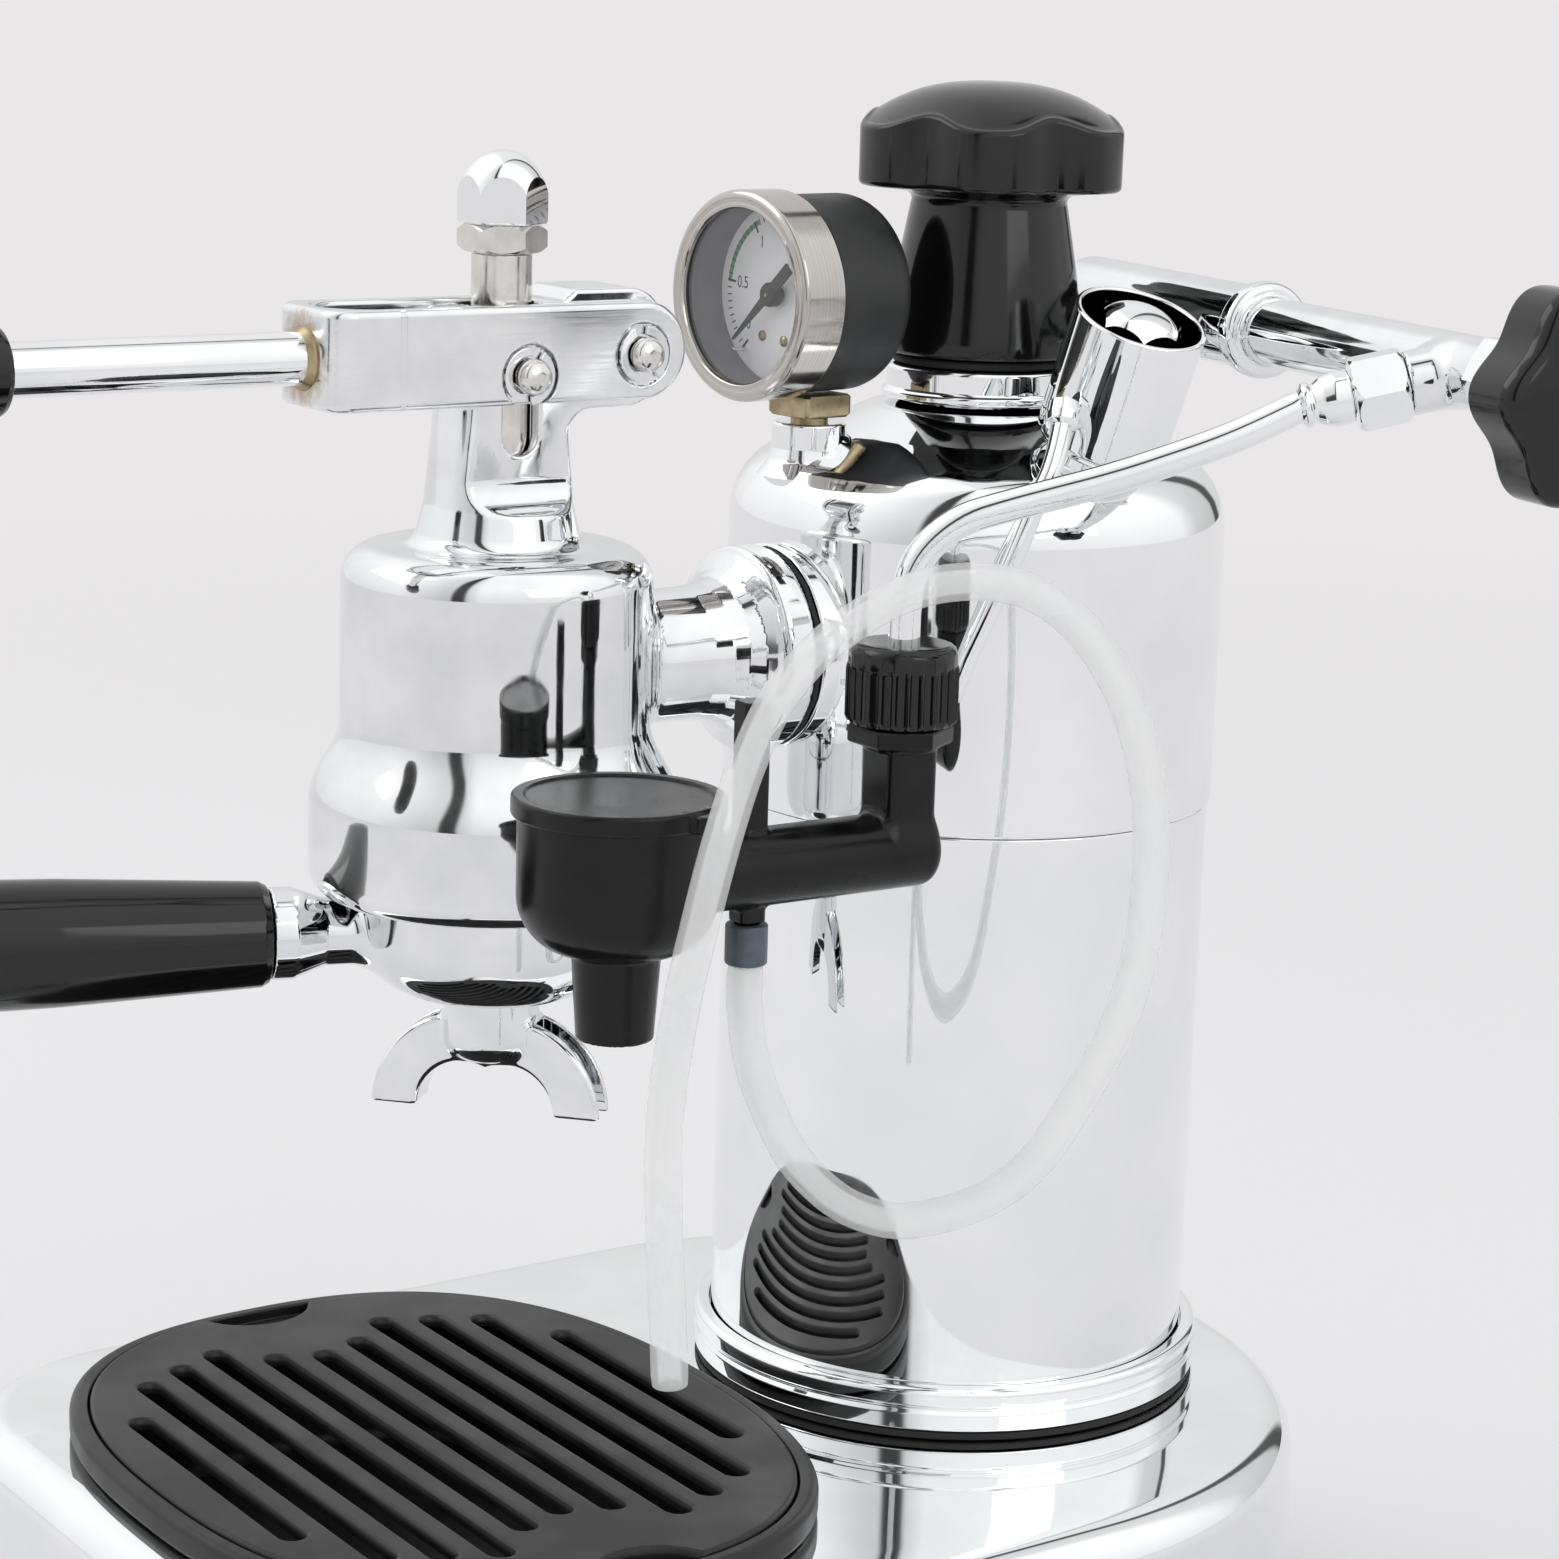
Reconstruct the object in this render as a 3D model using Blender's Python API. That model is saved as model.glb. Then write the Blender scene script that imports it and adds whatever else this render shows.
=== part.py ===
# Lever espresso machine, built piece by piece.
# Metres, +Z up. X runs to the user's right, -Y points at the user.
# The origin is the centre of the base cover's underside, below the boiler's axis.

import math

import bmesh
import bpy
from mathutils import Matrix, Vector

mm = 0.001

# Clearance kept between neighbours, and the overrun of every cutter
GAP = 0.3 * mm
OVERRUN = 2.0 * mm

# Points closer than this are one point
WELD_DISTANCE = 0.004 * mm

# Facets round a large, a middle and a small turned piece
LARGE = 24
MIDDLE = 16
SMALL = 10
TINY = 8

# Main axes and levels
BASE_TOP = 53.0 * mm
FOOT_HEIGHT = 8.0 * mm
BOILER_RADIUS = 48.2 * mm
SEAM_LEVEL = 172.5 * mm
SHOULDER_LEVEL = 228.0 * mm
DOME_TOP = 250.0 * mm
GROUP_Y = -109.5 * mm
GROUP_TOP = 228.2 * mm
GROUP_MOUTH = 163.8 * mm
NOZZLE_LEVEL = 204.7 * mm
FRONT_PIN_LEVEL = 259.7 * mm

# Base shell, cover and feet
BASE_HALF_WIDTH = 93.0 * mm
BASE_FRONT = -190.0 * mm
BASE_CORNER = 42.0 * mm
BASE_REAR_CENTRE = -28.0 * mm
BASE_FLARE = 2.0 * mm
BASE_FILLET = 8.0 * mm
BASE_WALL = 2.0 * mm
BOILER_OPENING_INSET = 8.2 * mm
BOILER_OPENING = BOILER_RADIUS - BOILER_OPENING_INSET
COVER_THICKNESS = 2.0 * mm
COVER_EDGE = 0.5 * mm
FOOT_RADIUS = 9.0 * mm
FOOT_TAPER = 1.5 * mm
FOOT_STUD = 2.7 * mm
FOOT_STUD_TOP = 4.0 * mm
FOOT_SEAT_DEPTH = 0.8 * mm
FOOT_SIDE_INSET = 27.0 * mm
FOOT_FRONT_INSET = 30.0 * mm
FOOT_REAR_INSET = 50.0 * mm
FOOT_X = BASE_HALF_WIDTH - FOOT_SIDE_INSET
FOOT_FRONT_Y = BASE_FRONT + FOOT_FRONT_INSET
FOOT_REAR_Y = BASE_REAR_CENTRE + BASE_HALF_WIDTH - FOOT_REAR_INSET

# Cord gland in the rear wall, power switch in the front wall
GLAND_LEVEL = 15.0 * mm
GLAND_NECK = 4.7 * mm
GLAND_BORE = 3.0 * mm
GLAND_FLANGE = 8.0 * mm
GLAND_LENGTH = 9.0 * mm
GLAND_INSIDE = 4.0 * mm
SWITCH_X = 58.0 * mm
SWITCH_LEVEL = 27.0 * mm
SWITCH_HALF_WIDTH = 6.5 * mm
SWITCH_HALF_HEIGHT = 9.0 * mm
SWITCH_DEPTH = 7.0 * mm
SWITCH_PROUD = 3.2 * mm
SWITCH_VALLEY = 1.4 * mm
SWITCH_EDGE = 1.0 * mm
SWITCH_TILT = 8.0
PRESSURESTAT_SIDE_INSET = 49.0 * mm
PRESSURESTAT_REAR_INSET = 39.0 * mm
PRESSURESTAT_PLACE = (PRESSURESTAT_SIDE_INSET - BASE_HALF_WIDTH,
                      BASE_REAR_CENTRE + BASE_HALF_WIDTH - PRESSURESTAT_REAR_INSET)
PRESSURESTAT_SIZE = (26.0 * mm, 34.0 * mm, 24.0 * mm)
PRESSURESTAT_CAP = 9.0 * mm
PRESSURESTAT_CAP_HEIGHT = 6.0 * mm

# Drip tray and its slotted cover
TRAY_Y = -120.0 * mm
TRAY_HALF_X = 78.0 * mm
TRAY_HALF_Y = 61.5 * mm
TRAY_TOP = 59.3 * mm
TRAY_FLOOR = 28.0 * mm
TRAY_WALL = 1.6 * mm
TRAY_LIP = 6.5 * mm
TRAY_RIM = 3.4 * mm
TRAY_RIM_EDGE = 1.5 * mm
TRAY_LEDGE = 2.3 * mm
TRAY_LEDGE_WIDTH = 4.7 * mm
TRAY_DRAFT = 0.5 * mm
OVAL_POWER = 2.5
OVAL_STEPS = 30
GRILLE_TOP = 59.9 * mm
GRILLE_BEVEL = 0.9 * mm
GRILLE_PITCH = 9.3 * mm
SLOT_HALF_WIDTH = 2.2 * mm
SLOT_HALF_LENGTHS = (46.3 * mm, 49.3 * mm, 57.0 * mm, 53.0 * mm, 48.0 * mm, 32.2 * mm)
NOTCH_RADIUS = 12.0 * mm
NOTCH_OFFSET = 4.0 * mm

# Boiler: gasket, foot ring, shells, element
FOOT_RING_INSET = 6.2 * mm
FOOT_RING_WALL = 3.4 * mm
FOOT_RING_INNER = BOILER_RADIUS - FOOT_RING_INSET
FOOT_RING_RADIUS = BOILER_RADIUS + FOOT_RING_WALL
FOOT_GASKET_OUTER = FOOT_RING_RADIUS + GAP
FOOT_GASKET = 2.7 * mm
FOOT_RING_HEIGHT = 7.4 * mm
FOOT_RING_LEDGE = 2.0 * mm
FOOT_RING_ROUND = 2.6 * mm
SHELL_WALL = 1.5 * mm
BOILER_FLOOR = 2.4 * mm
ELEMENT_HOLE = 18.5 * mm
UPPER_STEP = 0.7 * mm
UPPER_RADIUS = BOILER_RADIUS + UPPER_STEP
SKIRT_WALL = 1.3 * mm
SKIRT_OVERLAP = 8.0 * mm
JOGGLE = 1.4 * mm
DOME_EDGE = 22.0 * mm
DOME_SHOULDER = 9.9 * mm
DOME_FOOT = UPPER_RADIUS - DOME_SHOULDER
DOME_FOOT_LEVEL = 242.3 * mm
NECK_HOLE = 16.4 * mm
ELEMENT_FLANGE = 26.0 * mm
ELEMENT_FLANGE_THICKNESS = 3.0 * mm
ELEMENT_TUBE = 4.0 * mm
ELEMENT_SPREAD = 10.0 * mm
ELEMENT_TOP = 150.0 * mm

# Filler neck and cap
NECK_RING = 18.8 * mm
NECK_RING_HEIGHT = 6.6 * mm
NECK_BORE = 11.5 * mm
NECK_DEPTH = 12.0 * mm
NECK_BEAD = 0.8 * mm
CAP_GASKET = 1.6 * mm
CAP_GASKET_RADIUS = 17.8 * mm
CAP_SKIRT_BASE = 19.4 * mm
CAP_SKIRT_TOP = 15.1 * mm
CAP_SKIRT_HEIGHT = 29.5 * mm
CAP_HEAD_RADIUS = 25.4 * mm
CAP_LOBE = 1.7 * mm
CAP_LOBES = 6
CAP_LOBE_TURN = -37.9
CAP_SIDE = 10.5 * mm
CAP_HEAD_UNDERCUT = 2.6 * mm
CAP_DOME = 9.6 * mm
CAP_PLUG = 11.0 * mm
CAP_PLUG_DEPTH = 14.0 * mm

# Sight glass on the left
SIGHT_STANDOFF = 17.8 * mm
SIGHT_X = -BOILER_RADIUS - SIGHT_STANDOFF
SIGHT_UPPER = 214.0 * mm
SIGHT_LOWER = 88.0 * mm
SIGHT_PIPE = 5.0 * mm
SIGHT_FLANGE = 8.0 * mm
SIGHT_FLANGE_THICKNESS = 3.0 * mm
SIGHT_NUT = 7.5 * mm
SIGHT_NUT_HALF = 7.0 * mm
SIGHT_TUBE = 4.0 * mm
SIGHT_TUBE_BORE = 2.6 * mm
SIGHT_SOCKET = 5.0 * mm

# Pressure gauge
GAUGE_X = -5.0 * mm
GAUGE_Y = -37.6 * mm
GAUGE_LEVEL = 271.2 * mm
GAUGE_TURN = 6.0
GAUGE_RADIUS = 19.8 * mm
GAUGE_FRONT = 19.2 * mm
GAUGE_BACK = -10.6 * mm
BEZEL_BACK = 8.8 * mm
BEZEL_WALL = 0.8 * mm
BEZEL_OPENING = 16.4 * mm
BEZEL_LIP = 2.9 * mm
GAUGE_CASE_WALL = 1.5 * mm
GAUGE_CASE_RIM = 14.2 * mm
DIAL_FACE = 8.5 * mm
DIAL_THICKNESS = 0.8 * mm
LENS_THICKNESS = 1.5 * mm
NEEDLE_LENGTH = 13.4 * mm
NEEDLE_TAIL = 8.0 * mm
NEEDLE_THICKNESS = 0.5 * mm
NEEDLE_LIFT = 2.6 * mm
NEEDLE_HUB = 2.2 * mm
NEEDLE_HUB_DEPTH = 1.4 * mm
NEEDLE_SHAFT = 0.9 * mm
NEEDLE_SHAFT_DEPTH = 2.0 * mm
NEEDLE_REST = 223.0
GAUGE_SQUARE = 11.6 * mm
GAUGE_NECK = 1.1 * mm
GAUGE_STUD = 3.6 * mm
GAUGE_STUD_DEPTH = 9.0 * mm
GAUGE_BOSS = 7.4 * mm
GAUGE_BOSS_TOP = 246.7 * mm

# Safety valve, leaning out to the right
VALVE_BASE = (36.8 * mm, 0.0, 245.5 * mm)
VALVE_TILT = 23.0
VALVE_LENGTH = 27.0 * mm
VALVE_RADIUS = 12.6 * mm
VALVE_WALL = 1.1 * mm
VALVE_FLOOR = 2.0 * mm
VALVE_NECK = 5.0 * mm
VALVE_NECK_DEPTH = 11.0 * mm
VALVE_BOSS = 8.0 * mm
VALVE_BOSS_DEPTH = 8.0 * mm
VALVE_ROUND = 2.0 * mm
VALVE_NUT = 8.0 * mm
VALVE_NUT_FOOT = 11.0 * mm
VALVE_NUT_DOME = 5.0 * mm
VALVE_POST = 5.0 * mm
VALVE_STUD = 2.6 * mm
DRAIN_RADIUS = 2.0 * mm
DRAIN_ROUTE = (
    (43.0, -14.1, 253.0), (45.2, -16.4, 249.0), (47.0, -19.6, 243.0), (46.9, -22.6, 237.0),
    (45.6, -26.6, 226.5), (43.4, -30.2, 216.0), (41.2, -33.0, 207.5), (39.6, -34.9, 200.0),
)

# Steam valve, wand and knob
STEAM_START = (0.0, 31.0 * mm, 268.7 * mm)
STEAM_YAW = -11.5
STEAM_BARREL = 7.8 * mm
STEAM_PIPE = 6.3 * mm
STEAM_BACK = -9.0 * mm
STEAM_STEP = 59.0 * mm
STEAM_COLLAR = 9.0 * mm
STEAM_COLLAR_LENGTH = 4.5 * mm
STEAM_END_PAST_OUTLET = 11.0 * mm
STEAM_RISER = 2.0 * mm
STEAM_RISER_RADIUS = 8.0 * mm
STEAM_RISER_LEVEL = 249.5 * mm
STEAM_BOSS = 9.0 * mm
STEAM_STUD = 5.0 * mm
STEAM_STUD_DEPTH = 8.0 * mm
STEAM_OUTLET = 129.0 * mm
STEAM_END = STEAM_OUTLET + STEAM_END_PAST_OUTLET
STEAM_OUTLET_RADIUS = 5.6 * mm
STEAM_OUTLET_LENGTH = 10.0 * mm
GLAND_NUT = 8.0 * mm
GLAND_NUT_LENGTH = 8.0 * mm
STEM_RADIUS = 3.0 * mm
STEM_INSIDE = 18.0 * mm
KNOB_GAP = 3.0 * mm
KNOB_RADIUS = 18.0 * mm
KNOB_LOBE = 1.3 * mm
KNOB_LENGTH = 21.0 * mm
KNOB_HUB = 9.5 * mm
KNOB_HUB_LENGTH = 7.0 * mm
KNOB_ROUND = 4.0 * mm
WAND_END = (71.0 * mm, -70.0 * mm)
WAND_NUT = 7.0 * mm
WAND_NUT_LENGTH = 9.0 * mm
WAND_RADIUS = 2.8 * mm
WAND_BULB = 4.8 * mm
WAND_BULB_LENGTH = 9.0 * mm
WAND_DROP = 0.25
WAND_ROUTE = (
    (104.2, -26.0, 256.4), (97.6, -35.0, 251.9), (90.7, -44.2, 247.8), (80.5, -57.6, 242.7),
    (76.4, -62.9, 240.1), (73.3, -66.9, 235.9), (71.5, -69.4, 230.5), (71.0, -70.0, 224.0),
)
WAND_TIP = 212.6 * mm

# Frother: nut, body with arm and cup, lid, hose collar
FROTHER_NUT = 9.5 * mm
FROTHER_NUT_RIB = 0.35 * mm
FROTHER_NUT_RIBS = 18
FROTHER_NUT_BOTTOM = 204.8 * mm
FROTHER_NUT_HEIGHT = 14.0 * mm
FROTHER_NUT_ROUND = 2.2 * mm
FROTHER_NUT_CAVITY = 7.0 * mm
FROTHER_NUT_ROOF = 4.6 * mm
FROTHER_SPIGOT = 6.6 * mm
FROTHER_SPIGOT_TOP = 212.0 * mm
FROTHER_HEX = 9.3 * mm
FROTHER_HEX_THICKNESS = 3.4 * mm
FROTHER_LEG = 5.3 * mm
FROTHER_ARM = 6.8 * mm
FROTHER_ARM_LEVEL = 182.0 * mm
CUP_PLACE = (70.0 * mm, -127.0 * mm)
CUP_RADIUS = 17.0 * mm
CUP_WALL = 1.6 * mm
CUP_TOP = 195.2 * mm
CUP_SHOULDER = 180.6 * mm
CUP_WAIST = 170.4 * mm
CUP_BOTTOM = 155.5 * mm
OUTLET_TOP = 7.6 * mm
OUTLET_END = 6.6 * mm
OUTLET_BORE = 5.4 * mm
LID_RADIUS = 18.1 * mm
LID_TOP = 197.5 * mm
LID_SKIRT = 1.5 * mm
LID_PLATE = 2.0 * mm
LID_EDGE = 0.6 * mm
LUG_TURN = 17.0
LUG_REACH = 21.2 * mm
LUG_HALF_WIDTH = 2.6 * mm
LUG_HEIGHT = 3.2 * mm
STEM_PLACE = (70.0 * mm, -100.6 * mm)
SUCTION_RADIUS = 2.45 * mm
SUCTION_TOP = 211.0 * mm
SUCTION_BOTTOM = 166.0 * mm
BARB_RADIUS = 1.9 * mm
COLLAR_RADIUS = 3.7 * mm
COLLAR_TOP = 172.2 * mm
COLLAR_HEIGHT = 7.2 * mm

# Milk hose: route in millimetres, from the collar round the loop to its open end
HOSE_RADIUS = 3.2 * mm
HOSE_SPACING = 13.0 * mm
HOSE_ROUTE = (
    (70, -100.6, 164.7), (70, -100.6, 158), (71, -99.6, 148), (73, -97, 139), (76, -93, 130),
    (81, -87, 123), (86, -80, 120), (91, -74, 121), (97, -67, 125), (102, -61, 132),
    (107, -56, 144), (111, -51.5, 157), (113, -49, 170), (113.5, -48, 183), (113, -48.5, 197),
    (111, -51, 210), (108, -55, 220), (104, -60, 227.5), (99, -66, 232), (93, -73.5, 233),
    (87.5, -81, 231), (83.5, -88.5, 226.5), (81, -96, 220.5), (82.4, -104.8, 213), (89, -114.6, 205),
    (95.8, -122.6, 198), (97.6, -126.5, 190), (96, -128, 180), (92.6, -128.4, 168), (89, -128.2, 154),
    (86.4, -127.4, 142), (85, -126, 127), (85, -125, 113), (85, -124, 98),
)

# Group casting
GROUP_RADIUS = 28.5 * mm
GROUP_SHOULDER = 6.0 * mm
BELL_RADIUS = 34.0 * mm
BELL_TOP = 196.0 * mm
BELL_WAIST = 181.0 * mm
BELL_EDGE_RISE = 5.0 * mm
BELL_EDGE = GROUP_MOUTH + BELL_EDGE_RISE
MOUTH_RADIUS = 29.5 * mm
MOUTH_BORE = 26.4 * mm
LIP_TOP_RISE = 2.2 * mm
LIP_TOP = GROUP_MOUTH + LIP_TOP_RISE
EAR_CHANNEL = 30.2 * mm
CHANNEL_TOP_RISE = 8.3 * mm
CHANNEL_TOP = GROUP_MOUTH + CHANNEL_TOP_RISE
GASKET_SEAT = 28.9 * mm
GASKET_TOP_RISE = 14.2 * mm
GASKET_TOP = GROUP_MOUTH + GASKET_TOP_RISE
GROUP_BORE = 26.6 * mm
GROUP_CEILING = 5.9 * mm
NECK_FOOT = 15.5 * mm
NECK_MIDDLE = 13.6 * mm
NECK_TOP_RADIUS = 11.9 * mm
NECK_MIDDLE_LEVEL = 236.0 * mm
NECK_CYLINDER_LEVEL = 254.0 * mm
NECK_TOP_LEVEL = 271.0 * mm
NECK_HALF_WIDTH = 7.5 * mm
NECK_FLAT_LEVEL = 235.3 * mm
NECK_FLAT_RUNOUT = 6.0 * mm
EAR_TOP_LEVEL = 274.6 * mm
EAR_END = 30.5 * mm
EAR_ROUND = 8.0 * mm
ROD_RADIUS = 5.5 * mm
ROD_CLEARANCE = 0.35 * mm
PIN_SLOT_HALF_WIDTH = 3.7 * mm
PIN_SLOT_BOTTOM = 248.8 * mm
NOZZLE_RADIUS = 12.7 * mm
NOZZLE_FLARE = 17.5 * mm
NOZZLE_FLARE_START_OFFSET = 10.5 * mm
NOZZLE_FLARE_END_OFFSET = 1.0 * mm
FLANGE_RADIUS = 19.6 * mm
FLANGE_THICKNESS = 6.2 * mm
FLANGE_STANDOFF = 3.1 * mm
FLANGE_BACK = BOILER_RADIUS + FLANGE_STANDOFF
FLANGE_FRONT = FLANGE_BACK + FLANGE_THICKNESS
NOZZLE_FLARE_START = FLANGE_FRONT + NOZZLE_FLARE_START_OFFSET
NOZZLE_FLARE_END = FLANGE_FRONT + NOZZLE_FLARE_END_OFFSET
FLANGE_GASKET = 1.0 * mm
FLANGE_ROOT = 10.2 * mm
FLANGE_INSIDE = BOILER_RADIUS - FLANGE_ROOT
WATER_BORE = 5.0 * mm

# Sleeve, screen and portafilter gasket
SLEEVE_OUTER = 26.3 * mm
SLEEVE_BORE = 24.0 * mm
SCREEN_RADIUS = 23.7 * mm
SCREEN_THICKNESS = 1.2 * mm
SCREEN_RISE = 1.2 * mm
GASKET_BORE = 24.0 * mm
PORT_RADIUS = 2.5 * mm

# Piston
PISTON_RISE = 21.4 * mm
PISTON_BOTTOM = GROUP_MOUTH + PISTON_RISE
PISTON_HEIGHT = 12.0 * mm
PISTON_RADIUS = 23.3 * mm
SEAL_GROOVE = 20.5 * mm
SEAL_HEIGHT = 3.6 * mm
SEAL_RISE = 3.1 * mm
SEAL_LEVEL = PISTON_BOTTOM + SEAL_RISE
SEAL_RADIUS = 23.7 * mm
STUD_RADIUS = 4.0 * mm
STUD_INTO_HEAD = 8.0 * mm
NUT_RADIUS = 7.5 * mm
LOCK_NUT_BOTTOM = 281.0 * mm
LOCK_NUT_HEIGHT = 4.2 * mm
LOCK_NUT_CHAMFER = 0.7 * mm
ACORN_HEX_HEIGHT = 7.0 * mm
ACORN_DOME = 5.6 * mm
ACORN_DOME_RADIUS = 6.6 * mm
STUD_TOP = 293.0 * mm
NUT_BORE = 4.3 * mm

# Lever: fork, rod, grip and the two pins
PIN_DISTANCE = 23.8 * mm
PIN_TILT = 7.5
PIN_RADIUS = 2.5 * mm
PIN_HEAD = 3.2 * mm
PIN_HEAD_HEIGHT = 2.6 * mm
PIN_CLIP = 5.3 * mm
PIN_CLIP_THICKNESS = 0.8 * mm
PIN_BORE_CLEARANCE = 0.3 * mm
FORK_HALF_WIDTH = 11.2 * mm
FORK_GAP = 8.0 * mm
FORK_BOTTOM = 254.6 * mm
FORK_TOP = 272.3 * mm
FORK_FRONT = -149.5 * mm
FORK_SLOT_END = -143.0 * mm
FORK_END_CENTRE = -85.2 * mm
FORK_EDGE = 1.6 * mm
FORK_RECESS = 5.7 * mm
FORK_RECESS_DEPTH = 0.9 * mm
ROD_LEVEL = 263.3 * mm
LEVER_ROD_RADIUS = 4.75 * mm
LEVER_SOCKET_DEPTH = 5.0 * mm
LEVER_ROD_END = -262.0 * mm
GRIP_START = -206.0 * mm
GRIP_LENGTH = 112.0 * mm
GRIP_NECK = 8.0 * mm
GRIP_BELLY = 13.5 * mm
GRIP_TIP = 11.5 * mm
LEVER_LOW = -25.0
LEVER_HIGH = 55.0
PISTON_PER_RADIAN = 22.3 * mm
EAR_SLOT_CLEARANCE = 0.6 * mm

# Portafilter, basket, handle and spout
HOLDER_TOP_RISE = 7.2 * mm
HOLDER_TOP = GROUP_MOUTH + HOLDER_TOP_RISE
HOLDER_RADIUS = 25.6 * mm
HOLDER_BORE = 22.9 * mm
HOLDER_DEPTH = 23.5 * mm
HOLDER_FLOOR = HOLDER_TOP - HOLDER_DEPTH
HOLDER_FLOOR_THICKNESS = 2.7 * mm
HOLDER_BOTTOM = HOLDER_FLOOR - HOLDER_FLOOR_THICKNESS
HOLDER_BOSS = 9.2 * mm
HOLDER_NIPPLE = 5.5 * mm
HOLDER_NIPPLE_LENGTH = 6.3 * mm
HOLDER_NIPPLE_BOTTOM = HOLDER_BOTTOM - HOLDER_NIPPLE_LENGTH
HOLDER_DRAIN = 3.0 * mm
HOLDER_EAR_DROP = 4.6 * mm
HOLDER_EAR_BOTTOM = HOLDER_TOP - HOLDER_EAR_DROP
HOLDER_EAR_THICKNESS = 3.8 * mm
HOLDER_EAR_RADIUS = 29.7 * mm
HOLDER_EAR_SPAN = 50.0
HOLDER_EAR_CLEAR = 6.0
HANDLE_TURN = -18.3
UNLOCK_TURN = -60.0
HANDLE_DROP = 14.0 * mm
HANDLE_LEVEL = HOLDER_TOP - HANDLE_DROP
FERRULE_RADIUS = 8.5 * mm
FERRULE_START = 37.5 * mm
HANDLE_ARM = 6.3 * mm
HANDLE_ARM_END = 31.6 * mm
HANDLE_ARM_START = 23.6 * mm
FERRULE_END = 41.7 * mm
HANDLE_STUD = 3.0 * mm
HANDLE_STUD_LENGTH = 24.0 * mm
HANDLE_LENGTH = 108.0 * mm
HANDLE_START_RADIUS = 9.7 * mm
HANDLE_BELLY = 12.2 * mm
HANDLE_TIP = 9.5 * mm
BASKET_FLANGE = 25.4 * mm
BASKET_FLANGE_THICKNESS = 0.8 * mm
BASKET_RADIUS = 22.4 * mm
BASKET_WALL = 0.7 * mm
BASKET_DEPTH = 20.0 * mm
BASKET_BOTTOM = HOLDER_TOP - BASKET_DEPTH
SPOUT_TURN = -47.6
SPOUT_BOSS = 9.0 * mm
SPOUT_BOSS_LENGTH = 13.0 * mm
SPOUT_BOTTOM = HOLDER_BOTTOM - GAP - SPOUT_BOSS_LENGTH
SPOUT_ROUND = 4.0 * mm
SPOUT_SOCKET_DEPTH = 6.6 * mm
SPOUT_FOOT_DROP = 9.5 * mm
SPOUT_FOOT = SPOUT_BOTTOM - SPOUT_FOOT_DROP
SPOUT_REACH = 17.8 * mm
SPOUT_CORE = 4.0 * mm
SPOUT_STRAIGHT = 1.0 * mm
SPOUT_ARM = 4.4 * mm
SPOUT_CHANNEL = 3.1 * mm
SPOUT_CHANNEL_SHIFT = 2.4 * mm

# Colours, metallic value and roughness
FINISHES = {
    "chrome": ((0.78, 0.79, 0.80, 1.0), 1.0, 0.04),
    "cast_polished": ((0.76, 0.77, 0.78, 1.0), 1.0, 0.16),
    "nickel": ((0.64, 0.63, 0.60, 1.0), 1.0, 0.22),
    "steel": ((0.60, 0.60, 0.60, 1.0), 1.0, 0.25),
    "brass": ((0.62, 0.50, 0.28, 1.0), 1.0, 0.30),
    "bakelite": ((0.010, 0.012, 0.011, 1.0), 0.0, 0.15),
    "black_plastic": ((0.020, 0.021, 0.021, 1.0), 0.0, 0.35),
    "tray_plastic": ((0.022, 0.023, 0.024, 1.0), 0.0, 0.45),
    "rubber": ((0.020, 0.020, 0.020, 1.0), 0.0, 0.70),
    "collar_grey": ((0.110, 0.125, 0.140, 1.0), 0.0, 0.50),
    "silicone": ((0.80, 0.86, 0.84, 0.6), 0.0, 0.20),
    "glass": ((0.90, 0.95, 0.95, 0.3), 0.0, 0.02),
    "dial": ((0.85, 0.86, 0.86, 1.0), 0.0, 0.50),
}


# General helpers

def clear_scene():
    for thing in list(bpy.data.objects):
        bpy.data.objects.remove(thing, do_unlink=True)


def finish(name):
    """One Principled material for each finish, made when first asked for."""
    if name in bpy.data.materials:
        return bpy.data.materials[name]
    colour, metallic, roughness = FINISHES[name]
    made = bpy.data.materials.new(name)
    made.use_nodes = True
    shader = made.node_tree.nodes["Principled BSDF"]
    shader.inputs["Base Color"].default_value = colour
    shader.inputs["Metallic"].default_value = metallic
    shader.inputs["Roughness"].default_value = roughness
    shader.inputs["Alpha"].default_value = colour[3]
    return made


def add_piece(name, shape, finish_name=None, frame=None, crease=40.0):
    """Turn a bmesh into a named object; frame places it in the machine."""
    bmesh.ops.recalc_face_normals(shape, faces=shape.faces)
    if shape.calc_volume(signed=True) < 0:
        bmesh.ops.reverse_faces(shape, faces=shape.faces)
    mesh = bpy.data.meshes.new(name)
    shape.to_mesh(mesh)
    shape.free()
    mesh.shade_smooth()
    mesh.set_sharp_from_angle(angle=math.radians(crease))
    piece = bpy.data.objects.new(name, mesh)
    bpy.context.scene.collection.objects.link(piece)
    if frame is not None:
        piece.matrix_world = frame
    if finish_name:
        mesh.materials.append(finish(finish_name))
    else:
        piece.hide_render = True
        piece.display_type = "WIRE"
    return piece


def combine(piece, tool, operation):
    modifier = piece.modifiers.new(tool.name, "BOOLEAN")
    modifier.operation = operation
    modifier.solver = "EXACT"
    modifier.object = tool
    weld = piece.modifiers.new(tool.name + "_weld", "WELD")
    weld.merge_threshold = WELD_DISTANCE


def cut(piece, *tools):
    for tool in tools:
        combine(piece, tool, "DIFFERENCE")


def fuse(piece, *tools):
    for tool in tools:
        combine(piece, tool, "UNION")


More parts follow.
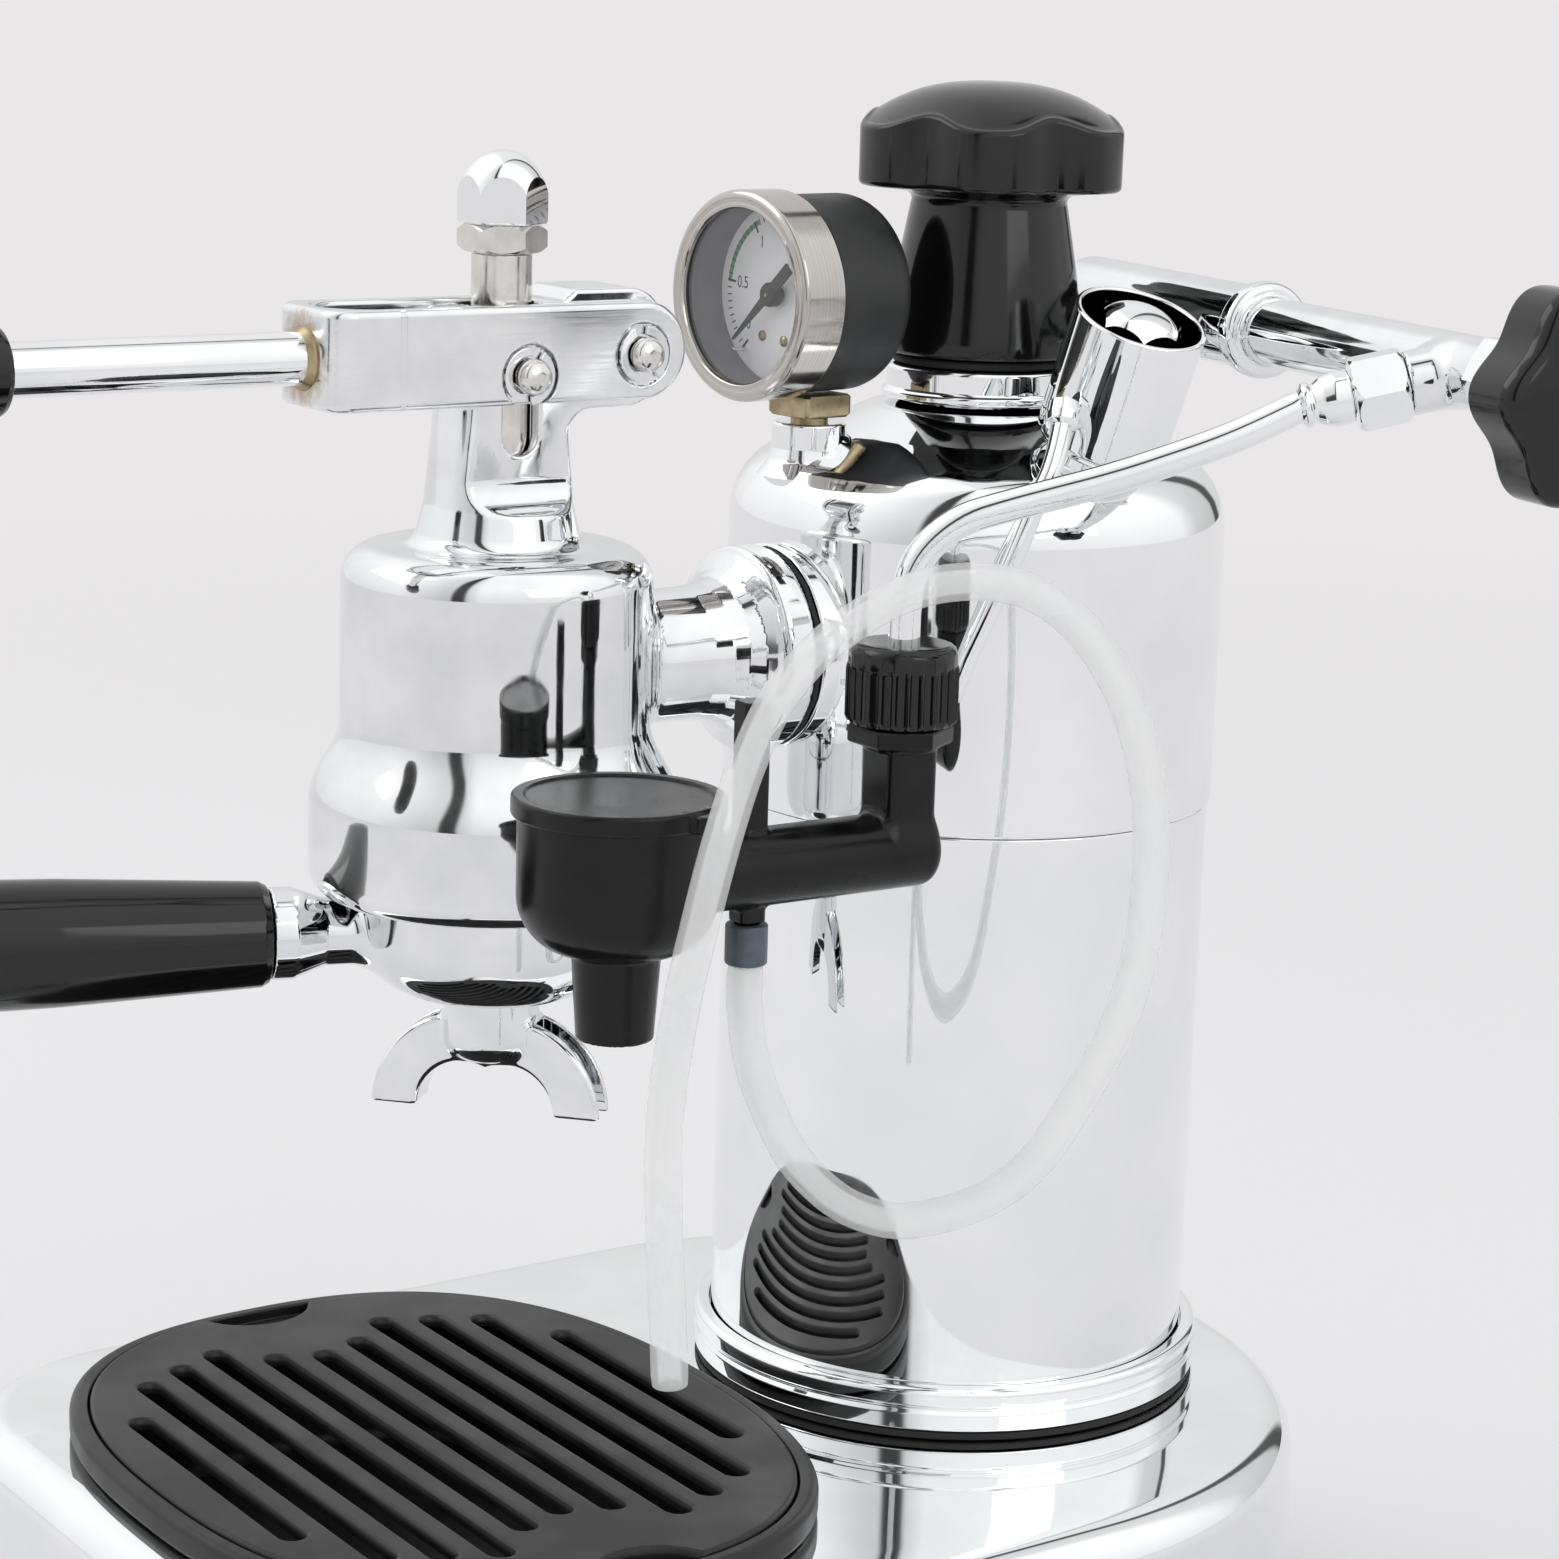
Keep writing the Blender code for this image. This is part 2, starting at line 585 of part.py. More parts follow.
def put_origin(piece, point):
    """Move a piece's origin to its joint without moving the piece."""
    shift = piece.matrix_world.inverted() @ Vector(point)
    piece.data.transform(Matrix.Translation(-shift))
    piece.matrix_world = piece.matrix_world @ Matrix.Translation(shift)


def frame_along(start, direction, roll_towards=(0, 0, 1)):
    """A frame at start whose +Z runs along direction."""
    along = Vector(direction).normalized()
    guide = Vector(roll_towards)
    if abs(along.dot(guide.normalized())) > 0.99:
        guide = Vector((0, 1, 0))
    side = guide.cross(along).normalized()
    up = along.cross(side)
    basis = Matrix((side, up, along)).transposed().to_4x4()
    return Matrix.Translation(Vector(start)) @ basis


def upright(x, y):
    return Matrix.Translation(Vector((x, y, 0)))


def turned_shape(profile, segments):
    """Spin a profile of (radius, height) points; ends on the axis close it, else it is a ring."""
    shape = bmesh.new()
    corners = [shape.verts.new((radius, 0, height)) for radius, height in profile]
    edges = [shape.edges.new(pair) for pair in zip(corners, corners[1:]) if pair[0].co.x or pair[1].co.x]
    if profile[0][0] > 0 or profile[-1][0] > 0:
        edges.append(shape.edges.new((corners[-1], corners[0])))
    bmesh.ops.spin(shape, geom=corners + edges, cent=(0, 0, 0), axis=(0, 0, 1),
                   angle=math.tau, steps=round(segments), use_merge=True)
    bmesh.ops.remove_doubles(shape, verts=shape.verts, dist=WELD_DISTANCE)
    return shape


def turned(name, profile, segments, finish_name=None, frame=None):
    return add_piece(name, turned_shape(profile, segments), finish_name, frame)


def rod_shape(radius, low, high, segments):
    return turned_shape([(0, high), (radius, high), (radius, low), (0, low)], segments)


def rod(name, radius, low, high, segments, finish_name=None, frame=None):
    return add_piece(name, rod_shape(radius, low, high, segments), finish_name, frame)


def ring_stack(name, rings, finish_name=None, frame=None, crease=40.0):
    """Join rings of equally many points in order, and cap the first and the last."""
    shape = bmesh.new()
    rows = [[shape.verts.new(point) for point in ring] for ring in rings]
    count = len(rows[0])
    for lower, upper in zip(rows, rows[1:]):
        for i in range(count):
            j = (i + 1) % count
            shape.faces.new((lower[i], lower[j], upper[j], upper[i]))
    shape.faces.new(rows[0])
    shape.faces.new(rows[-1])
    return add_piece(name, shape, finish_name, frame, crease)


def at_level(outline, level):
    return [(x, y, level) for x, y in outline]


def prism(name, outline, low, high, finish_name=None, frame=None, crease=40.0):
    return ring_stack(name, [at_level(outline, low), at_level(outline, high)],
                      finish_name, frame, crease)


def arc(centre, radius, start, end, steps):
    """Points on an arc, angles in degrees."""
    points = []
    for step in range(steps + 1):
        angle = math.radians(start + (end - start) * step / steps)
        points.append((centre[0] + radius * math.cos(angle), centre[1] + radius * math.sin(angle)))
    return points


def regular(radius, sides, turn=0.0):
    return [(radius * math.cos(math.radians(turn) + math.tau * i / sides),
             radius * math.sin(math.radians(turn) + math.tau * i / sides)) for i in range(sides)]


def swept(name, points, radius, sides, finish_name=None, radii=None):
    """A closed tube along points, with a steady section that doesn't twist."""
    path = [Vector(point) for point in points]
    shape = bmesh.new()
    heading = (path[1] - path[0]).normalized()
    side = heading.orthogonal().normalized()
    rows = []
    for i, point in enumerate(path):
        before = path[max(i - 1, 0)]
        after = path[min(i + 1, len(path) - 1)]
        heading = (after - before).normalized()
        side = (side - heading * side.dot(heading)).normalized()
        up = heading.cross(side)
        reach = radii[i] if radii else radius
        row = []
        for k in range(sides):
            angle = math.tau * k / sides
            row.append(shape.verts.new(point + (side * math.cos(angle) + up * math.sin(angle)) * reach))
        rows.append(row)
    for lower, upper in zip(rows, rows[1:]):
        for k in range(sides):
            j = (k + 1) % sides
            shape.faces.new((lower[k], lower[j], upper[j], upper[k]))
    shape.faces.new(rows[0])
    shape.faces.new(rows[-1])
    return add_piece(name, shape, finish_name)


def smooth_route(points, spacing):
    """Read points at a steady spacing from a smooth curve through a route."""
    path = [Vector(point) for point in points]
    ends = [path[0] * 2 - path[1]] + path + [path[-1] * 2 - path[-2]]
    fine = []
    steps = 12
    for a, b, c, d in zip(ends, ends[1:], ends[2:], ends[3:]):
        for step in range(steps):
            t = step / steps
            fine.append(0.5 * (2 * b + (c - a) * t + (2 * a - 5 * b + 4 * c - d) * t * t
                               + (3 * b - a - 3 * c + d) * t * t * t))
    fine.append(path[-1])
    length = sum((q - p).length for p, q in zip(fine, fine[1:]))
    count = round(length / spacing)
    chosen = [fine[0]]
    travelled = 0.0
    for p, q in zip(fine, fine[1:]):
        travelled += (q - p).length
        if travelled >= length * len(chosen) / count and len(chosen) < count:
            chosen.append(q)
    chosen.append(fine[-1])
    return chosen


def in_metres(route):
    return [Vector(point) * mm for point in route]


# Base

def base_outline(offset):
    """Front corners and a half-round rear, grown by offset."""
    corner_x = BASE_HALF_WIDTH - BASE_CORNER
    corner_y = BASE_FRONT + BASE_CORNER
    return (arc((-corner_x, corner_y), BASE_CORNER + offset, 180, 270, 5)
            + arc((corner_x, corner_y), BASE_CORNER + offset, 270, 360, 5)
            + arc((0, BASE_REAR_CENTRE), BASE_HALF_WIDTH + offset, 0, 180, 18))


def fillet_rows(top, side_offset, radius, steps):
    rows = []
    for step in range(steps + 1):
        angle = math.pi / 2 * step / steps
        offset = side_offset - radius * (1 - math.cos(angle))
        level = top - radius * (1 - math.sin(angle))
        rows.append(at_level(base_outline(offset), level))
    return rows


def wall_offset(level):
    """How far the flared side wall stands out at a level."""
    return BASE_FLARE * (1 - level / (BASE_TOP - BASE_FILLET))


def oval(half_x, half_y):
    points = []
    for i in range(OVAL_STEPS):
        angle = math.tau * i / OVAL_STEPS
        c = math.cos(angle)
        s = math.sin(angle)
        points.append((half_x * math.copysign(abs(c) ** (2 / OVAL_POWER), c),
                       TRAY_Y + half_y * math.copysign(abs(s) ** (2 / OVAL_POWER), s)))
    return points


def make_base():
    outer = [at_level(base_outline(BASE_FLARE), 0)] + fillet_rows(BASE_TOP, 0, BASE_FILLET, 4)
    inner = ([at_level(base_outline(BASE_FLARE - BASE_WALL), 0)]
             + fillet_rows(BASE_TOP - BASE_WALL, -BASE_WALL, BASE_FILLET - BASE_WALL, 2))
    shell = ring_stack("base_shell", outer[::-1] + inner, "chrome", crease=30)
    opening = rod("boiler_opening", BOILER_OPENING, BASE_TOP - BASE_FILLET, BASE_TOP + OVERRUN, LARGE)
    lip = TRAY_LIP - GAP - TRAY_DRAFT
    well = prism("tray_opening", oval(TRAY_HALF_X - lip, TRAY_HALF_Y - lip),
                 BASE_TOP - BASE_FILLET, BASE_TOP + OVERRUN)
    rear = BASE_REAR_CENTRE + BASE_HALF_WIDTH
    gland_hole = rod("gland_hole", GLAND_NECK + GAP, -BASE_FILLET, BASE_FILLET, SMALL,
                     frame=frame_along((0, rear, GLAND_LEVEL), (0, 1, 0)))
    half_x = SWITCH_HALF_WIDTH + GAP
    half_z = SWITCH_HALF_HEIGHT + 3 * GAP
    switch_hole = prism("switch_hole",
                        [(-half_x, -half_z), (half_x, -half_z), (half_x, half_z), (-half_x, half_z)],
                        -BASE_FILLET, BASE_FILLET,
                        frame=frame_along((SWITCH_X - BASE_CORNER / 2, BASE_FRONT, SWITCH_LEVEL),
                                          (0, -1, 0)))
    cut(shell, opening, well, gland_hole, switch_hole)


def make_cover_and_feet():
    cover = prism("base_cover", base_outline(BASE_FLARE - BASE_WALL - COVER_EDGE), 0, COVER_THICKNESS,
                  "black_plastic")
    places = {
        "foot_front_left": (-FOOT_X, FOOT_FRONT_Y), "foot_front_right": (FOOT_X, FOOT_FRONT_Y),
        "foot_rear_left": (-FOOT_X, FOOT_REAR_Y), "foot_rear_right": (FOOT_X, FOOT_REAR_Y),
    }
    for name, (x, y) in places.items():
        hole = rod(name + "_hole", FOOT_STUD + GAP, -OVERRUN, COVER_THICKNESS + OVERRUN, SMALL,
                   frame=upright(x, y))
        seat = rod(name + "_seat", FOOT_RADIUS + GAP, -OVERRUN, FOOT_SEAT_DEPTH, SMALL, frame=upright(x, y))
        cut(cover, hole, seat)
        foot_top = FOOT_SEAT_DEPTH - GAP
        profile = [(0, FOOT_STUD_TOP), (FOOT_STUD, FOOT_STUD_TOP), (FOOT_STUD, foot_top),
                   (FOOT_RADIUS, foot_top),
                   (FOOT_RADIUS - FOOT_TAPER, -FOOT_HEIGHT), (0, -FOOT_HEIGHT)]
        turned(name, profile, SMALL, "rubber", upright(x, y))


def make_gland_and_switch():
    wall = BASE_REAR_CENTRE + BASE_HALF_WIDTH + BASE_FLARE
    flange = wall + GAP
    profile = [(GLAND_FLANGE, flange), (GLAND_NECK, flange), (GLAND_NECK, wall - GLAND_INSIDE),
               (GLAND_BORE, wall - GLAND_INSIDE), (GLAND_BORE, flange + GLAND_LENGTH),
               (GLAND_NECK, flange + GLAND_LENGTH), (GLAND_FLANGE, flange + OVERRUN)]
    turned("cord_gland", profile[::-1], SMALL, "rubber", frame_along((0, 0, GLAND_LEVEL), (0, 1, 0)))
    side = [(-SWITCH_HALF_HEIGHT + SWITCH_EDGE, -SWITCH_DEPTH),
            (SWITCH_HALF_HEIGHT - SWITCH_EDGE, -SWITCH_DEPTH),
            (SWITCH_HALF_HEIGHT, SWITCH_PROUD), (0, SWITCH_VALLEY), (-SWITCH_HALF_HEIGHT, SWITCH_PROUD)]
    pivot = (SWITCH_X - BASE_CORNER / 2, BASE_FRONT, SWITCH_LEVEL)
    tilt = Matrix.Rotation(math.radians(SWITCH_TILT), 4, "X")
    flip = Matrix(((0, 0, 1, 0), (0, -1, 0, 0), (1, 0, 0, 0), (0, 0, 0, 1)))
    prism("power_switch", side, -SWITCH_HALF_WIDTH, SWITCH_HALF_WIDTH, "bakelite",
          Matrix.Translation(Vector(pivot)) @ tilt @ flip)


def make_pressurestat():
    x, y = PRESSURESTAT_PLACE
    wide, deep, high = PRESSURESTAT_SIZE
    low = COVER_THICKNESS + GAP
    box = prism("pressurestat", [(-wide / 2, -deep / 2), (wide / 2, -deep / 2), (wide / 2, deep / 2),
                                 (-wide / 2, deep / 2)], low, low + high, "steel", upright(x, y))
    cap = rod("pressurestat_cap", PRESSURESTAT_CAP, low + high - OVERRUN,
              low + high + PRESSURESTAT_CAP_HEIGHT, SMALL, frame=upright(x, y))
    fuse(box, cap)


def make_tray():
    def row(inset, level):
        return at_level(oval(TRAY_HALF_X - inset, TRAY_HALF_Y - inset), level)
    rim_bottom = BASE_TOP + GAP
    ledge = TRAY_TOP - TRAY_LEDGE
    inside = TRAY_LIP + TRAY_WALL
    rings = [
        row(TRAY_LIP + TRAY_DRAFT, TRAY_FLOOR), row(TRAY_LIP, rim_bottom), row(TRAY_RIM_EDGE, rim_bottom),
        row(0, rim_bottom + TRAY_RIM_EDGE), row(0, TRAY_TOP - TRAY_RIM_EDGE), row(TRAY_RIM_EDGE, TRAY_TOP),
        row(TRAY_RIM, TRAY_TOP), row(TRAY_RIM, ledge), row(inside, ledge),
        row(inside + TRAY_DRAFT, TRAY_FLOOR + TRAY_WALL),
    ]
    ring_stack("drip_tray", rings, "tray_plastic", crease=30)


def make_grille():
    inset = TRAY_RIM + GAP
    half_x = TRAY_HALF_X - inset
    half_y = TRAY_HALF_Y - inset
    low = TRAY_TOP - TRAY_LEDGE + GAP
    rings = [at_level(oval(half_x, half_y), low), at_level(oval(half_x, half_y), GRILLE_TOP - GRILLE_BEVEL),
             at_level(oval(half_x - GRILLE_BEVEL, half_y - GRILLE_BEVEL), GRILLE_TOP)]
    plate = ring_stack("drip_grille", rings, "tray_plastic", crease=30)
    for row in range(1 - len(SLOT_HALF_LENGTHS), len(SLOT_HALF_LENGTHS)):
        straight = SLOT_HALF_LENGTHS[abs(row)] - SLOT_HALF_WIDTH
        y = TRAY_Y + row * GRILLE_PITCH
        outline = (arc((straight, y), SLOT_HALF_WIDTH, -90, 90, 2)
                   + arc((-straight, y), SLOT_HALF_WIDTH, 90, 270, 2))
        cut(plate, prism("grille_slot_" + str(row + len(SLOT_HALF_LENGTHS)), outline,
                         low - OVERRUN, GRILLE_TOP + OVERRUN))
    for side in (-1, 1):
        cut(plate, rod("grille_notch_left" if side < 0 else "grille_notch_right", NOTCH_RADIUS,
                       low - OVERRUN, GRILLE_TOP + OVERRUN, MIDDLE,
                       frame=upright(side * (half_x + NOTCH_OFFSET), TRAY_Y)))


# Boiler

def make_boiler_foot():
    gasket_low = BASE_TOP + GAP
    gasket_top = gasket_low + FOOT_GASKET
    turned("boiler_gasket", [(FOOT_GASKET_OUTER, gasket_top), (FOOT_GASKET_OUTER, gasket_low),
                             (FOOT_RING_INNER, gasket_low), (FOOT_RING_INNER, gasket_top)], LARGE, "rubber")
    low = gasket_top + GAP
    top = low + FOOT_RING_HEIGHT
    bore = BOILER_RADIUS + GAP
    outer = [(FOOT_RING_RADIUS, low)] + arc((FOOT_RING_RADIUS - FOOT_RING_ROUND, top - FOOT_RING_ROUND),
                                            FOOT_RING_ROUND, 0, 90, 3)
    turned("boiler_foot_ring", [(bore, top)] + outer[::-1] + [(FOOT_RING_INNER, low),
                                (FOOT_RING_INNER, low + FOOT_RING_LEDGE), (bore, low + FOOT_RING_LEDGE)],
           LARGE, "chrome")
    return low + FOOT_RING_LEDGE + GAP


def make_lower_shell(low):
    top = SEAM_LEVEL + SKIRT_OVERLAP
    joggle = BOILER_RADIUS - JOGGLE
    inside = BOILER_RADIUS - SHELL_WALL
    neck = joggle - SHELL_WALL
    profile = [
        (joggle, top), (joggle, SEAM_LEVEL), (BOILER_RADIUS, SEAM_LEVEL - JOGGLE), (BOILER_RADIUS, low),
        (ELEMENT_HOLE, low), (ELEMENT_HOLE, low + BOILER_FLOOR), (inside, low + BOILER_FLOOR),
        (inside, SEAM_LEVEL - 2 * JOGGLE), (neck, SEAM_LEVEL), (neck, top),
    ]
    shell = turned("boiler_lower_shell", profile, LARGE, "chrome")
    cut(shell, rod("lower_port", SIGHT_PIPE + GAP, BOILER_RADIUS / 2, BOILER_RADIUS + OVERRUN, SMALL,
                   frame=frame_along((0, 0, SIGHT_LOWER), (-1, 0, 0))))


def valve_axis():
    tilt = math.radians(VALVE_TILT)
    return Vector((math.sin(tilt), 0, math.cos(tilt)))


def steam_axis():
    yaw = math.radians(STEAM_YAW)
    return Vector((math.cos(yaw), math.sin(yaw), 0))


def steam_point(distance):
    return Vector(STEAM_START) + steam_axis() * distance


def make_upper_shell():
    inside = UPPER_RADIUS - SKIRT_WALL
    fillet = UPPER_RADIUS - DOME_FOOT
    rise = DOME_FOOT_LEVEL - SHOULDER_LEVEL
    shoulder = []
    hollow = []
    steps = 3
    for step in range(steps + 1):
        angle = math.radians(70) * step / steps
        full = math.radians(70)
        out = fillet * (1 - math.cos(angle)) / (1 - math.cos(full))
        up = rise * math.sin(angle) / math.sin(full)
        shoulder.append((UPPER_RADIUS - out, SHOULDER_LEVEL + up))
        hollow.append((inside - out, SHOULDER_LEVEL + up - SKIRT_WALL * out / fillet))
    profile = [(NECK_HOLE, DOME_TOP), (DOME_EDGE, DOME_TOP - SKIRT_WALL / 2)] + shoulder[::-1]
    profile += [(UPPER_RADIUS, SEAM_LEVEL), (inside, SEAM_LEVEL)] + hollow
    profile += [(DOME_EDGE, DOME_TOP - 2 * SKIRT_WALL), (NECK_HOLE, DOME_TOP - 1.5 * SKIRT_WALL)]
    shell = turned("boiler_upper_shell", profile, LARGE, "chrome")

    gauge_boss = rod("gauge_boss", GAUGE_BOSS, SHOULDER_LEVEL + SKIRT_WALL * 5, GAUGE_BOSS_TOP, SMALL,
                     frame=upright(GAUGE_X, GAUGE_Y))
    valve_boss = rod("valve_boss", VALVE_BOSS, -VALVE_BOSS_DEPTH, -GAP, SMALL,
                     frame=frame_along(VALVE_BASE, valve_axis()))
    riser = steam_point(STEAM_RISER)
    steam_boss = rod("steam_boss", STEAM_BOSS, DOME_FOOT_LEVEL - SKIRT_WALL * 2,
                     STEAM_RISER_LEVEL - GAP, SMALL,
                     frame=upright(riser.x, riser.y))
    flange_low = FLANGE_BACK - FLANGE_GASKET - 2 * GAP
    flange = rod("boiler_flange", FLANGE_RADIUS, FLANGE_INSIDE, flange_low, MIDDLE,
                 frame=frame_along((0, 0, NOZZLE_LEVEL), (0, -1, 0)))
    fuse(shell, gauge_boss, valve_boss, steam_boss, flange)
    hollow_low = SEAM_LEVEL - OVERRUN
    room = turned("boiler_room", [(0, DOME_FOOT_LEVEL - 3 * SKIRT_WALL),
                                  (DOME_FOOT - 5 * SKIRT_WALL, DOME_FOOT_LEVEL - 4 * SKIRT_WALL),
                                  (inside - SKIRT_WALL, SHOULDER_LEVEL), (inside - SKIRT_WALL,
                                                                          hollow_low), (0, hollow_low)], LARGE)
    cut(shell, room)
    cut(shell, rod("gauge_hole", GAUGE_STUD + GAP, SHOULDER_LEVEL, GAUGE_BOSS_TOP + OVERRUN, SMALL,
                   frame=upright(GAUGE_X, GAUGE_Y)))
    cut(shell, rod("valve_hole", VALVE_NECK + GAP, -2 * VALVE_NECK_DEPTH, OVERRUN, SMALL,
                   frame=frame_along(VALVE_BASE, valve_axis())))
    cut(shell, rod("steam_hole", STEAM_STUD + GAP, SHOULDER_LEVEL, STEAM_RISER_LEVEL + OVERRUN, SMALL,
                   frame=upright(riser.x, riser.y)))
    cut(shell, rod("water_hole", WATER_BORE, FLANGE_INSIDE / 2, FLANGE_BACK, SMALL,
                   frame=frame_along((0, 0, NOZZLE_LEVEL), (0, -1, 0))))
    cut(shell, rod("upper_port", SIGHT_PIPE + GAP, UPPER_RADIUS / 2, UPPER_RADIUS + OVERRUN, SMALL,
                   frame=frame_along((0, 0, SIGHT_UPPER), (-1, 0, 0))))


def make_element(floor_low):
    top = floor_low - GAP
    low = top - ELEMENT_FLANGE_THICKNESS
    plug = ELEMENT_HOLE - GAP
    plug_top = floor_low + BOILER_FLOOR + GAP
    flange = turned("heating_element", [(0, plug_top), (plug, plug_top), (plug, top), (ELEMENT_FLANGE, top),
                                        (ELEMENT_FLANGE, low), (0, low)], MIDDLE, "nickel")
    bend = arc((0, ELEMENT_TOP), ELEMENT_SPREAD, 180, 0, 6)
    loop = ([(-ELEMENT_SPREAD, 0, low - FOOT_HEIGHT)] + [(x, 0, z) for x, z in bend]
            + [(ELEMENT_SPREAD, 0, low - FOOT_HEIGHT)])
    fuse(flange, swept("element_loop", loop, ELEMENT_TUBE, TINY))


def make_neck_and_cap():
    low = DOME_TOP + GAP
    top = low + NECK_RING_HEIGHT
    thread = NECK_HOLE - GAP
    turned("filler_neck", [
        (NECK_BORE, top), (NECK_RING - NECK_BEAD, top), (NECK_RING, top - NECK_BEAD),
        (NECK_RING, low + 2 * NECK_BEAD), (NECK_RING + NECK_BEAD, low + NECK_BEAD),
        (NECK_RING + NECK_BEAD, low),
        (thread, low), (thread, DOME_TOP - NECK_DEPTH), (NECK_BORE, DOME_TOP - NECK_DEPTH),
    ], LARGE, "chrome")
    seal_low = top + GAP
    seal_top = seal_low + CAP_GASKET
    plug = CAP_PLUG
    turned("cap_gasket", [(CAP_GASKET_RADIUS, seal_top), (CAP_GASKET_RADIUS, seal_low),
                          (plug + GAP, seal_low),
                          (plug + GAP, seal_top)], MIDDLE, "rubber")
    skirt_low = seal_top + GAP
    skirt_top = skirt_low + CAP_SKIRT_HEIGHT
    side_low = skirt_top + CAP_HEAD_UNDERCUT
    side_top = side_low + CAP_SIDE
    head_top = side_top + CAP_DOME
    cap = lobed_head("filler_cap", CAP_HEAD_RADIUS, CAP_LOBE, CAP_LOBE_TURN, [
        (plug, skirt_low - CAP_PLUG_DEPTH, 0), (plug, skirt_low, 0),
        (CAP_SKIRT_BASE - NECK_BEAD, skirt_low, 0),
        (CAP_SKIRT_BASE, skirt_low + NECK_BEAD, 0), (CAP_SKIRT_BASE, skirt_low + CAP_GASKET * 2, 0),
        ((CAP_SKIRT_BASE + CAP_SKIRT_TOP) / 2, (skirt_low * 0.45 + skirt_top * 0.55), 0),
        (CAP_SKIRT_TOP, skirt_top, 0), (CAP_HEAD_RADIUS * 0.96, side_low, 1),
        (CAP_HEAD_RADIUS, side_low + NECK_BEAD, 1),
        (CAP_HEAD_RADIUS, side_top - CAP_DOME * 0.1, 1),
        (CAP_HEAD_RADIUS * 0.93, side_top + CAP_DOME * 0.18, 1),
        (CAP_HEAD_RADIUS * 0.72, side_top + CAP_DOME * 0.58, 0.6),
        (CAP_HEAD_RADIUS * 0.4, side_top + CAP_DOME * 0.88, 0.2),
        (CAP_HEAD_RADIUS * 0.1, head_top, 0)])
    return cap


def lobed_head(name, radius, lobe, turn, profile, frame=None, finish_name="bakelite"):
    """A turned piece whose rows can swell into lobes; the third value is the lobe's share."""
    rings = []
    steps = CAP_LOBES * 5
    for reach, level, share in profile:
        row = []
        for i in range(steps):
            angle = math.tau * i / steps
            swell = lobe * share * math.cos(CAP_LOBES * (angle - math.radians(turn))) * reach / radius
            row.append(((reach + swell) * math.cos(angle), (reach + swell) * math.sin(angle), level))
        rings.append(row)
    return ring_stack(name, rings, finish_name, frame)


# Sight glass

def make_sight_glass():
    for name, level, boiler, up in (("sight_fitting_upper", SIGHT_UPPER, UPPER_RADIUS, -1),
                                    ("sight_fitting_lower", SIGHT_LOWER, BOILER_RADIUS, 1)):
        start = boiler + GAP
        axis = frame_along((0, 0, level), (-1, 0, 0))
        pipe = turned(name, [(0, -SIGHT_X), (SIGHT_PIPE, -SIGHT_X),
                             (SIGHT_PIPE, start + SIGHT_FLANGE_THICKNESS),
                             (SIGHT_FLANGE, start + SIGHT_FLANGE_THICKNESS), (SIGHT_FLANGE, start),
                             (SIGHT_PIPE, start), (SIGHT_PIPE, boiler - 2 * SHELL_WALL),
                             (0, boiler - 2 * SHELL_WALL)],
                      SMALL, "chrome", axis)
        nut = rod(name + "_nut", SIGHT_NUT, -SIGHT_NUT_HALF, SIGHT_NUT_HALF, 6, frame=Matrix.Translation(
            Vector((SIGHT_X, 0, level))))
        fuse(pipe, nut)
        inner = level + up * SIGHT_NUT_HALF
        cut(pipe, rod(name + "_socket", SIGHT_TUBE + GAP, inner - SIGHT_SOCKET, inner + SIGHT_SOCKET, SMALL,
                      frame=upright(SIGHT_X, 0)))
    low = SIGHT_LOWER + SIGHT_NUT_HALF - SIGHT_SOCKET + GAP
    high = SIGHT_UPPER - SIGHT_NUT_HALF + SIGHT_SOCKET - GAP
    turned("sight_glass", [(SIGHT_TUBE, high), (SIGHT_TUBE, low), (SIGHT_TUBE_BORE, low),
                           (SIGHT_TUBE_BORE, high)],
           SMALL, "glass", upright(SIGHT_X, 0))


# Pressure gauge

def gauge_frame():
    turn = math.radians(GAUGE_TURN)
    return frame_along((GAUGE_X, GAUGE_Y, GAUGE_LEVEL), (math.sin(turn), -math.cos(turn), 0))


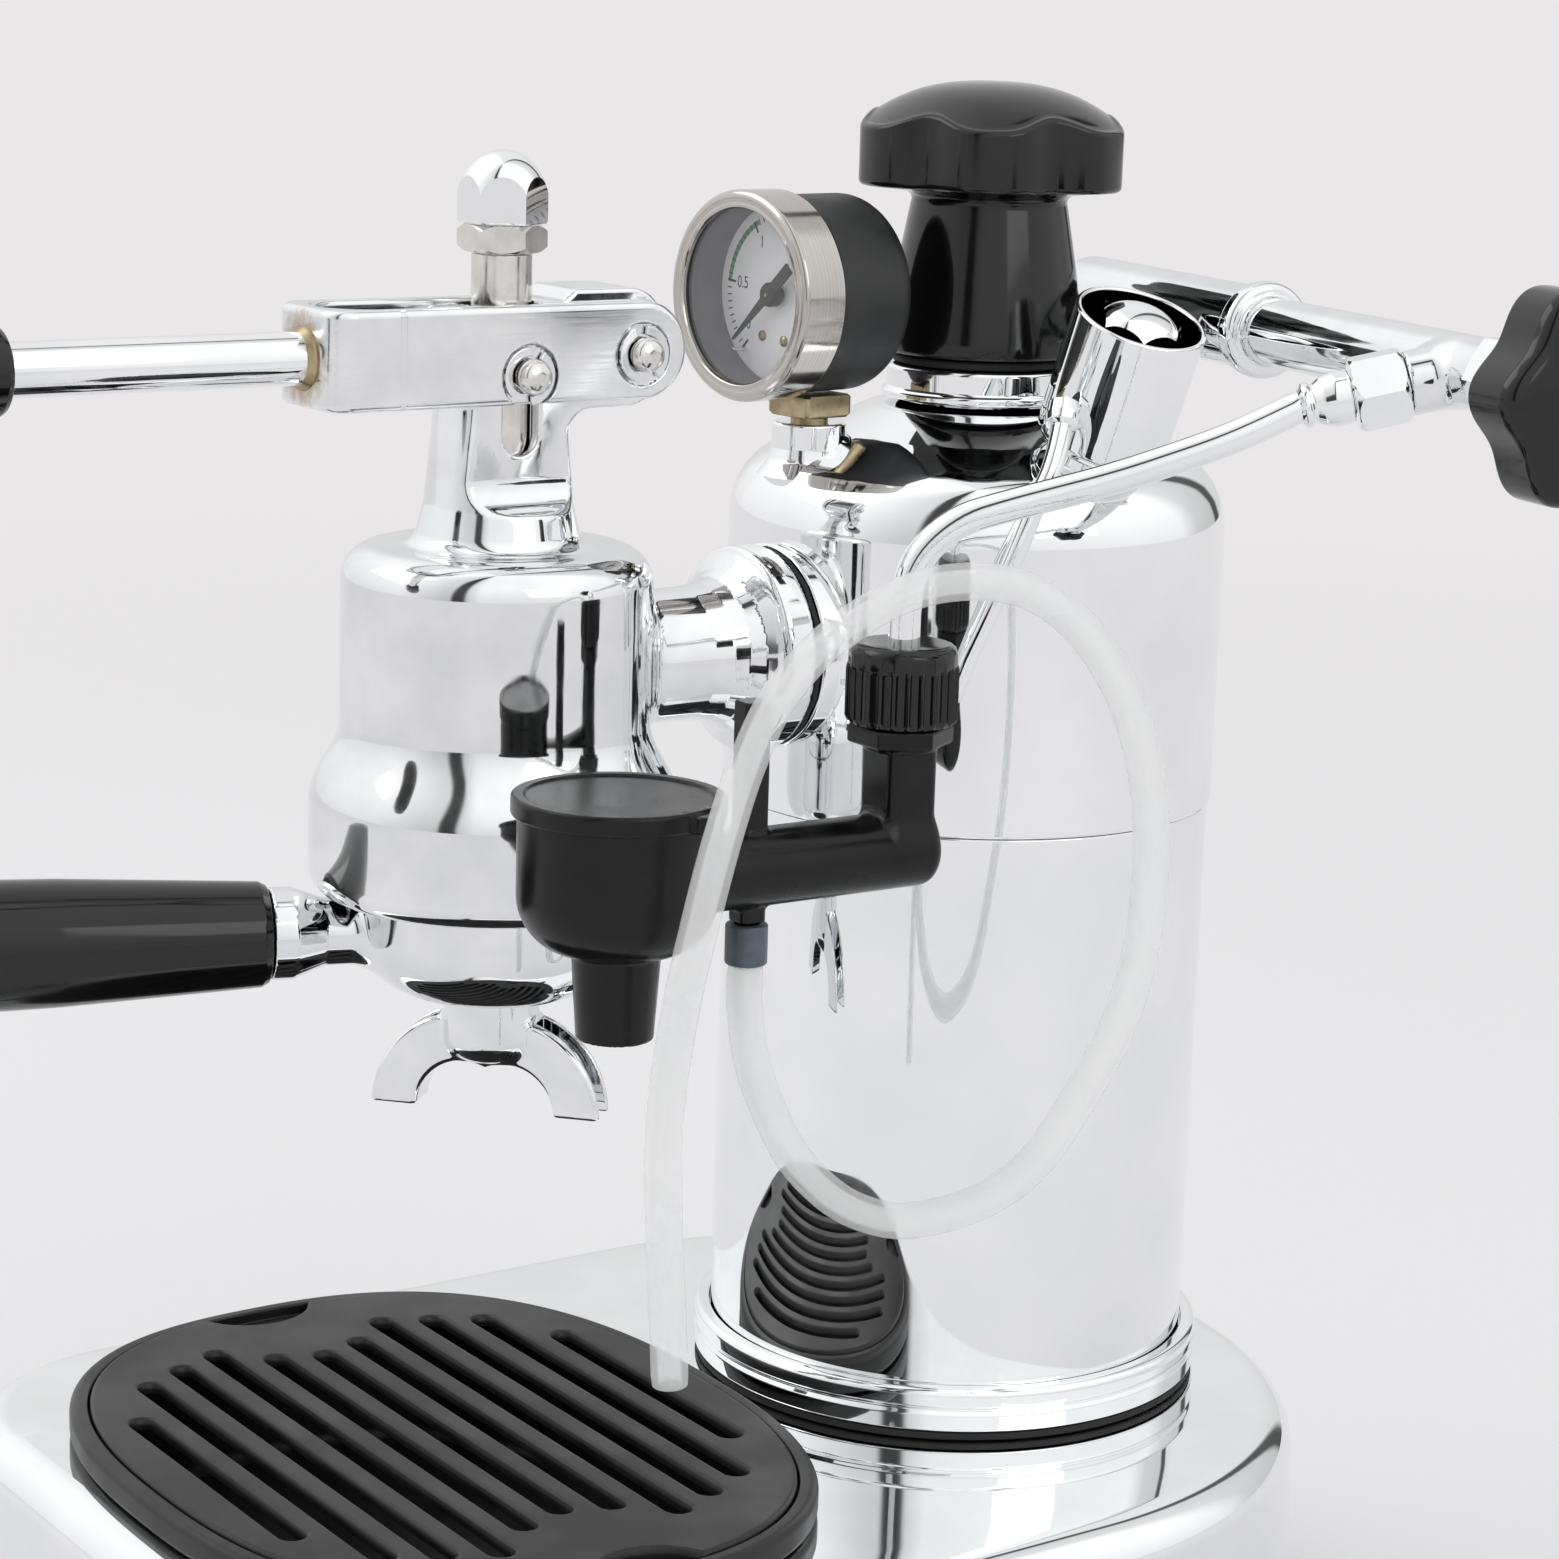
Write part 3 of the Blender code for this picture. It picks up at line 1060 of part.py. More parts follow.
def make_gauge():
    axis = gauge_frame()
    case_radius = GAUGE_RADIUS - BEZEL_WALL - GAP
    bore = case_radius - GAUGE_CASE_WALL
    edge = GAUGE_CASE_WALL
    turned("gauge_case", [
        (case_radius, GAUGE_CASE_RIM), (case_radius, GAUGE_BACK + edge), (case_radius - edge, GAUGE_BACK),
        (0, GAUGE_BACK), (0, GAUGE_BACK + edge), (bore, GAUGE_BACK + edge), (bore, GAUGE_CASE_RIM),
    ], MIDDLE, "black_plastic", axis)
    lens_low = GAUGE_CASE_RIM + GAP
    lens_top = lens_low + LENS_THICKNESS
    lip = GAUGE_FRONT - BEZEL_LIP
    sleeve = GAUGE_RADIUS - BEZEL_WALL
    turned("gauge_bezel", [
        (BEZEL_OPENING, lip), (BEZEL_OPENING, GAUGE_FRONT - BEZEL_WALL),
        (BEZEL_OPENING + BEZEL_WALL, GAUGE_FRONT),
        (GAUGE_RADIUS - BEZEL_WALL, GAUGE_FRONT), (GAUGE_RADIUS, GAUGE_FRONT - 2 * BEZEL_WALL),
        (GAUGE_RADIUS, BEZEL_BACK), (sleeve, BEZEL_BACK), (sleeve, lip),
    ], LARGE, "steel", axis)
    rod("gauge_lens", sleeve - GAP, lens_low, lens_top, MIDDLE, "glass", axis)
    turned("gauge_dial", [
        (NEEDLE_SHAFT + GAP, DIAL_FACE), (bore - GAP, DIAL_FACE), (bore - GAP, DIAL_FACE - DIAL_THICKNESS),
        (NEEDLE_SHAFT + GAP, DIAL_FACE - DIAL_THICKNESS)], MIDDLE, "dial", axis)

    low = DIAL_FACE + NEEDLE_LIFT
    high = low + NEEDLE_THICKNESS
    needle = prism("gauge_needle", [
        (-NEEDLE_SHAFT, -NEEDLE_TAIL), (NEEDLE_SHAFT, -NEEDLE_TAIL), (NEEDLE_SHAFT * 0.8, 0),
        (NEEDLE_SHAFT * 0.2, NEEDLE_LENGTH), (-NEEDLE_SHAFT * 0.2, NEEDLE_LENGTH),
        (-NEEDLE_SHAFT * 0.8, 0)],
        low, high, "bakelite", axis @ Matrix.Rotation(math.radians(NEEDLE_REST - 90), 4, "Z"))
    hub = rod("needle_hub", NEEDLE_HUB, low - NEEDLE_HUB_DEPTH, high + GAP / 3, TINY, frame=axis)
    shaft = rod("needle_shaft", NEEDLE_SHAFT, DIAL_FACE - NEEDLE_SHAFT_DEPTH, high, TINY, frame=axis)
    fuse(needle, hub, shaft)

    # the brass fitting is square, in line with the case, on a round stud
    low = GAUGE_BOSS_TOP + GAUGE_NECK
    high = GAUGE_LEVEL - case_radius - GAP
    place = upright(GAUGE_X, GAUGE_Y) @ Matrix.Rotation(math.radians(GAUGE_TURN + 45), 4, "Z")
    fitting = rod("gauge_fitting", GAUGE_SQUARE * math.sqrt(0.5), low, high, 4, "brass", place)
    stud = rod("gauge_stud", GAUGE_STUD, low - GAUGE_STUD_DEPTH, (low + high) / 2, SMALL,
               frame=upright(GAUGE_X, GAUGE_Y))
    fuse(fitting, stud)


# Safety valve

def make_safety_valve():
    axis = frame_along(VALVE_BASE, valve_axis())
    bore = VALVE_RADIUS - VALVE_WALL
    turned("safety_valve_cup", [
        (bore, VALVE_LENGTH), (VALVE_RADIUS, VALVE_LENGTH), (VALVE_RADIUS, VALVE_ROUND),
        (VALVE_RADIUS - VALVE_ROUND, 0), (VALVE_NECK, 0), (VALVE_NECK, -VALVE_NECK_DEPTH),
        (VALVE_STUD + GAP, -VALVE_NECK_DEPTH), (VALVE_STUD + GAP, VALVE_FLOOR), (bore, VALVE_FLOOR),
    ], MIDDLE, "chrome", axis)
    foot = VALVE_LENGTH - VALVE_NUT_FOOT
    top = VALVE_LENGTH + VALVE_ROUND
    hexagon = rod("safety_valve_nut", VALVE_NUT, foot, top, 6, "chrome", axis)
    ball = []
    steps = 6
    for step in range(steps + 1):
        angle = math.pi / 2 * (1 - step / steps)
        ball.append((VALVE_NUT * 1.02 * math.cos(angle), top - VALVE_NUT_DOME
                     + VALVE_NUT_DOME * math.sin(angle)))
    ball[0] = (0, top)
    combine(hexagon, turned("valve_dome", ball + [(VALVE_NUT * 1.02, foot - OVERRUN), (0, foot - OVERRUN)],
                            SMALL, frame=axis), "INTERSECT")
    post = turned("valve_post", [(0, foot + GAP), (VALVE_POST, foot + GAP), (VALVE_POST, VALVE_FLOOR + GAP),
                                 (VALVE_STUD, VALVE_FLOOR + GAP), (VALVE_STUD, GAP), (0, GAP)], SMALL,
                                 frame=axis)
    fuse(hexagon, post)
    swept("discharge_tube", smooth_route(in_metres(DRAIN_ROUTE), 3 * DRAIN_RADIUS), DRAIN_RADIUS, TINY,
          "chrome")


# Steam valve, wand

def wand_axis():
    start = steam_point(STEAM_OUTLET)
    flat = Vector((WAND_END[0] - start.x, WAND_END[1] - start.y, 0)).normalized()
    return (flat + Vector((0, 0, -WAND_DROP))).normalized()


def make_steam_valve():
    axis = frame_along(STEAM_START, steam_axis())
    collar_end = STEAM_STEP + STEAM_COLLAR_LENGTH
    round_off = STEAM_BARREL * 0.35
    body = turned("steam_valve_body", [
        (0, STEAM_END), (STEAM_PIPE, STEAM_END), (STEAM_PIPE, collar_end + round_off * 0.6),
        (STEAM_COLLAR - round_off * 0.5, collar_end), (STEAM_COLLAR, collar_end - round_off * 0.4),
        (STEAM_COLLAR, STEAM_STEP + round_off * 0.4), (STEAM_BARREL, STEAM_STEP),
        (STEAM_BARREL, STEAM_BACK + round_off), (STEAM_BARREL - round_off, STEAM_BACK), (0, STEAM_BACK),
    ], MIDDLE, "chrome", axis)
    riser = steam_point(STEAM_RISER)
    stand = turned("steam_riser", [
        (0, STEAM_START[2]), (STEAM_RISER_RADIUS, STEAM_START[2]), (STEAM_RISER_RADIUS, STEAM_RISER_LEVEL),
        (STEAM_STUD, STEAM_RISER_LEVEL), (STEAM_STUD, STEAM_RISER_LEVEL - STEAM_STUD_DEPTH),
        (0, STEAM_RISER_LEVEL - STEAM_STUD_DEPTH)], MIDDLE, frame=upright(riser.x, riser.y))
    outlet = rod("steam_outlet", STEAM_OUTLET_RADIUS, 0, STEAM_OUTLET_LENGTH, SMALL,
                 frame=frame_along(steam_point(STEAM_OUTLET), wand_axis()))
    gland = rod("steam_gland", GLAND_NUT, STEAM_END - OVERRUN, STEAM_END + GLAND_NUT_LENGTH, 6, frame=axis)
    fuse(body, stand, outlet, gland)
    cut(body, rod("stem_bore", STEM_RADIUS + GAP, STEAM_END - STEM_INSIDE, STEAM_END
                  + 2 * GLAND_NUT_LENGTH, SMALL,
                  frame=axis))

    knob_low = STEAM_END + GLAND_NUT_LENGTH + KNOB_GAP
    knob_high = knob_low + KNOB_LENGTH
    hub_end = knob_low + KNOB_HUB_LENGTH
    knob = lobed_head("steam_knob", KNOB_RADIUS, KNOB_LOBE, 0, [
        (KNOB_HUB * 0.9, knob_low, 0), (KNOB_HUB, knob_low + GAP * 2, 0), (KNOB_HUB, hub_end, 0),
        (KNOB_RADIUS * 0.94, hub_end + GAP * 2, 1), (KNOB_RADIUS, hub_end + GAP * 5, 1),
        (KNOB_RADIUS, knob_high - KNOB_ROUND, 1), (KNOB_RADIUS * 0.9, knob_high - KNOB_ROUND * 0.35, 0.9),
        (KNOB_RADIUS * 0.5, knob_high - KNOB_ROUND * 0.05, 0.4), (KNOB_RADIUS * 0.1, knob_high, 0)], axis)
    stem_start = STEAM_END - STEM_INSIDE + GAP
    stem = rod("steam_stem", STEM_RADIUS, stem_start, hub_end, SMALL, "steel", axis)
    cut(knob, rod("knob_bore", STEM_RADIUS + GAP, knob_low - OVERRUN, hub_end + GAP, SMALL, frame=axis))
    return stem


def make_wand():
    start = steam_point(STEAM_OUTLET)
    along = wand_axis()
    axis = frame_along(start, along)
    low = STEAM_OUTLET_LENGTH + GAP
    high = low + WAND_NUT_LENGTH
    nut = rod("wand_nut", WAND_NUT, low, high, 6, "chrome", axis)
    cut(nut, rod("wand_nut_bore", WAND_RADIUS + GAP, low - OVERRUN, high + OVERRUN, SMALL, frame=axis))
    bulb_low = high + GAP
    bulb_high = bulb_low + WAND_BULB_LENGTH
    tail = Vector((WAND_END[0], WAND_END[1], WAND_TIP))
    head = [start + along * (low + GAP), start + along * (high + WAND_BULB_LENGTH)]
    route = smooth_route(head[1:] + in_metres(WAND_ROUTE), 2.2 * WAND_RADIUS)
    tube = swept("steam_wand", head[:1] + route + [tail], WAND_RADIUS, TINY, "chrome")
    bulb = turned("wand_bulb", [(0, bulb_low), (WAND_BULB, bulb_low), (WAND_BULB, bulb_low + WAND_RADIUS),
                                (WAND_BULB * 0.8, bulb_high - WAND_RADIUS),
                                (WAND_RADIUS * 1.25, bulb_high - GAP),
                                (WAND_RADIUS * 0.9, bulb_high), (0, bulb_high)][::-1], SMALL, frame=axis)
    fuse(tube, bulb)
    return start, along


# Frother and milk hose

def make_frother():
    x, y = WAND_END
    low = FROTHER_NUT_BOTTOM
    high = low + FROTHER_NUT_HEIGHT
    rings = []
    steps = FROTHER_NUT_RIBS * 2
    for share, level in ((1, low), (1, high - FROTHER_NUT_ROUND),
                         (0.9, high - FROTHER_NUT_ROUND * 0.35), (0.72, high)):
        row = []
        for i in range(steps):
            angle = math.tau * i / steps
            rib = FROTHER_NUT_RIB * (1 if i % 2 else -1) * (1 if share == 1 else 0)
            reach = FROTHER_NUT * share + rib
            row.append((reach * math.cos(angle), reach * math.sin(angle), level))
        rings.append(row)
    nut = ring_stack("frother_nut", rings, "bakelite", upright(x, y), crease=25)
    roof = high - FROTHER_NUT_ROOF
    cut(nut, rod("nut_cavity", FROTHER_NUT_CAVITY, low - OVERRUN, roof, MIDDLE, frame=upright(x, y)))
    cut(nut, rod("nut_bore", WAND_RADIUS + GAP, roof - OVERRUN, high + OVERRUN, SMALL, frame=upright(x, y)))

    hex_top = low - GAP
    hex_low = hex_top - FROTHER_HEX_THICKNESS
    body = rod("frother_body", FROTHER_HEX, hex_low, hex_top, 6, "black_plastic", upright(x, y))
    spigot = rod("frother_spigot", FROTHER_SPIGOT, hex_low + GAP, FROTHER_SPIGOT_TOP, SMALL,
                 frame=upright(x, y))
    leg = turned("frother_leg", [(0, hex_top - GAP), (FROTHER_LEG, hex_top - GAP),
                                 (FROTHER_LEG, FROTHER_ARM_LEVEL),
                                 (0, FROTHER_ARM_LEVEL)], SMALL, frame=upright(x, y))
    cup_x, cup_y = CUP_PLACE
    reach = Vector((cup_x - x, cup_y - y, 0))
    start = Vector((x, y, FROTHER_ARM_LEVEL))
    back = FROTHER_LEG * 1.05
    arm = turned("frother_arm", [
        (0, reach.length - CUP_RADIUS / 2), (FROTHER_ARM, reach.length - CUP_RADIUS / 2),
        (FROTHER_ARM, -back + FROTHER_ARM * 0.3), (FROTHER_ARM * 0.7, -back), (0, -back)], MIDDLE,
        frame=frame_along(start, reach))
    cup = turned("frother_cup", cup_profile(), MIDDLE, frame=upright(cup_x, cup_y))
    stem_x, stem_y = STEM_PLACE
    stem = rod("suction_stem", SUCTION_RADIUS, COLLAR_TOP + GAP, SUCTION_TOP, TINY,
               frame=upright(stem_x, stem_y))
    barb = rod("suction_barb", BARB_RADIUS, SUCTION_BOTTOM, COLLAR_TOP + 2 * GAP, TINY,
               frame=upright(stem_x, stem_y))
    fuse(body, spigot, leg, arm, cup, stem, barb)
    cut(body, turned("cup_room", [
        (0, CUP_TOP + OVERRUN), (CUP_RADIUS - CUP_WALL, CUP_TOP + OVERRUN),
        (CUP_RADIUS - CUP_WALL, CUP_SHOULDER),
        (CUP_RADIUS - 2.5 * CUP_WALL, (CUP_SHOULDER + CUP_WAIST) / 2), (OUTLET_BORE, CUP_WAIST + CUP_WALL),
        (OUTLET_BORE, CUP_BOTTOM - OVERRUN), (0, CUP_BOTTOM - OVERRUN)], MIDDLE,
        frame=upright(cup_x, cup_y)))
    cut(body, rod("steam_way", WAND_RADIUS, FROTHER_ARM_LEVEL, FROTHER_SPIGOT_TOP + OVERRUN, TINY,
                  frame=upright(x, y)))


def cup_profile():
    span = CUP_SHOULDER - CUP_WAIST
    bowl = []
    steps = 5
    for step in range(steps + 1):
        angle = math.pi / 2 * step / steps
        bowl.append((OUTLET_TOP + (CUP_RADIUS - OUTLET_TOP) * math.cos(angle),
                     CUP_SHOULDER - span * math.sin(angle)))
    return [(0, CUP_TOP), (CUP_RADIUS, CUP_TOP)] + bowl + [(OUTLET_END, CUP_BOTTOM), (0, CUP_BOTTOM)]


def make_lid():
    x, y = CUP_PLACE
    inner = CUP_RADIUS + GAP
    low = LID_TOP - LID_PLATE - LID_SKIRT
    underside = LID_TOP - LID_PLATE
    lid = turned("frother_lid", [
        (0, LID_TOP), (LID_RADIUS - LID_EDGE, LID_TOP), (LID_RADIUS, LID_TOP - LID_EDGE), (LID_RADIUS, low),
        (inner, low), (inner, underside), (0, underside)], MIDDLE, "black_plastic", upright(x, y))
    lug = prism("lid_lug", [(LID_RADIUS - LID_EDGE, -LUG_HALF_WIDTH), (LUG_REACH, -LUG_HALF_WIDTH),
                            (LUG_REACH, LUG_HALF_WIDTH), (LID_RADIUS - LID_EDGE, LUG_HALF_WIDTH)],
                low + GAP, low + LUG_HEIGHT, frame=upright(x,
                                                           y) @ Matrix.Rotation(math.radians(LUG_TURN),
                                                                                4, "Z"))
    fuse(lid, lug)


def make_hose():
    x, y = STEM_PLACE
    low = COLLAR_TOP - COLLAR_HEIGHT
    turned("hose_collar", [(COLLAR_RADIUS, COLLAR_TOP), (COLLAR_RADIUS, low), (0, low),
                           (0, SUCTION_BOTTOM - GAP),
                           (BARB_RADIUS + GAP, SUCTION_BOTTOM - GAP), (BARB_RADIUS + GAP, COLLAR_TOP)],
           SMALL, "collar_grey", upright(x, y))
    points = smooth_route(in_metres(HOSE_ROUTE), HOSE_SPACING)
    curve = bpy.data.curves.new("milk_hose", "CURVE")
    curve.dimensions = "3D"
    curve.bevel_depth = HOSE_RADIUS
    curve.bevel_resolution = 3
    curve.use_fill_caps = True
    curve.resolution_u = 1
    spline = curve.splines.new("POLY")
    spline.points.add(len(points) - 1)
    for place, point in zip(spline.points, points):
        place.co = (point.x, point.y, point.z, 1.0)
    curve.materials.append(finish("silicone"))
    hose = bpy.data.objects.new("milk_hose", curve)
    bpy.context.scene.collection.objects.link(hose)
    return hose


# Group

def pin_slot_point(turn):
    """Where the rear pin lies in the machine when the lever is turned by so many degrees."""
    rise = PISTON_PER_RADIAN * math.radians(turn)
    angle = math.radians(turn - PIN_TILT)
    return (GROUP_Y + PIN_DISTANCE * math.cos(angle), FRONT_PIN_LEVEL
            + rise - PIN_DISTANCE * math.sin(angle))


def make_group():
    here = upright(0, GROUP_Y)
    shoulder = GROUP_SHOULDER
    side = [(GROUP_RADIUS, BELL_TOP + shoulder)]
    steps = 4
    for step in range(steps + 1):
        share = step / steps
        blend = (1 - math.cos(math.pi * share)) / 2
        side.append((GROUP_RADIUS + (BELL_RADIUS - GROUP_RADIUS) * blend, BELL_TOP
                     + (BELL_WAIST - BELL_TOP) * share))
    top = [(GROUP_RADIUS - shoulder + x, GROUP_TOP - shoulder + z) for x,
           z in arc((0, 0), shoulder, 90, 0, 3)]
    edge = [(BELL_RADIUS, BELL_EDGE), (BELL_RADIUS - GROUP_SHOULDER / 3, GROUP_MOUTH + GROUP_SHOULDER / 5),
            (MOUTH_RADIUS, GROUP_MOUTH)]
    profile = [(0, GROUP_TOP)] + top + side[1:] + edge + [(0, GROUP_MOUTH)]
    body = turned("group_body", profile, LARGE, "chrome", here)

    neck = turned("group_neck", [
        (0, NECK_TOP_LEVEL), (NECK_TOP_RADIUS, NECK_TOP_LEVEL), (NECK_TOP_RADIUS, NECK_CYLINDER_LEVEL),
        (NECK_MIDDLE, NECK_MIDDLE_LEVEL), (NECK_FOOT - GROUP_SHOULDER / 5, GROUP_TOP + GROUP_SHOULDER / 3),
        (NECK_FOOT, GROUP_TOP - GAP), (0, GROUP_TOP - GAP)], LARGE, frame=here)
    edge_on = Matrix(((1, 0, 0, 0), (0, 0, -1, GROUP_Y), (0, 1, 0, 0), (0, 0, 0, 1)))
    for sign in (-1, 1):
        inner = NECK_HALF_WIDTH + NECK_FLAT_RUNOUT
        flat = ([(NECK_HALF_WIDTH, NECK_TOP_LEVEL + OVERRUN)]
                + arc((inner, NECK_FLAT_LEVEL + NECK_FLAT_RUNOUT), NECK_FLAT_RUNOUT, 180, 270, 4)
                + [(NECK_FOOT * 2, NECK_FLAT_LEVEL), (NECK_FOOT * 2, NECK_TOP_LEVEL + OVERRUN)])
        cut(neck, prism("neck_flat_left" if sign < 0 else "neck_flat_right",
                        [(sign * x, z) for x, z in flat],
                        -NECK_FOOT, NECK_FOOT, frame=edge_on))
    front = 0
    ear_low = EAR_TOP_LEVEL - EAR_ROUND * 2.7
    outline = ([(front, ear_low - EAR_ROUND), (EAR_END - EAR_ROUND * 1.8, ear_low),
                (EAR_END - EAR_ROUND * 1.2, ear_low)]
               + arc((EAR_END - EAR_ROUND, EAR_TOP_LEVEL - EAR_ROUND * 1.25), EAR_ROUND, -60, 75, 6)
               + [(EAR_END - EAR_ROUND * 2.4, EAR_TOP_LEVEL),
                  (ROD_RADIUS + GROUP_SHOULDER / 2, NECK_TOP_LEVEL),
                  (front, NECK_TOP_LEVEL)])
    ear = prism("group_ear", outline, -NECK_HALF_WIDTH, NECK_HALF_WIDTH,
                frame=Matrix(((0, 0, 1, 0), (1, 0, 0, GROUP_Y), (0, 1, 0, 0), (0, 0, 0, 1))))
    reach = -GROUP_Y
    nozzle = turned("group_nozzle", [
        (0, FLANGE_BACK), (FLANGE_RADIUS, FLANGE_BACK), (FLANGE_RADIUS, FLANGE_FRONT - GROUP_SHOULDER / 8),
        (FLANGE_RADIUS - GROUP_SHOULDER / 8, FLANGE_FRONT), (NOZZLE_FLARE, NOZZLE_FLARE_END),
        (NOZZLE_RADIUS + (NOZZLE_FLARE - NOZZLE_RADIUS) * 0.35,
         (NOZZLE_FLARE_END * 0.7 + NOZZLE_FLARE_START * 0.3)),
        (NOZZLE_RADIUS, NOZZLE_FLARE_START), (NOZZLE_RADIUS, reach - GROUP_RADIUS / 2),
        (0, reach - GROUP_RADIUS / 2)][::-1],
        MIDDLE, frame=frame_along((0, 0, NOZZLE_LEVEL), (0, -1, 0)))
    fuse(body, neck, ear, nozzle)

    ceiling = GROUP_TOP - GROUP_CEILING
    cut(body, turned("group_room", [
        (0, ceiling), (GROUP_BORE, ceiling), (GROUP_BORE, GASKET_TOP + GAP),
        (GASKET_SEAT, GASKET_TOP + GAP),
        (GASKET_SEAT, CHANNEL_TOP), (EAR_CHANNEL, CHANNEL_TOP), (EAR_CHANNEL, LIP_TOP),
        (MOUTH_BORE, LIP_TOP),
        (MOUTH_BORE, GROUP_MOUTH - OVERRUN), (0, GROUP_MOUTH - OVERRUN)], LARGE, frame=here))
    cut(body, rod("rod_bore", ROD_RADIUS + ROD_CLEARANCE, ceiling - OVERRUN, EAR_TOP_LEVEL + OVERRUN,
                  MIDDLE, frame=here))
    half = PIN_SLOT_HALF_WIDTH
    slot = ([(half, EAR_TOP_LEVEL + OVERRUN), (-half, EAR_TOP_LEVEL + OVERRUN)]
            + arc((0, PIN_SLOT_BOTTOM), half, 180, 360, 4))
    cut(body, prism("front_pin_slot", [(x, z) for x, z in slot], -NECK_FOOT, NECK_FOOT,
                    frame=Matrix(((0, 0, 1, 0), (1, 0, 0, GROUP_Y), (0, 1, 0, 0), (0, 0, 0, 1)))))
    turns = [LEVER_LOW + (LEVER_HIGH - LEVER_LOW) * i / 8 for i in range(9)]
    cut(body, ear_slot_cutter([pin_slot_point(turn) for turn in turns]))
    spans = HOLDER_EAR_SPAN + HOLDER_EAR_CLEAR
    for number, middle in enumerate(ear_directions(UNLOCK_TURN + HANDLE_TURN)):
        sector = (arc((0, 0), EAR_CHANNEL, middle - spans / 2, middle + spans / 2, 5)
                  + arc((0, 0), MOUTH_BORE - GAP, middle + spans / 2, middle - spans / 2, 5))
        cut(body, prism("mouth_opening_" + str(number), sector, GROUP_MOUTH - OVERRUN, LIP_TOP + GAP,
                        frame=here))
    cut(body, rod("nozzle_bore", WATER_BORE, FLANGE_BACK - OVERRUN, reach - GROUP_BORE + OVERRUN, SMALL,
                  frame=frame_along((0, 0, NOZZLE_LEVEL), (0, -1, 0))))


def ear_slot_cutter(path):
    """A slot across the ear that follows the rear pin's path, with clearance."""
    reach = PIN_RADIUS + EAR_SLOT_CLEARANCE
    low_y = min(y for y, z in path)
    high_y = max(y for y, z in path)
    levels = [z for y, z in path]
    middle = (max(levels) + min(levels)) / 2
    half = reach + (max(levels) - min(levels)) / 2
    outline = arc((low_y, middle), half, 90, 270, 4) + arc((high_y, middle), half, -90, 90, 4)
    return prism("rear_pin_slot", outline, -NECK_FOOT, NECK_FOOT,
                 frame=Matrix(((0, 0, 1, 0), (1, 0, 0, 0), (0, 1, 0, 0), (0, 0, 0, 1))))


def ear_directions(handle_turn):
    """The two bayonet ears stand square to the handle."""
    ahead = -90 + handle_turn
    return (ahead - 90, ahead + 90)


def make_group_inside():
    here = upright(0, GROUP_Y)
    turned("group_gasket", [
        (FLANGE_RADIUS - GAP, FLANGE_BACK - GAP), (FLANGE_RADIUS - GAP, FLANGE_BACK - GAP - FLANGE_GASKET),
        (WATER_BORE, FLANGE_BACK - GAP - FLANGE_GASKET), (WATER_BORE, FLANGE_BACK - GAP)][::-1], MIDDLE,
        "rubber",
        frame_along((0, 0, NOZZLE_LEVEL), (0, -1, 0)))
    sleeve_top = GROUP_TOP - GROUP_CEILING - GAP
    sleeve = turned("group_sleeve", [(SLEEVE_OUTER, sleeve_top), (SLEEVE_OUTER, GASKET_TOP + 2 * GAP),
                                     (SLEEVE_BORE, GASKET_TOP + 2 * GAP), (SLEEVE_BORE, sleeve_top)],
                                     LARGE, "brass", here)
    cut(sleeve, rod("sleeve_port", PORT_RADIUS, -SLEEVE_OUTER - OVERRUN, -SLEEVE_BORE + OVERRUN, TINY,
                    frame=frame_along((0, GROUP_Y, NOZZLE_LEVEL), (0, -1, 0))))
    screen_low = CHANNEL_TOP + GAP
    turned("shower_screen", [
        (0, screen_low + SCREEN_RISE + SCREEN_THICKNESS),
        (SCREEN_RADIUS * 0.9, screen_low + SCREEN_RISE + SCREEN_THICKNESS),
        (SCREEN_RADIUS, screen_low + SCREEN_THICKNESS), (SCREEN_RADIUS, screen_low),
        (SCREEN_RADIUS * 0.95, screen_low), (SCREEN_RADIUS * 0.87, screen_low + SCREEN_RISE),
        (0, screen_low + SCREEN_RISE)], MIDDLE, "steel", here)
    turned("portafilter_gasket", [
        (GASKET_SEAT - GAP, GASKET_TOP), (GASKET_SEAT - GAP, screen_low), (GASKET_BORE, screen_low),
        (GASKET_BORE, GASKET_TOP)], MIDDLE, "rubber", here)


# Piston and lever

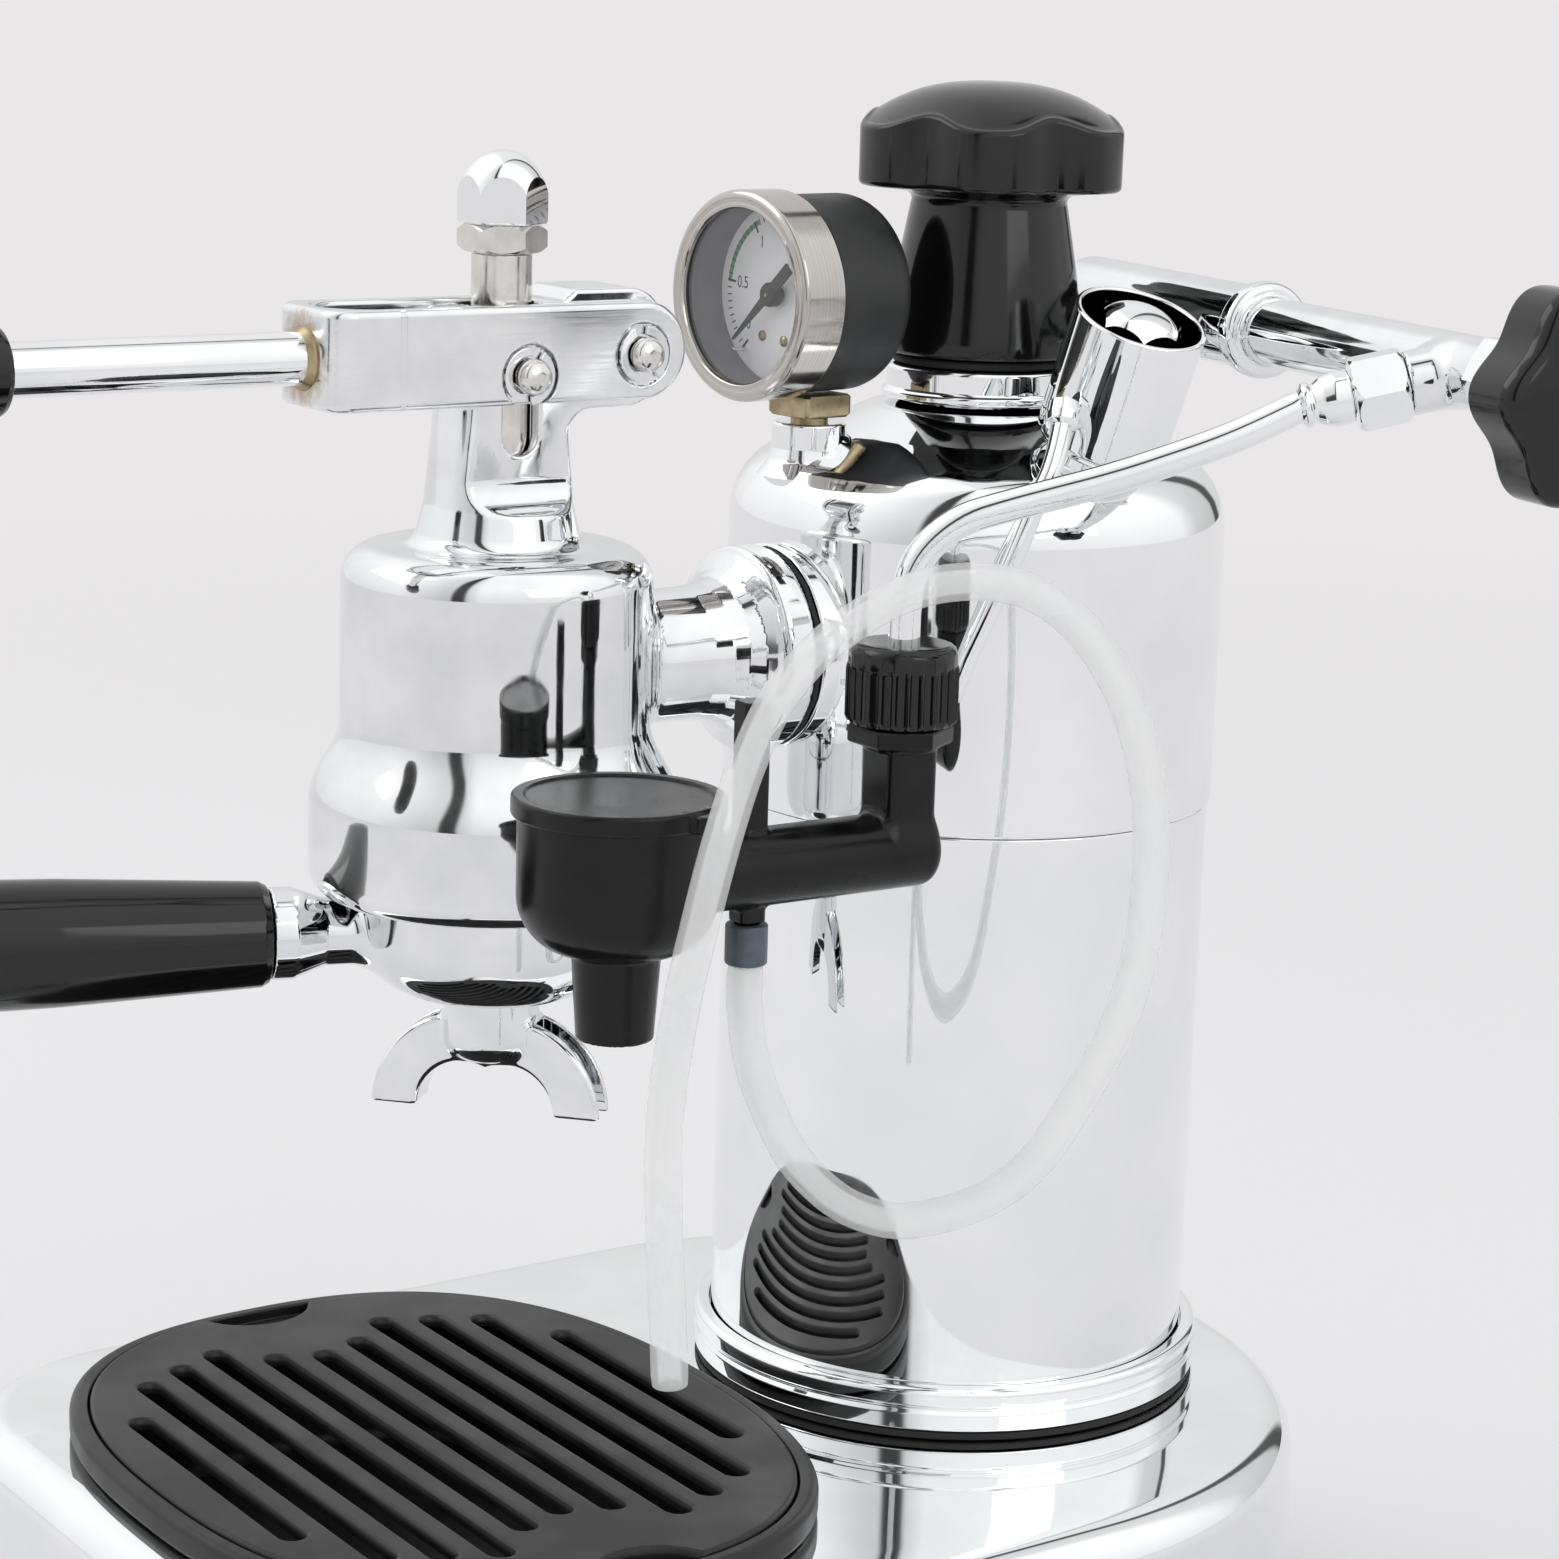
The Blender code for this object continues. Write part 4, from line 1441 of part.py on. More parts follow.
def make_piston():
    here = upright(0, GROUP_Y)
    top = PISTON_BOTTOM + PISTON_HEIGHT
    groove_top = SEAL_LEVEL + SEAL_HEIGHT + GAP
    turned("piston_head", [
        (NUT_BORE, top), (PISTON_RADIUS, top), (PISTON_RADIUS, groove_top), (SEAL_GROOVE, groove_top),
        (SEAL_GROOVE, SEAL_LEVEL - GAP), (PISTON_RADIUS, SEAL_LEVEL - GAP), (PISTON_RADIUS, PISTON_BOTTOM),
        (0, PISTON_BOTTOM), (0, top - STUD_INTO_HEAD - GAP), (NUT_BORE, top - STUD_INTO_HEAD - GAP)],
        MIDDLE, "nickel", here)
    turned("piston_seal", [
        (SEAL_RADIUS, SEAL_LEVEL + SEAL_HEIGHT), (SEAL_RADIUS, SEAL_LEVEL), (SEAL_GROOVE + GAP, SEAL_LEVEL),
        (SEAL_GROOVE + GAP, SEAL_LEVEL + SEAL_HEIGHT)], LARGE, "rubber", here)
    rod_low = top + GAP
    shaft = turned("piston_rod", [
        (0, STUD_TOP), (STUD_RADIUS, STUD_TOP), (STUD_RADIUS, LOCK_NUT_BOTTOM - GAP),
        (ROD_RADIUS, LOCK_NUT_BOTTOM - GAP),
        (ROD_RADIUS, rod_low), (STUD_RADIUS, rod_low), (STUD_RADIUS, top - STUD_INTO_HEAD),
        (0, top - STUD_INTO_HEAD)],
        MIDDLE, "nickel", here)
    cut(shaft, rod("rod_pin_hole", PIN_RADIUS + PIN_BORE_CLEARANCE, -2 * ROD_RADIUS, 2 * ROD_RADIUS, SMALL,
                   frame=frame_along((0, GROUP_Y, FRONT_PIN_LEVEL), (1, 0, 0))))
    nut_top = LOCK_NUT_BOTTOM + LOCK_NUT_HEIGHT
    lock = hex_nut("lock_nut", LOCK_NUT_BOTTOM, nut_top, LOCK_NUT_CHAMFER, here)
    cut(lock, rod("lock_nut_bore", NUT_BORE, LOCK_NUT_BOTTOM - OVERRUN, nut_top + OVERRUN, SMALL,
                  frame=here))
    low = nut_top + GAP
    hex_top = low + ACORN_HEX_HEIGHT
    dome = []
    steps = 6
    for step in range(steps + 1):
        angle = math.pi / 2 * step / steps
        dome.append((ACORN_DOME_RADIUS * math.sin(angle), hex_top + ACORN_DOME * math.cos(angle)))
    acorn = hex_nut("acorn_nut", low, hex_top, LOCK_NUT_CHAMFER, here)
    fuse(acorn, turned("acorn_dome", dome + [(ACORN_DOME_RADIUS, low + GAP), (0, low + GAP)], MIDDLE,
                       frame=here))
    cut(acorn, rod("acorn_bore", NUT_BORE, low - OVERRUN, STUD_TOP + GAP, SMALL, frame=here))
    make_pin("front_pin", (0, GROUP_Y, FRONT_PIN_LEVEL))


def hex_nut(name, low, high, chamfer, frame):
    """A hexagon whose corners are turned off at both ends."""
    nut = rod(name, NUT_RADIUS, low, high, 6, "nickel", frame)
    barrel = turned(name + "_barrel", [
        (0, high + OVERRUN), (NUT_RADIUS - chamfer - OVERRUN / 2, high + OVERRUN),
        (NUT_RADIUS + chamfer, high - chamfer * 1.5), (NUT_RADIUS + chamfer, low + chamfer * 1.5),
        (NUT_RADIUS - chamfer - OVERRUN / 2, low - OVERRUN), (0, low - OVERRUN)], MIDDLE, frame=frame)
    combine(nut, barrel, "INTERSECT")
    return nut


def make_pin(name, place):
    """A pin across the fork with a domed head and a clip at each end."""
    inner = FORK_HALF_WIDTH - FORK_RECESS_DEPTH + GAP
    outer = inner + PIN_CLIP_THICKNESS
    half = [(PIN_RADIUS, inner), (PIN_CLIP, inner), (PIN_CLIP, outer), (PIN_HEAD, outer),
            (PIN_HEAD, outer + PIN_HEAD_HEIGHT * 0.45),
            (PIN_HEAD * 0.78, outer + PIN_HEAD_HEIGHT * 0.8),
            (PIN_HEAD * 0.35, outer + PIN_HEAD_HEIGHT * 0.97),
            (0, outer + PIN_HEAD_HEIGHT)]
    profile = [(0, -half[-1][1])] + [(r, -z) for r, z in half[-2::-1]] + half
    return turned(name, profile[::-1], SMALL, "steel", frame_along(place, (1, 0, 0)))


def rear_pin_place():
    y, z = pin_slot_point(0)
    return (0, y, z)


def make_lever():
    middle = (FORK_TOP + FORK_BOTTOM) / 2
    half_height = (FORK_TOP - FORK_BOTTOM) / 2
    side = ([(FORK_FRONT, FORK_BOTTOM), (FORK_END_CENTRE, FORK_BOTTOM)]
            + arc((FORK_END_CENTRE, middle), half_height, -75, 75, 6)
            + [(FORK_END_CENTRE, FORK_TOP), (FORK_FRONT, FORK_TOP)])
    across = Matrix(((0, 0, 1, 0), (1, 0, 0, 0), (0, 1, 0, 0), (0, 0, 0, 1)))
    fork = prism("lever_fork", side, -FORK_HALF_WIDTH, FORK_HALF_WIDTH, "cast_polished", across, crease=30)
    soften = fork.modifiers.new("rounded_edges", "BEVEL")
    soften.width = FORK_EDGE
    soften.segments = 1
    soften.limit_method = "ANGLE"
    soften.angle_limit = math.radians(40)
    slot_outline = ([(FORK_GAP, FORK_END_CENTRE + FORK_HALF_WIDTH * 2),
                     (-FORK_GAP, FORK_END_CENTRE + FORK_HALF_WIDTH * 2)]
                    + arc((0, FORK_SLOT_END + FORK_GAP * 0.6), FORK_GAP, 180, 360, 8))
    cut(fork, prism("fork_slot", slot_outline, FORK_BOTTOM - OVERRUN, FORK_TOP + OVERRUN))
    for label, place in (("front", (0, GROUP_Y, FRONT_PIN_LEVEL)), ("rear", rear_pin_place())):
        axis = frame_along(place, (1, 0, 0))
        cut(fork, rod(label + "_pin_hole", PIN_RADIUS + PIN_BORE_CLEARANCE, -2 * FORK_HALF_WIDTH,
                      2 * FORK_HALF_WIDTH, SMALL, frame=axis))
        for sign in (-1, 1):
            face = sign * FORK_HALF_WIDTH
            deep = face - sign * FORK_RECESS_DEPTH
            far = face + sign * OVERRUN
            cut(fork, rod(label + ("_recess_left" if sign < 0 else "_recess_right"), FORK_RECESS,
                          min(deep, far),
                          max(deep, far), SMALL, frame=axis))
    ahead = (0, -1, 0)
    socket_end = -FORK_FRONT - LEVER_SOCKET_DEPTH
    cut(fork, rod("lever_socket", LEVER_ROD_RADIUS + GAP, socket_end, -FORK_FRONT + OVERRUN, SMALL,
                  frame=frame_along((0, 0, ROD_LEVEL), ahead)))
    bar = rod("lever_rod", LEVER_ROD_RADIUS, socket_end + GAP, -LEVER_ROD_END, SMALL, "chrome",
              frame_along((0, 0, ROD_LEVEL), ahead))
    start = -GRIP_START
    end = start + GRIP_LENGTH
    bore = LEVER_ROD_RADIUS + GAP
    grip = turned("lever_grip", [
        (0, end), (GRIP_TIP * 0.55, end - GRIP_LENGTH * 0.008), (GRIP_TIP * 0.9, end - GRIP_LENGTH * 0.04),
        (GRIP_TIP, end - GRIP_LENGTH * 0.09), (GRIP_BELLY, start + GRIP_LENGTH * 0.6),
        (GRIP_BELLY * 0.95, start + GRIP_LENGTH * 0.4), (GRIP_NECK * 1.15, start + GRIP_LENGTH * 0.08),
        (GRIP_NECK, start + GRIP_LENGTH * 0.01), (GRIP_NECK * 0.9, start), (bore, start),
        (bore, -LEVER_ROD_END + GAP),
        (0, -LEVER_ROD_END + GAP)], MIDDLE, "bakelite", frame_along((0, 0, ROD_LEVEL), ahead))
    pin = make_pin("rear_pin", rear_pin_place())
    for piece in (fork, bar, grip, pin):
        put_origin(piece, (0, GROUP_Y, FRONT_PIN_LEVEL))


# Portafilter

def heading(turn):
    """Forward, turned about the upright axis by so many degrees."""
    angle = math.radians(turn)
    return Vector((math.sin(angle), -math.cos(angle), 0))


def make_portafilter():
    here = upright(0, GROUP_Y)
    low = HOLDER_BOTTOM
    rise = HOLDER_TOP - low
    profile = [
        (0, HOLDER_TOP), (HOLDER_RADIUS, HOLDER_TOP), (HOLDER_RADIUS, low + rise * 0.5),
        (HOLDER_RADIUS * 0.975, low + rise * 0.37),
        (HOLDER_RADIUS * 0.925, low + rise * 0.26), (HOLDER_RADIUS * 0.83, low + rise * 0.15),
        (HOLDER_RADIUS * 0.68, low + rise * 0.07), (HOLDER_BOSS, low), (HOLDER_NIPPLE, low),
        (HOLDER_NIPPLE, HOLDER_NIPPLE_BOTTOM), (0, HOLDER_NIPPLE_BOTTOM)]
    body = turned("portafilter_body", profile, LARGE, "chrome", here)
    for number, middle in enumerate(ear_directions(HANDLE_TURN)):
        sector = (arc((0, 0), HOLDER_EAR_RADIUS, middle - HOLDER_EAR_SPAN / 2, middle
                      + HOLDER_EAR_SPAN / 2, 5)
                  + arc((0, 0), HOLDER_RADIUS - BASKET_WALL * 2, middle + HOLDER_EAR_SPAN / 2,
                        middle - HOLDER_EAR_SPAN / 2, 3))
        fuse(body, prism("bayonet_ear_" + str(number), sector, HOLDER_EAR_BOTTOM,
                         HOLDER_EAR_BOTTOM + HOLDER_EAR_THICKNESS, frame=here))
    ahead = heading(HANDLE_TURN)
    axis = frame_along((0, GROUP_Y, HANDLE_LEVEL), ahead)
    stud_end = FERRULE_END + HANDLE_STUD_LENGTH
    stub = turned("handle_stub", [
        (0, stud_end), (HANDLE_STUD, stud_end), (HANDLE_STUD, FERRULE_END), (FERRULE_RADIUS, FERRULE_END),
        (FERRULE_RADIUS, FERRULE_START), (HANDLE_ARM, HANDLE_ARM_END), (HANDLE_ARM, HANDLE_ARM_START),
        (0, HANDLE_ARM_START)], MIDDLE, frame=axis)
    fuse(body, stub)
    cut(body, turned("holder_room", [
        (0, HOLDER_TOP + OVERRUN), (HOLDER_BORE, HOLDER_TOP + OVERRUN), (HOLDER_BORE, low + rise * 0.35),
        (HOLDER_BORE * 0.8, HOLDER_FLOOR + rise * 0.08), (HOLDER_DRAIN, HOLDER_FLOOR),
        (HOLDER_DRAIN, HOLDER_NIPPLE_BOTTOM - OVERRUN), (0, HOLDER_NIPPLE_BOTTOM - OVERRUN)], MIDDLE,
        frame=here))
    start = FERRULE_END + GAP
    end = start + HANDLE_LENGTH
    bore = HANDLE_STUD + GAP
    turned("portafilter_handle", [
        (0, end), (HANDLE_TIP * 0.6, end - HANDLE_LENGTH * 0.01),
        (HANDLE_TIP * 0.92, end - HANDLE_LENGTH * 0.035),
        (HANDLE_TIP, end - HANDLE_LENGTH * 0.07), (HANDLE_BELLY, start + HANDLE_LENGTH * 0.55),
        (HANDLE_BELLY * 0.95, start + HANDLE_LENGTH * 0.35),
        (HANDLE_START_RADIUS, start + HANDLE_LENGTH * 0.012),
        (HANDLE_START_RADIUS * 0.93, start), (bore, start), (bore, stud_end + GAP), (0, stud_end + GAP)],
        MIDDLE, "bakelite", axis)
    flange_low = HOLDER_TOP + GAP
    flange_top = flange_low + BASKET_FLANGE_THICKNESS
    inside = BASKET_RADIUS - BASKET_WALL
    turned("filter_basket", [
        (BASKET_FLANGE, flange_top), (BASKET_FLANGE, flange_low), (BASKET_RADIUS, flange_low),
        (BASKET_RADIUS * 0.97, BASKET_BOTTOM + rise * 0.1), (BASKET_RADIUS * 0.86, BASKET_BOTTOM),
        (0, BASKET_BOTTOM),
        (0, BASKET_BOTTOM + BASKET_WALL), (inside * 0.86, BASKET_BOTTOM + BASKET_WALL),
        (inside * 0.97, BASKET_BOTTOM + rise * 0.11), (inside, flange_top)], MIDDLE, "steel", here)
    make_spout()


def spout_arm_path(sign):
    """A wide quarter turn from inside the boss down to the foot."""
    out = heading(SPOUT_TURN) * sign
    radius = SPOUT_REACH - SPOUT_CORE
    centre = SPOUT_FOOT + SPOUT_STRAIGHT
    points = [(SPOUT_CORE / 2, centre + radius)]
    steps = 6
    for step in range(steps + 1):
        angle = math.pi / 2 * step / steps
        points.append((SPOUT_CORE + radius * math.sin(angle), centre + radius * math.cos(angle)))
    points.append((SPOUT_REACH, SPOUT_FOOT))
    return [Vector((0, GROUP_Y, level)) + out * reach for reach, level in points], out


def make_spout():
    here = upright(0, GROUP_Y)
    top = HOLDER_BOTTOM - GAP
    boss = turned("portafilter_spout", [
        (0, top), (SPOUT_BOSS, top), (SPOUT_BOSS, SPOUT_BOTTOM + SPOUT_ROUND),
        (SPOUT_BOSS * 0.8, SPOUT_BOTTOM + SPOUT_ROUND * 0.35),
        (SPOUT_BOSS * 0.45, SPOUT_BOTTOM), (0, SPOUT_BOTTOM)], MIDDLE, "chrome", here)
    channels = []
    for sign in (-1, 1):
        side = "left" if sign > 0 else "right"
        path, out = spout_arm_path(sign)
        fuse(boss, swept("spout_arm_" + side, path, SPOUT_ARM, SMALL))
        shifted = []
        for i, point in enumerate(path):
            before = path[max(i - 1, 0)]
            after = path[min(i + 1, len(path) - 1)]
            run = (after - before).normalized()
            outward = (out - run * out.dot(run))
            if outward.length < 0.5:
                outward = Vector((0, 0, 1)) - run * run.z
            outward.normalize()
            if outward.dot(out) + outward.z < 0:
                outward = -outward
            shifted.append(point + outward * SPOUT_CHANNEL_SHIFT)
        shifted.append(shifted[-1] - Vector((0, 0, OVERRUN)))
        channels.append(swept("spout_channel_" + side, shifted[3:], SPOUT_CHANNEL, TINY))
    cut(boss, rod("spout_socket", HOLDER_NIPPLE + GAP, top - SPOUT_SOCKET_DEPTH, top + OVERRUN, MIDDLE,
                  frame=here))
    cut(boss, *channels)


def build():
    clear_scene()
    make_base()
    make_cover_and_feet()
    make_gland_and_switch()
    make_pressurestat()
    make_tray()
    make_grille()
    floor_low = make_boiler_foot()
    make_lower_shell(floor_low)
    make_upper_shell()
    make_element(floor_low)
    make_neck_and_cap()
    make_sight_glass()
    make_gauge()
    make_safety_valve()
    make_steam_valve()
    make_wand()
    make_frother()
    make_lid()
    make_hose()
    make_group()
    make_group_inside()
    make_piston()
    make_lever()
    make_portafilter()


build()
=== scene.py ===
import math

import bmesh
import bpy
import numpy as np
from mathutils import Matrix, Vector


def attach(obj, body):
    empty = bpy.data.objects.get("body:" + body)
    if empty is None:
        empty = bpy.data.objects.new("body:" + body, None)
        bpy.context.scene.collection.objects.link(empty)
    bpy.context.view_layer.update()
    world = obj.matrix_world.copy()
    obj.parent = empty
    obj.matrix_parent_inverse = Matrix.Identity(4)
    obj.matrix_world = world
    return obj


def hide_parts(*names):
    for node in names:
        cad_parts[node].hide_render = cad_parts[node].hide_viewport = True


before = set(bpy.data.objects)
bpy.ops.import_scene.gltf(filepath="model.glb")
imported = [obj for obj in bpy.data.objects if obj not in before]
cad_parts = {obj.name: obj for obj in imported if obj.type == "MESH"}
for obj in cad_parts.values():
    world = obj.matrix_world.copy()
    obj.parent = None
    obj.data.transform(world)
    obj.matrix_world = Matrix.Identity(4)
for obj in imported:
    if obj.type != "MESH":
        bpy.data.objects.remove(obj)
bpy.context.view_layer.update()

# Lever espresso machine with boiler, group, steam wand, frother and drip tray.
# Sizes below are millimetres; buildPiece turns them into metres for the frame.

mm = 0.001
groupY = -109.5
pinLevel = 259.7


# Small helpers

def linearColour(code):
    channels = [int(code[i:i + 2], 16) / 255 for i in (1, 3, 5)]
    return [c / 12.92 if c <= 0.04045 else ((c + 0.055) / 1.055) ** 2.4 for c in channels] + [1.0]


def addNode(tree, kind, settings=None, links=None):
    # Settings are node properties or socket values, links are sockets to read from
    node = tree.nodes.new("ShaderNode" + kind)
    for key, value in (settings or {}).items():
        if isinstance(key, str) and hasattr(node, key):
            setattr(node, key, value)
        else:
            node.inputs[key].default_value = value
    for key, source in (links or {}).items():
        tree.links.new(source, node.inputs[key])
    return node


def frameAlong(start, direction):
    # A frame at start whose +Z runs along direction
    along = Vector(direction).normalized()
    guide = Vector((0, 0, 1)) if abs(along.z) < 0.99 else Vector((0, 1, 0))
    side = guide.cross(along).normalized()
    turn = Matrix((side, along.cross(side), along)).transposed().to_4x4()
    return Matrix.Translation(Vector(start) * mm) @ turn


def upright(x, y, z=0):
    return Matrix.Translation(Vector((x, y, z)) * mm)


# Materials. Every pattern's scale is 1 / (size in metres), read from object coordinates.

def startMaterial(name, values):
    made = bpy.data.materials.new(name)
    made.use_nodes = True
    tree = made.node_tree
    shader = tree.nodes["Principled BSDF"]
    shader.inputs["Metallic"].default_value = values.get("metallic", 0.0)
    shader.inputs["Roughness"].default_value = values["roughness"][0]
    if "ior" in values:
        shader.inputs["IOR"].default_value = values["ior"]
    if "shine" in values:
        shader.inputs["Specular IOR Level"].default_value = values["shine"]
    place = addNode(tree, "TexCoord").outputs["Object"]
    return made, tree, shader, place


def speckle(tree, place, size, detail=3.0, stretch=None, distortion=0.0):
    # Noise whose blotches are size millimetres wide, drawn out along an axis if asked
    if stretch:
        place = addNode(tree, "Mapping", {"Scale": stretch}, {"Vector": place}).outputs[0]
    return addNode(tree, "TexNoise", {"Scale": 1 / (size * mm), "Detail": detail, "Distortion": distortion},
        {"Vector": place}).outputs["Fac"]


def between(tree, source, low, high, start=0.35, end=0.65):
    # Reads a noise's middle band as low to high
    return addNode(tree, "MapRange", {"From Min": start, "From Max": end, "To Min": low, "To Max": high},
        {"Value": source}).outputs[0]


def toneColour(tree, shader, share, first, second):
    # Two close tones of the same surface, mixed by a pattern
    ramp = addNode(tree, "ValToRGB", links={"Fac": share})
    ramp.color_ramp.elements[0].color = linearColour(first)
    ramp.color_ramp.elements[1].color = linearColour(second)
    tree.links.new(ramp.outputs["Color"], shader.inputs["Base Color"])
    return ramp


def addBumps(tree, shader, layers):
    # Stacks bumps; each layer is a pattern and its height in millimetres
    normal = None
    for pattern, height in layers:
        bump = addNode(tree, "Bump", {"Strength": 1.0, "Distance": height * mm}, {"Height": pattern})
        if normal:
            tree.links.new(normal, bump.inputs["Normal"])
        normal = bump.outputs[0]
    tree.links.new(normal, shader.inputs["Normal"])


def platedMetal(name, values):
    # Cloudy wipe marks in the gloss, slow waves in the sheet and hairlines from the cloth
    made, tree, shader, place = startMaterial(name, values)
    cloud = speckle(tree, place, values["cloud"])
    toneColour(tree, shader, between(tree, cloud, 0, 1), values["tones"][0], values["tones"][1])
    wipe = speckle(tree, place, values["cloud"] / 3, stretch=(1, 1, 0.35))
    tree.links.new(between(tree, wipe, *values["roughness"]), shader.inputs["Roughness"])
    hairs = speckle(tree, place, values["hair"], 2.0, stretch=values.get("grainWay"))
    waves = speckle(tree, place, values["wave"], 1.0)
    addBumps(tree, shader, [(waves, values["waveHeight"]), (hairs, values["hairHeight"])])
    return made


# Bright chrome plate on drawn and spun brass: a mirror with faint wipe marks
chromePlate = platedMetal("chrome_plate", {
    "tones": ("#F5F6F7", "#EEF0F1"), "metallic": 1.0, "roughness": (0.012, 0.045), "cloud": 24.0,
    "wave": 34.0, "waveHeight": 0.03, "hair": 0.5, "hairHeight": 0.00006})

# The same plate on a hand-polished sand casting: softer, with a wavier mirror
castChrome = platedMetal("chrome_plate_on_polished_casting", {
    "tones": ("#EDEEEF", "#E2E4E6"), "metallic": 1.0, "roughness": (0.025, 0.08), "cloud": 12.0,
    "wave": 7.0, "waveHeight": 0.035, "hair": 0.4, "hairHeight": 0.0001})

# Nickel plate on turned steel: a warmer, slightly cloudy shine on nuts, rod and pins
nickelPlate = platedMetal("nickel_plate_on_turned_steel", {
    "tones": ("#E3E2DF", "#D3D1CD"), "metallic": 1.0, "roughness": (0.10, 0.22), "cloud": 5.0,
    "wave": 3.0, "waveHeight": 0.004, "hair": 0.25, "hairHeight": 0.0006})

# Dull yellow brass, machined and left bare: brown patches between scratches
bareBrass = platedMetal("machined_bare_brass", {
    "tones": ("#B7A988", "#97896C"), "metallic": 1.0, "roughness": (0.25, 0.42), "cloud": 4.0,
    "wave": 2.0, "waveHeight": 0.006, "hair": 0.3, "hairHeight": 0.0015})

# Rolled steel sheet of the parts inside: grey and plain, with a fine rolling grain
rolledSteel = platedMetal("rolled_steel_sheet", {
    "tones": ("#A9AAAB", "#969798"), "metallic": 1.0, "roughness": (0.25, 0.40), "cloud": 9.0,
    "wave": 6.0, "waveHeight": 0.01, "hair": 0.3, "hairHeight": 0.002, "grainWay": (1, 6, 1)})


def linishedCasting():
    # Nickel-chromed casting finished on a belt: satin lines along the fork, straw tint at the brazed rod
    values = {"tones": ("#EEEFF0", "#E3E5E7"), "metallic": 1.0, "roughness": (0.10, 0.20), "line": 0.35,
              "lineHeight": 0.0006, "brazeTone": "#A98F62", "brazeReach": 9.0,
              "brazeAt": (0, -149.5, 263.3)}
    made, tree, shader, place = startMaterial("chromed_casting_belt_finished", values)
    # Belt lines are 0.35 mm apart, coarser than the real 0.1 mm so that they show
    lines = speckle(tree, place, values["line"], 2.0, stretch=(1, 0.02, 1))
    cloud = speckle(tree, place, 11.0)
    ramp = toneColour(tree, shader, between(tree, cloud, 0, 1), *values["tones"])
    away = addNode(tree, "VectorMath", {"operation": "DISTANCE", 1: Vector(values["brazeAt"]) * mm},
        {0: place})
    ragged = addNode(tree, "Math", {"operation": "MULTIPLY_ADD", 1: 5.0 * mm, 2: -2.5 * mm},
        {0: speckle(tree, place, 1.6)})
    reach = addNode(tree, "Math", {"operation": "ADD"}, {0: away.outputs["Value"], 1: ragged.outputs[0]})
    tint = addNode(tree, "MapRange", {"From Min": 5.6 * mm, "From Max": values["brazeReach"] * mm,
        "To Min": 0.75, "To Max": 0.0}, {"Value": reach.outputs[0]})
    mix = addNode(tree, "Mix", {"data_type": "RGBA", 7: linearColour(values["brazeTone"])},
        {0: tint.outputs[0], 6: ramp.outputs["Color"]})
    tree.links.new(mix.outputs[2], shader.inputs["Base Color"])
    tree.links.new(between(tree, lines, *values["roughness"]), shader.inputs["Roughness"])
    addBumps(tree, shader, [(cloud, 0.02), (lines, values["lineHeight"])])
    return made


def turnedSteel():
    # Bezel turned and brushed on a lathe: rings run round its own axis, so they don't change with the angle
    values = {"tones": ("#C6C2BD", "#B2AEAA"), "metallic": 1.0, "roughness": (0.08, 0.16), "ring": 0.16,
              "ringHeight": 0.0008}
    made, tree, shader, place = startMaterial("stainless_steel_lathe_brushed", values)
    parts = addNode(tree, "SeparateXYZ", links={0: place})
    radius = addNode(tree, "VectorMath", {"operation": "LENGTH"}, {0: addNode(
        tree, "CombineXYZ", links={0: parts.outputs[0], 1: parts.outputs[1]}).outputs[0]})
    across = addNode(tree, "CombineXYZ", links={0: radius.outputs["Value"], 2: parts.outputs[2]}).outputs[0]
    rings = speckle(tree, across, values["ring"], 2.0)
    toneColour(tree, shader, between(tree, rings, 0, 1), *values["tones"])
    tree.links.new(between(tree, speckle(tree, place, 4.0), *values["roughness"]), shader.inputs["Roughness"])
    addBumps(tree, shader, [(rings, values["ringHeight"])])
    return made


def mouldedPlastic(name, values):
    # Skin with the mould's grain, slow sink waves below it, and a gloss that varies a little
    made, tree, shader, place = startMaterial(name, values)
    cloud = speckle(tree, place, values["cloud"])
    toneColour(tree, shader, between(tree, cloud, 0, 1), *values["tones"])
    tree.links.new(between(tree, cloud, *values["roughness"]), shader.inputs["Roughness"])
    addBumps(tree, shader, [(speckle(tree, place, values["wave"], 1.0), values["waveHeight"]),
        (speckle(tree, place, values["grain"], 2.0), values["grainHeight"])])
    return made


# Phenolic resin pressed in a polished mould: deep black gloss with a slight orange peel
mouldedPhenolic = mouldedPlastic("moulded_phenolic", {"tones": ("#0A0B0A", "#0F100F"),
    "roughness": (0.07, 0.15), "ior": 1.6, "shine": 0.36, "cloud": 14.0, "wave": 2.6, "waveHeight": 0.004,
    "grain": 0.4, "grainHeight": 0.0004})

# Glass-filled polyamide: satin black that goes slightly grey where it is handled
satinPolyamide = mouldedPlastic("moulded_polyamide_satin", {"tones": ("#0B0C0B", "#121312"),
    "roughness": (0.17, 0.28), "ior": 1.53, "shine": 0.26, "cloud": 10.0, "wave": 6.0, "waveHeight": 0.008,
    "grain": 0.3, "grainHeight": 0.001})

# ABS from a spark-eroded mould: matt charcoal, with a grain of about 0.35 mm that breaks up the light
erodedAbs = mouldedPlastic("moulded_abs_spark_eroded", {"tones": ("#191818", "#201F1F"),
    "roughness": (0.36, 0.50), "ior": 1.54, "shine": 0.4, "cloud": 18.0, "wave": 7.0, "waveHeight": 0.015,
    "grain": 0.35, "grainHeight": 0.006})

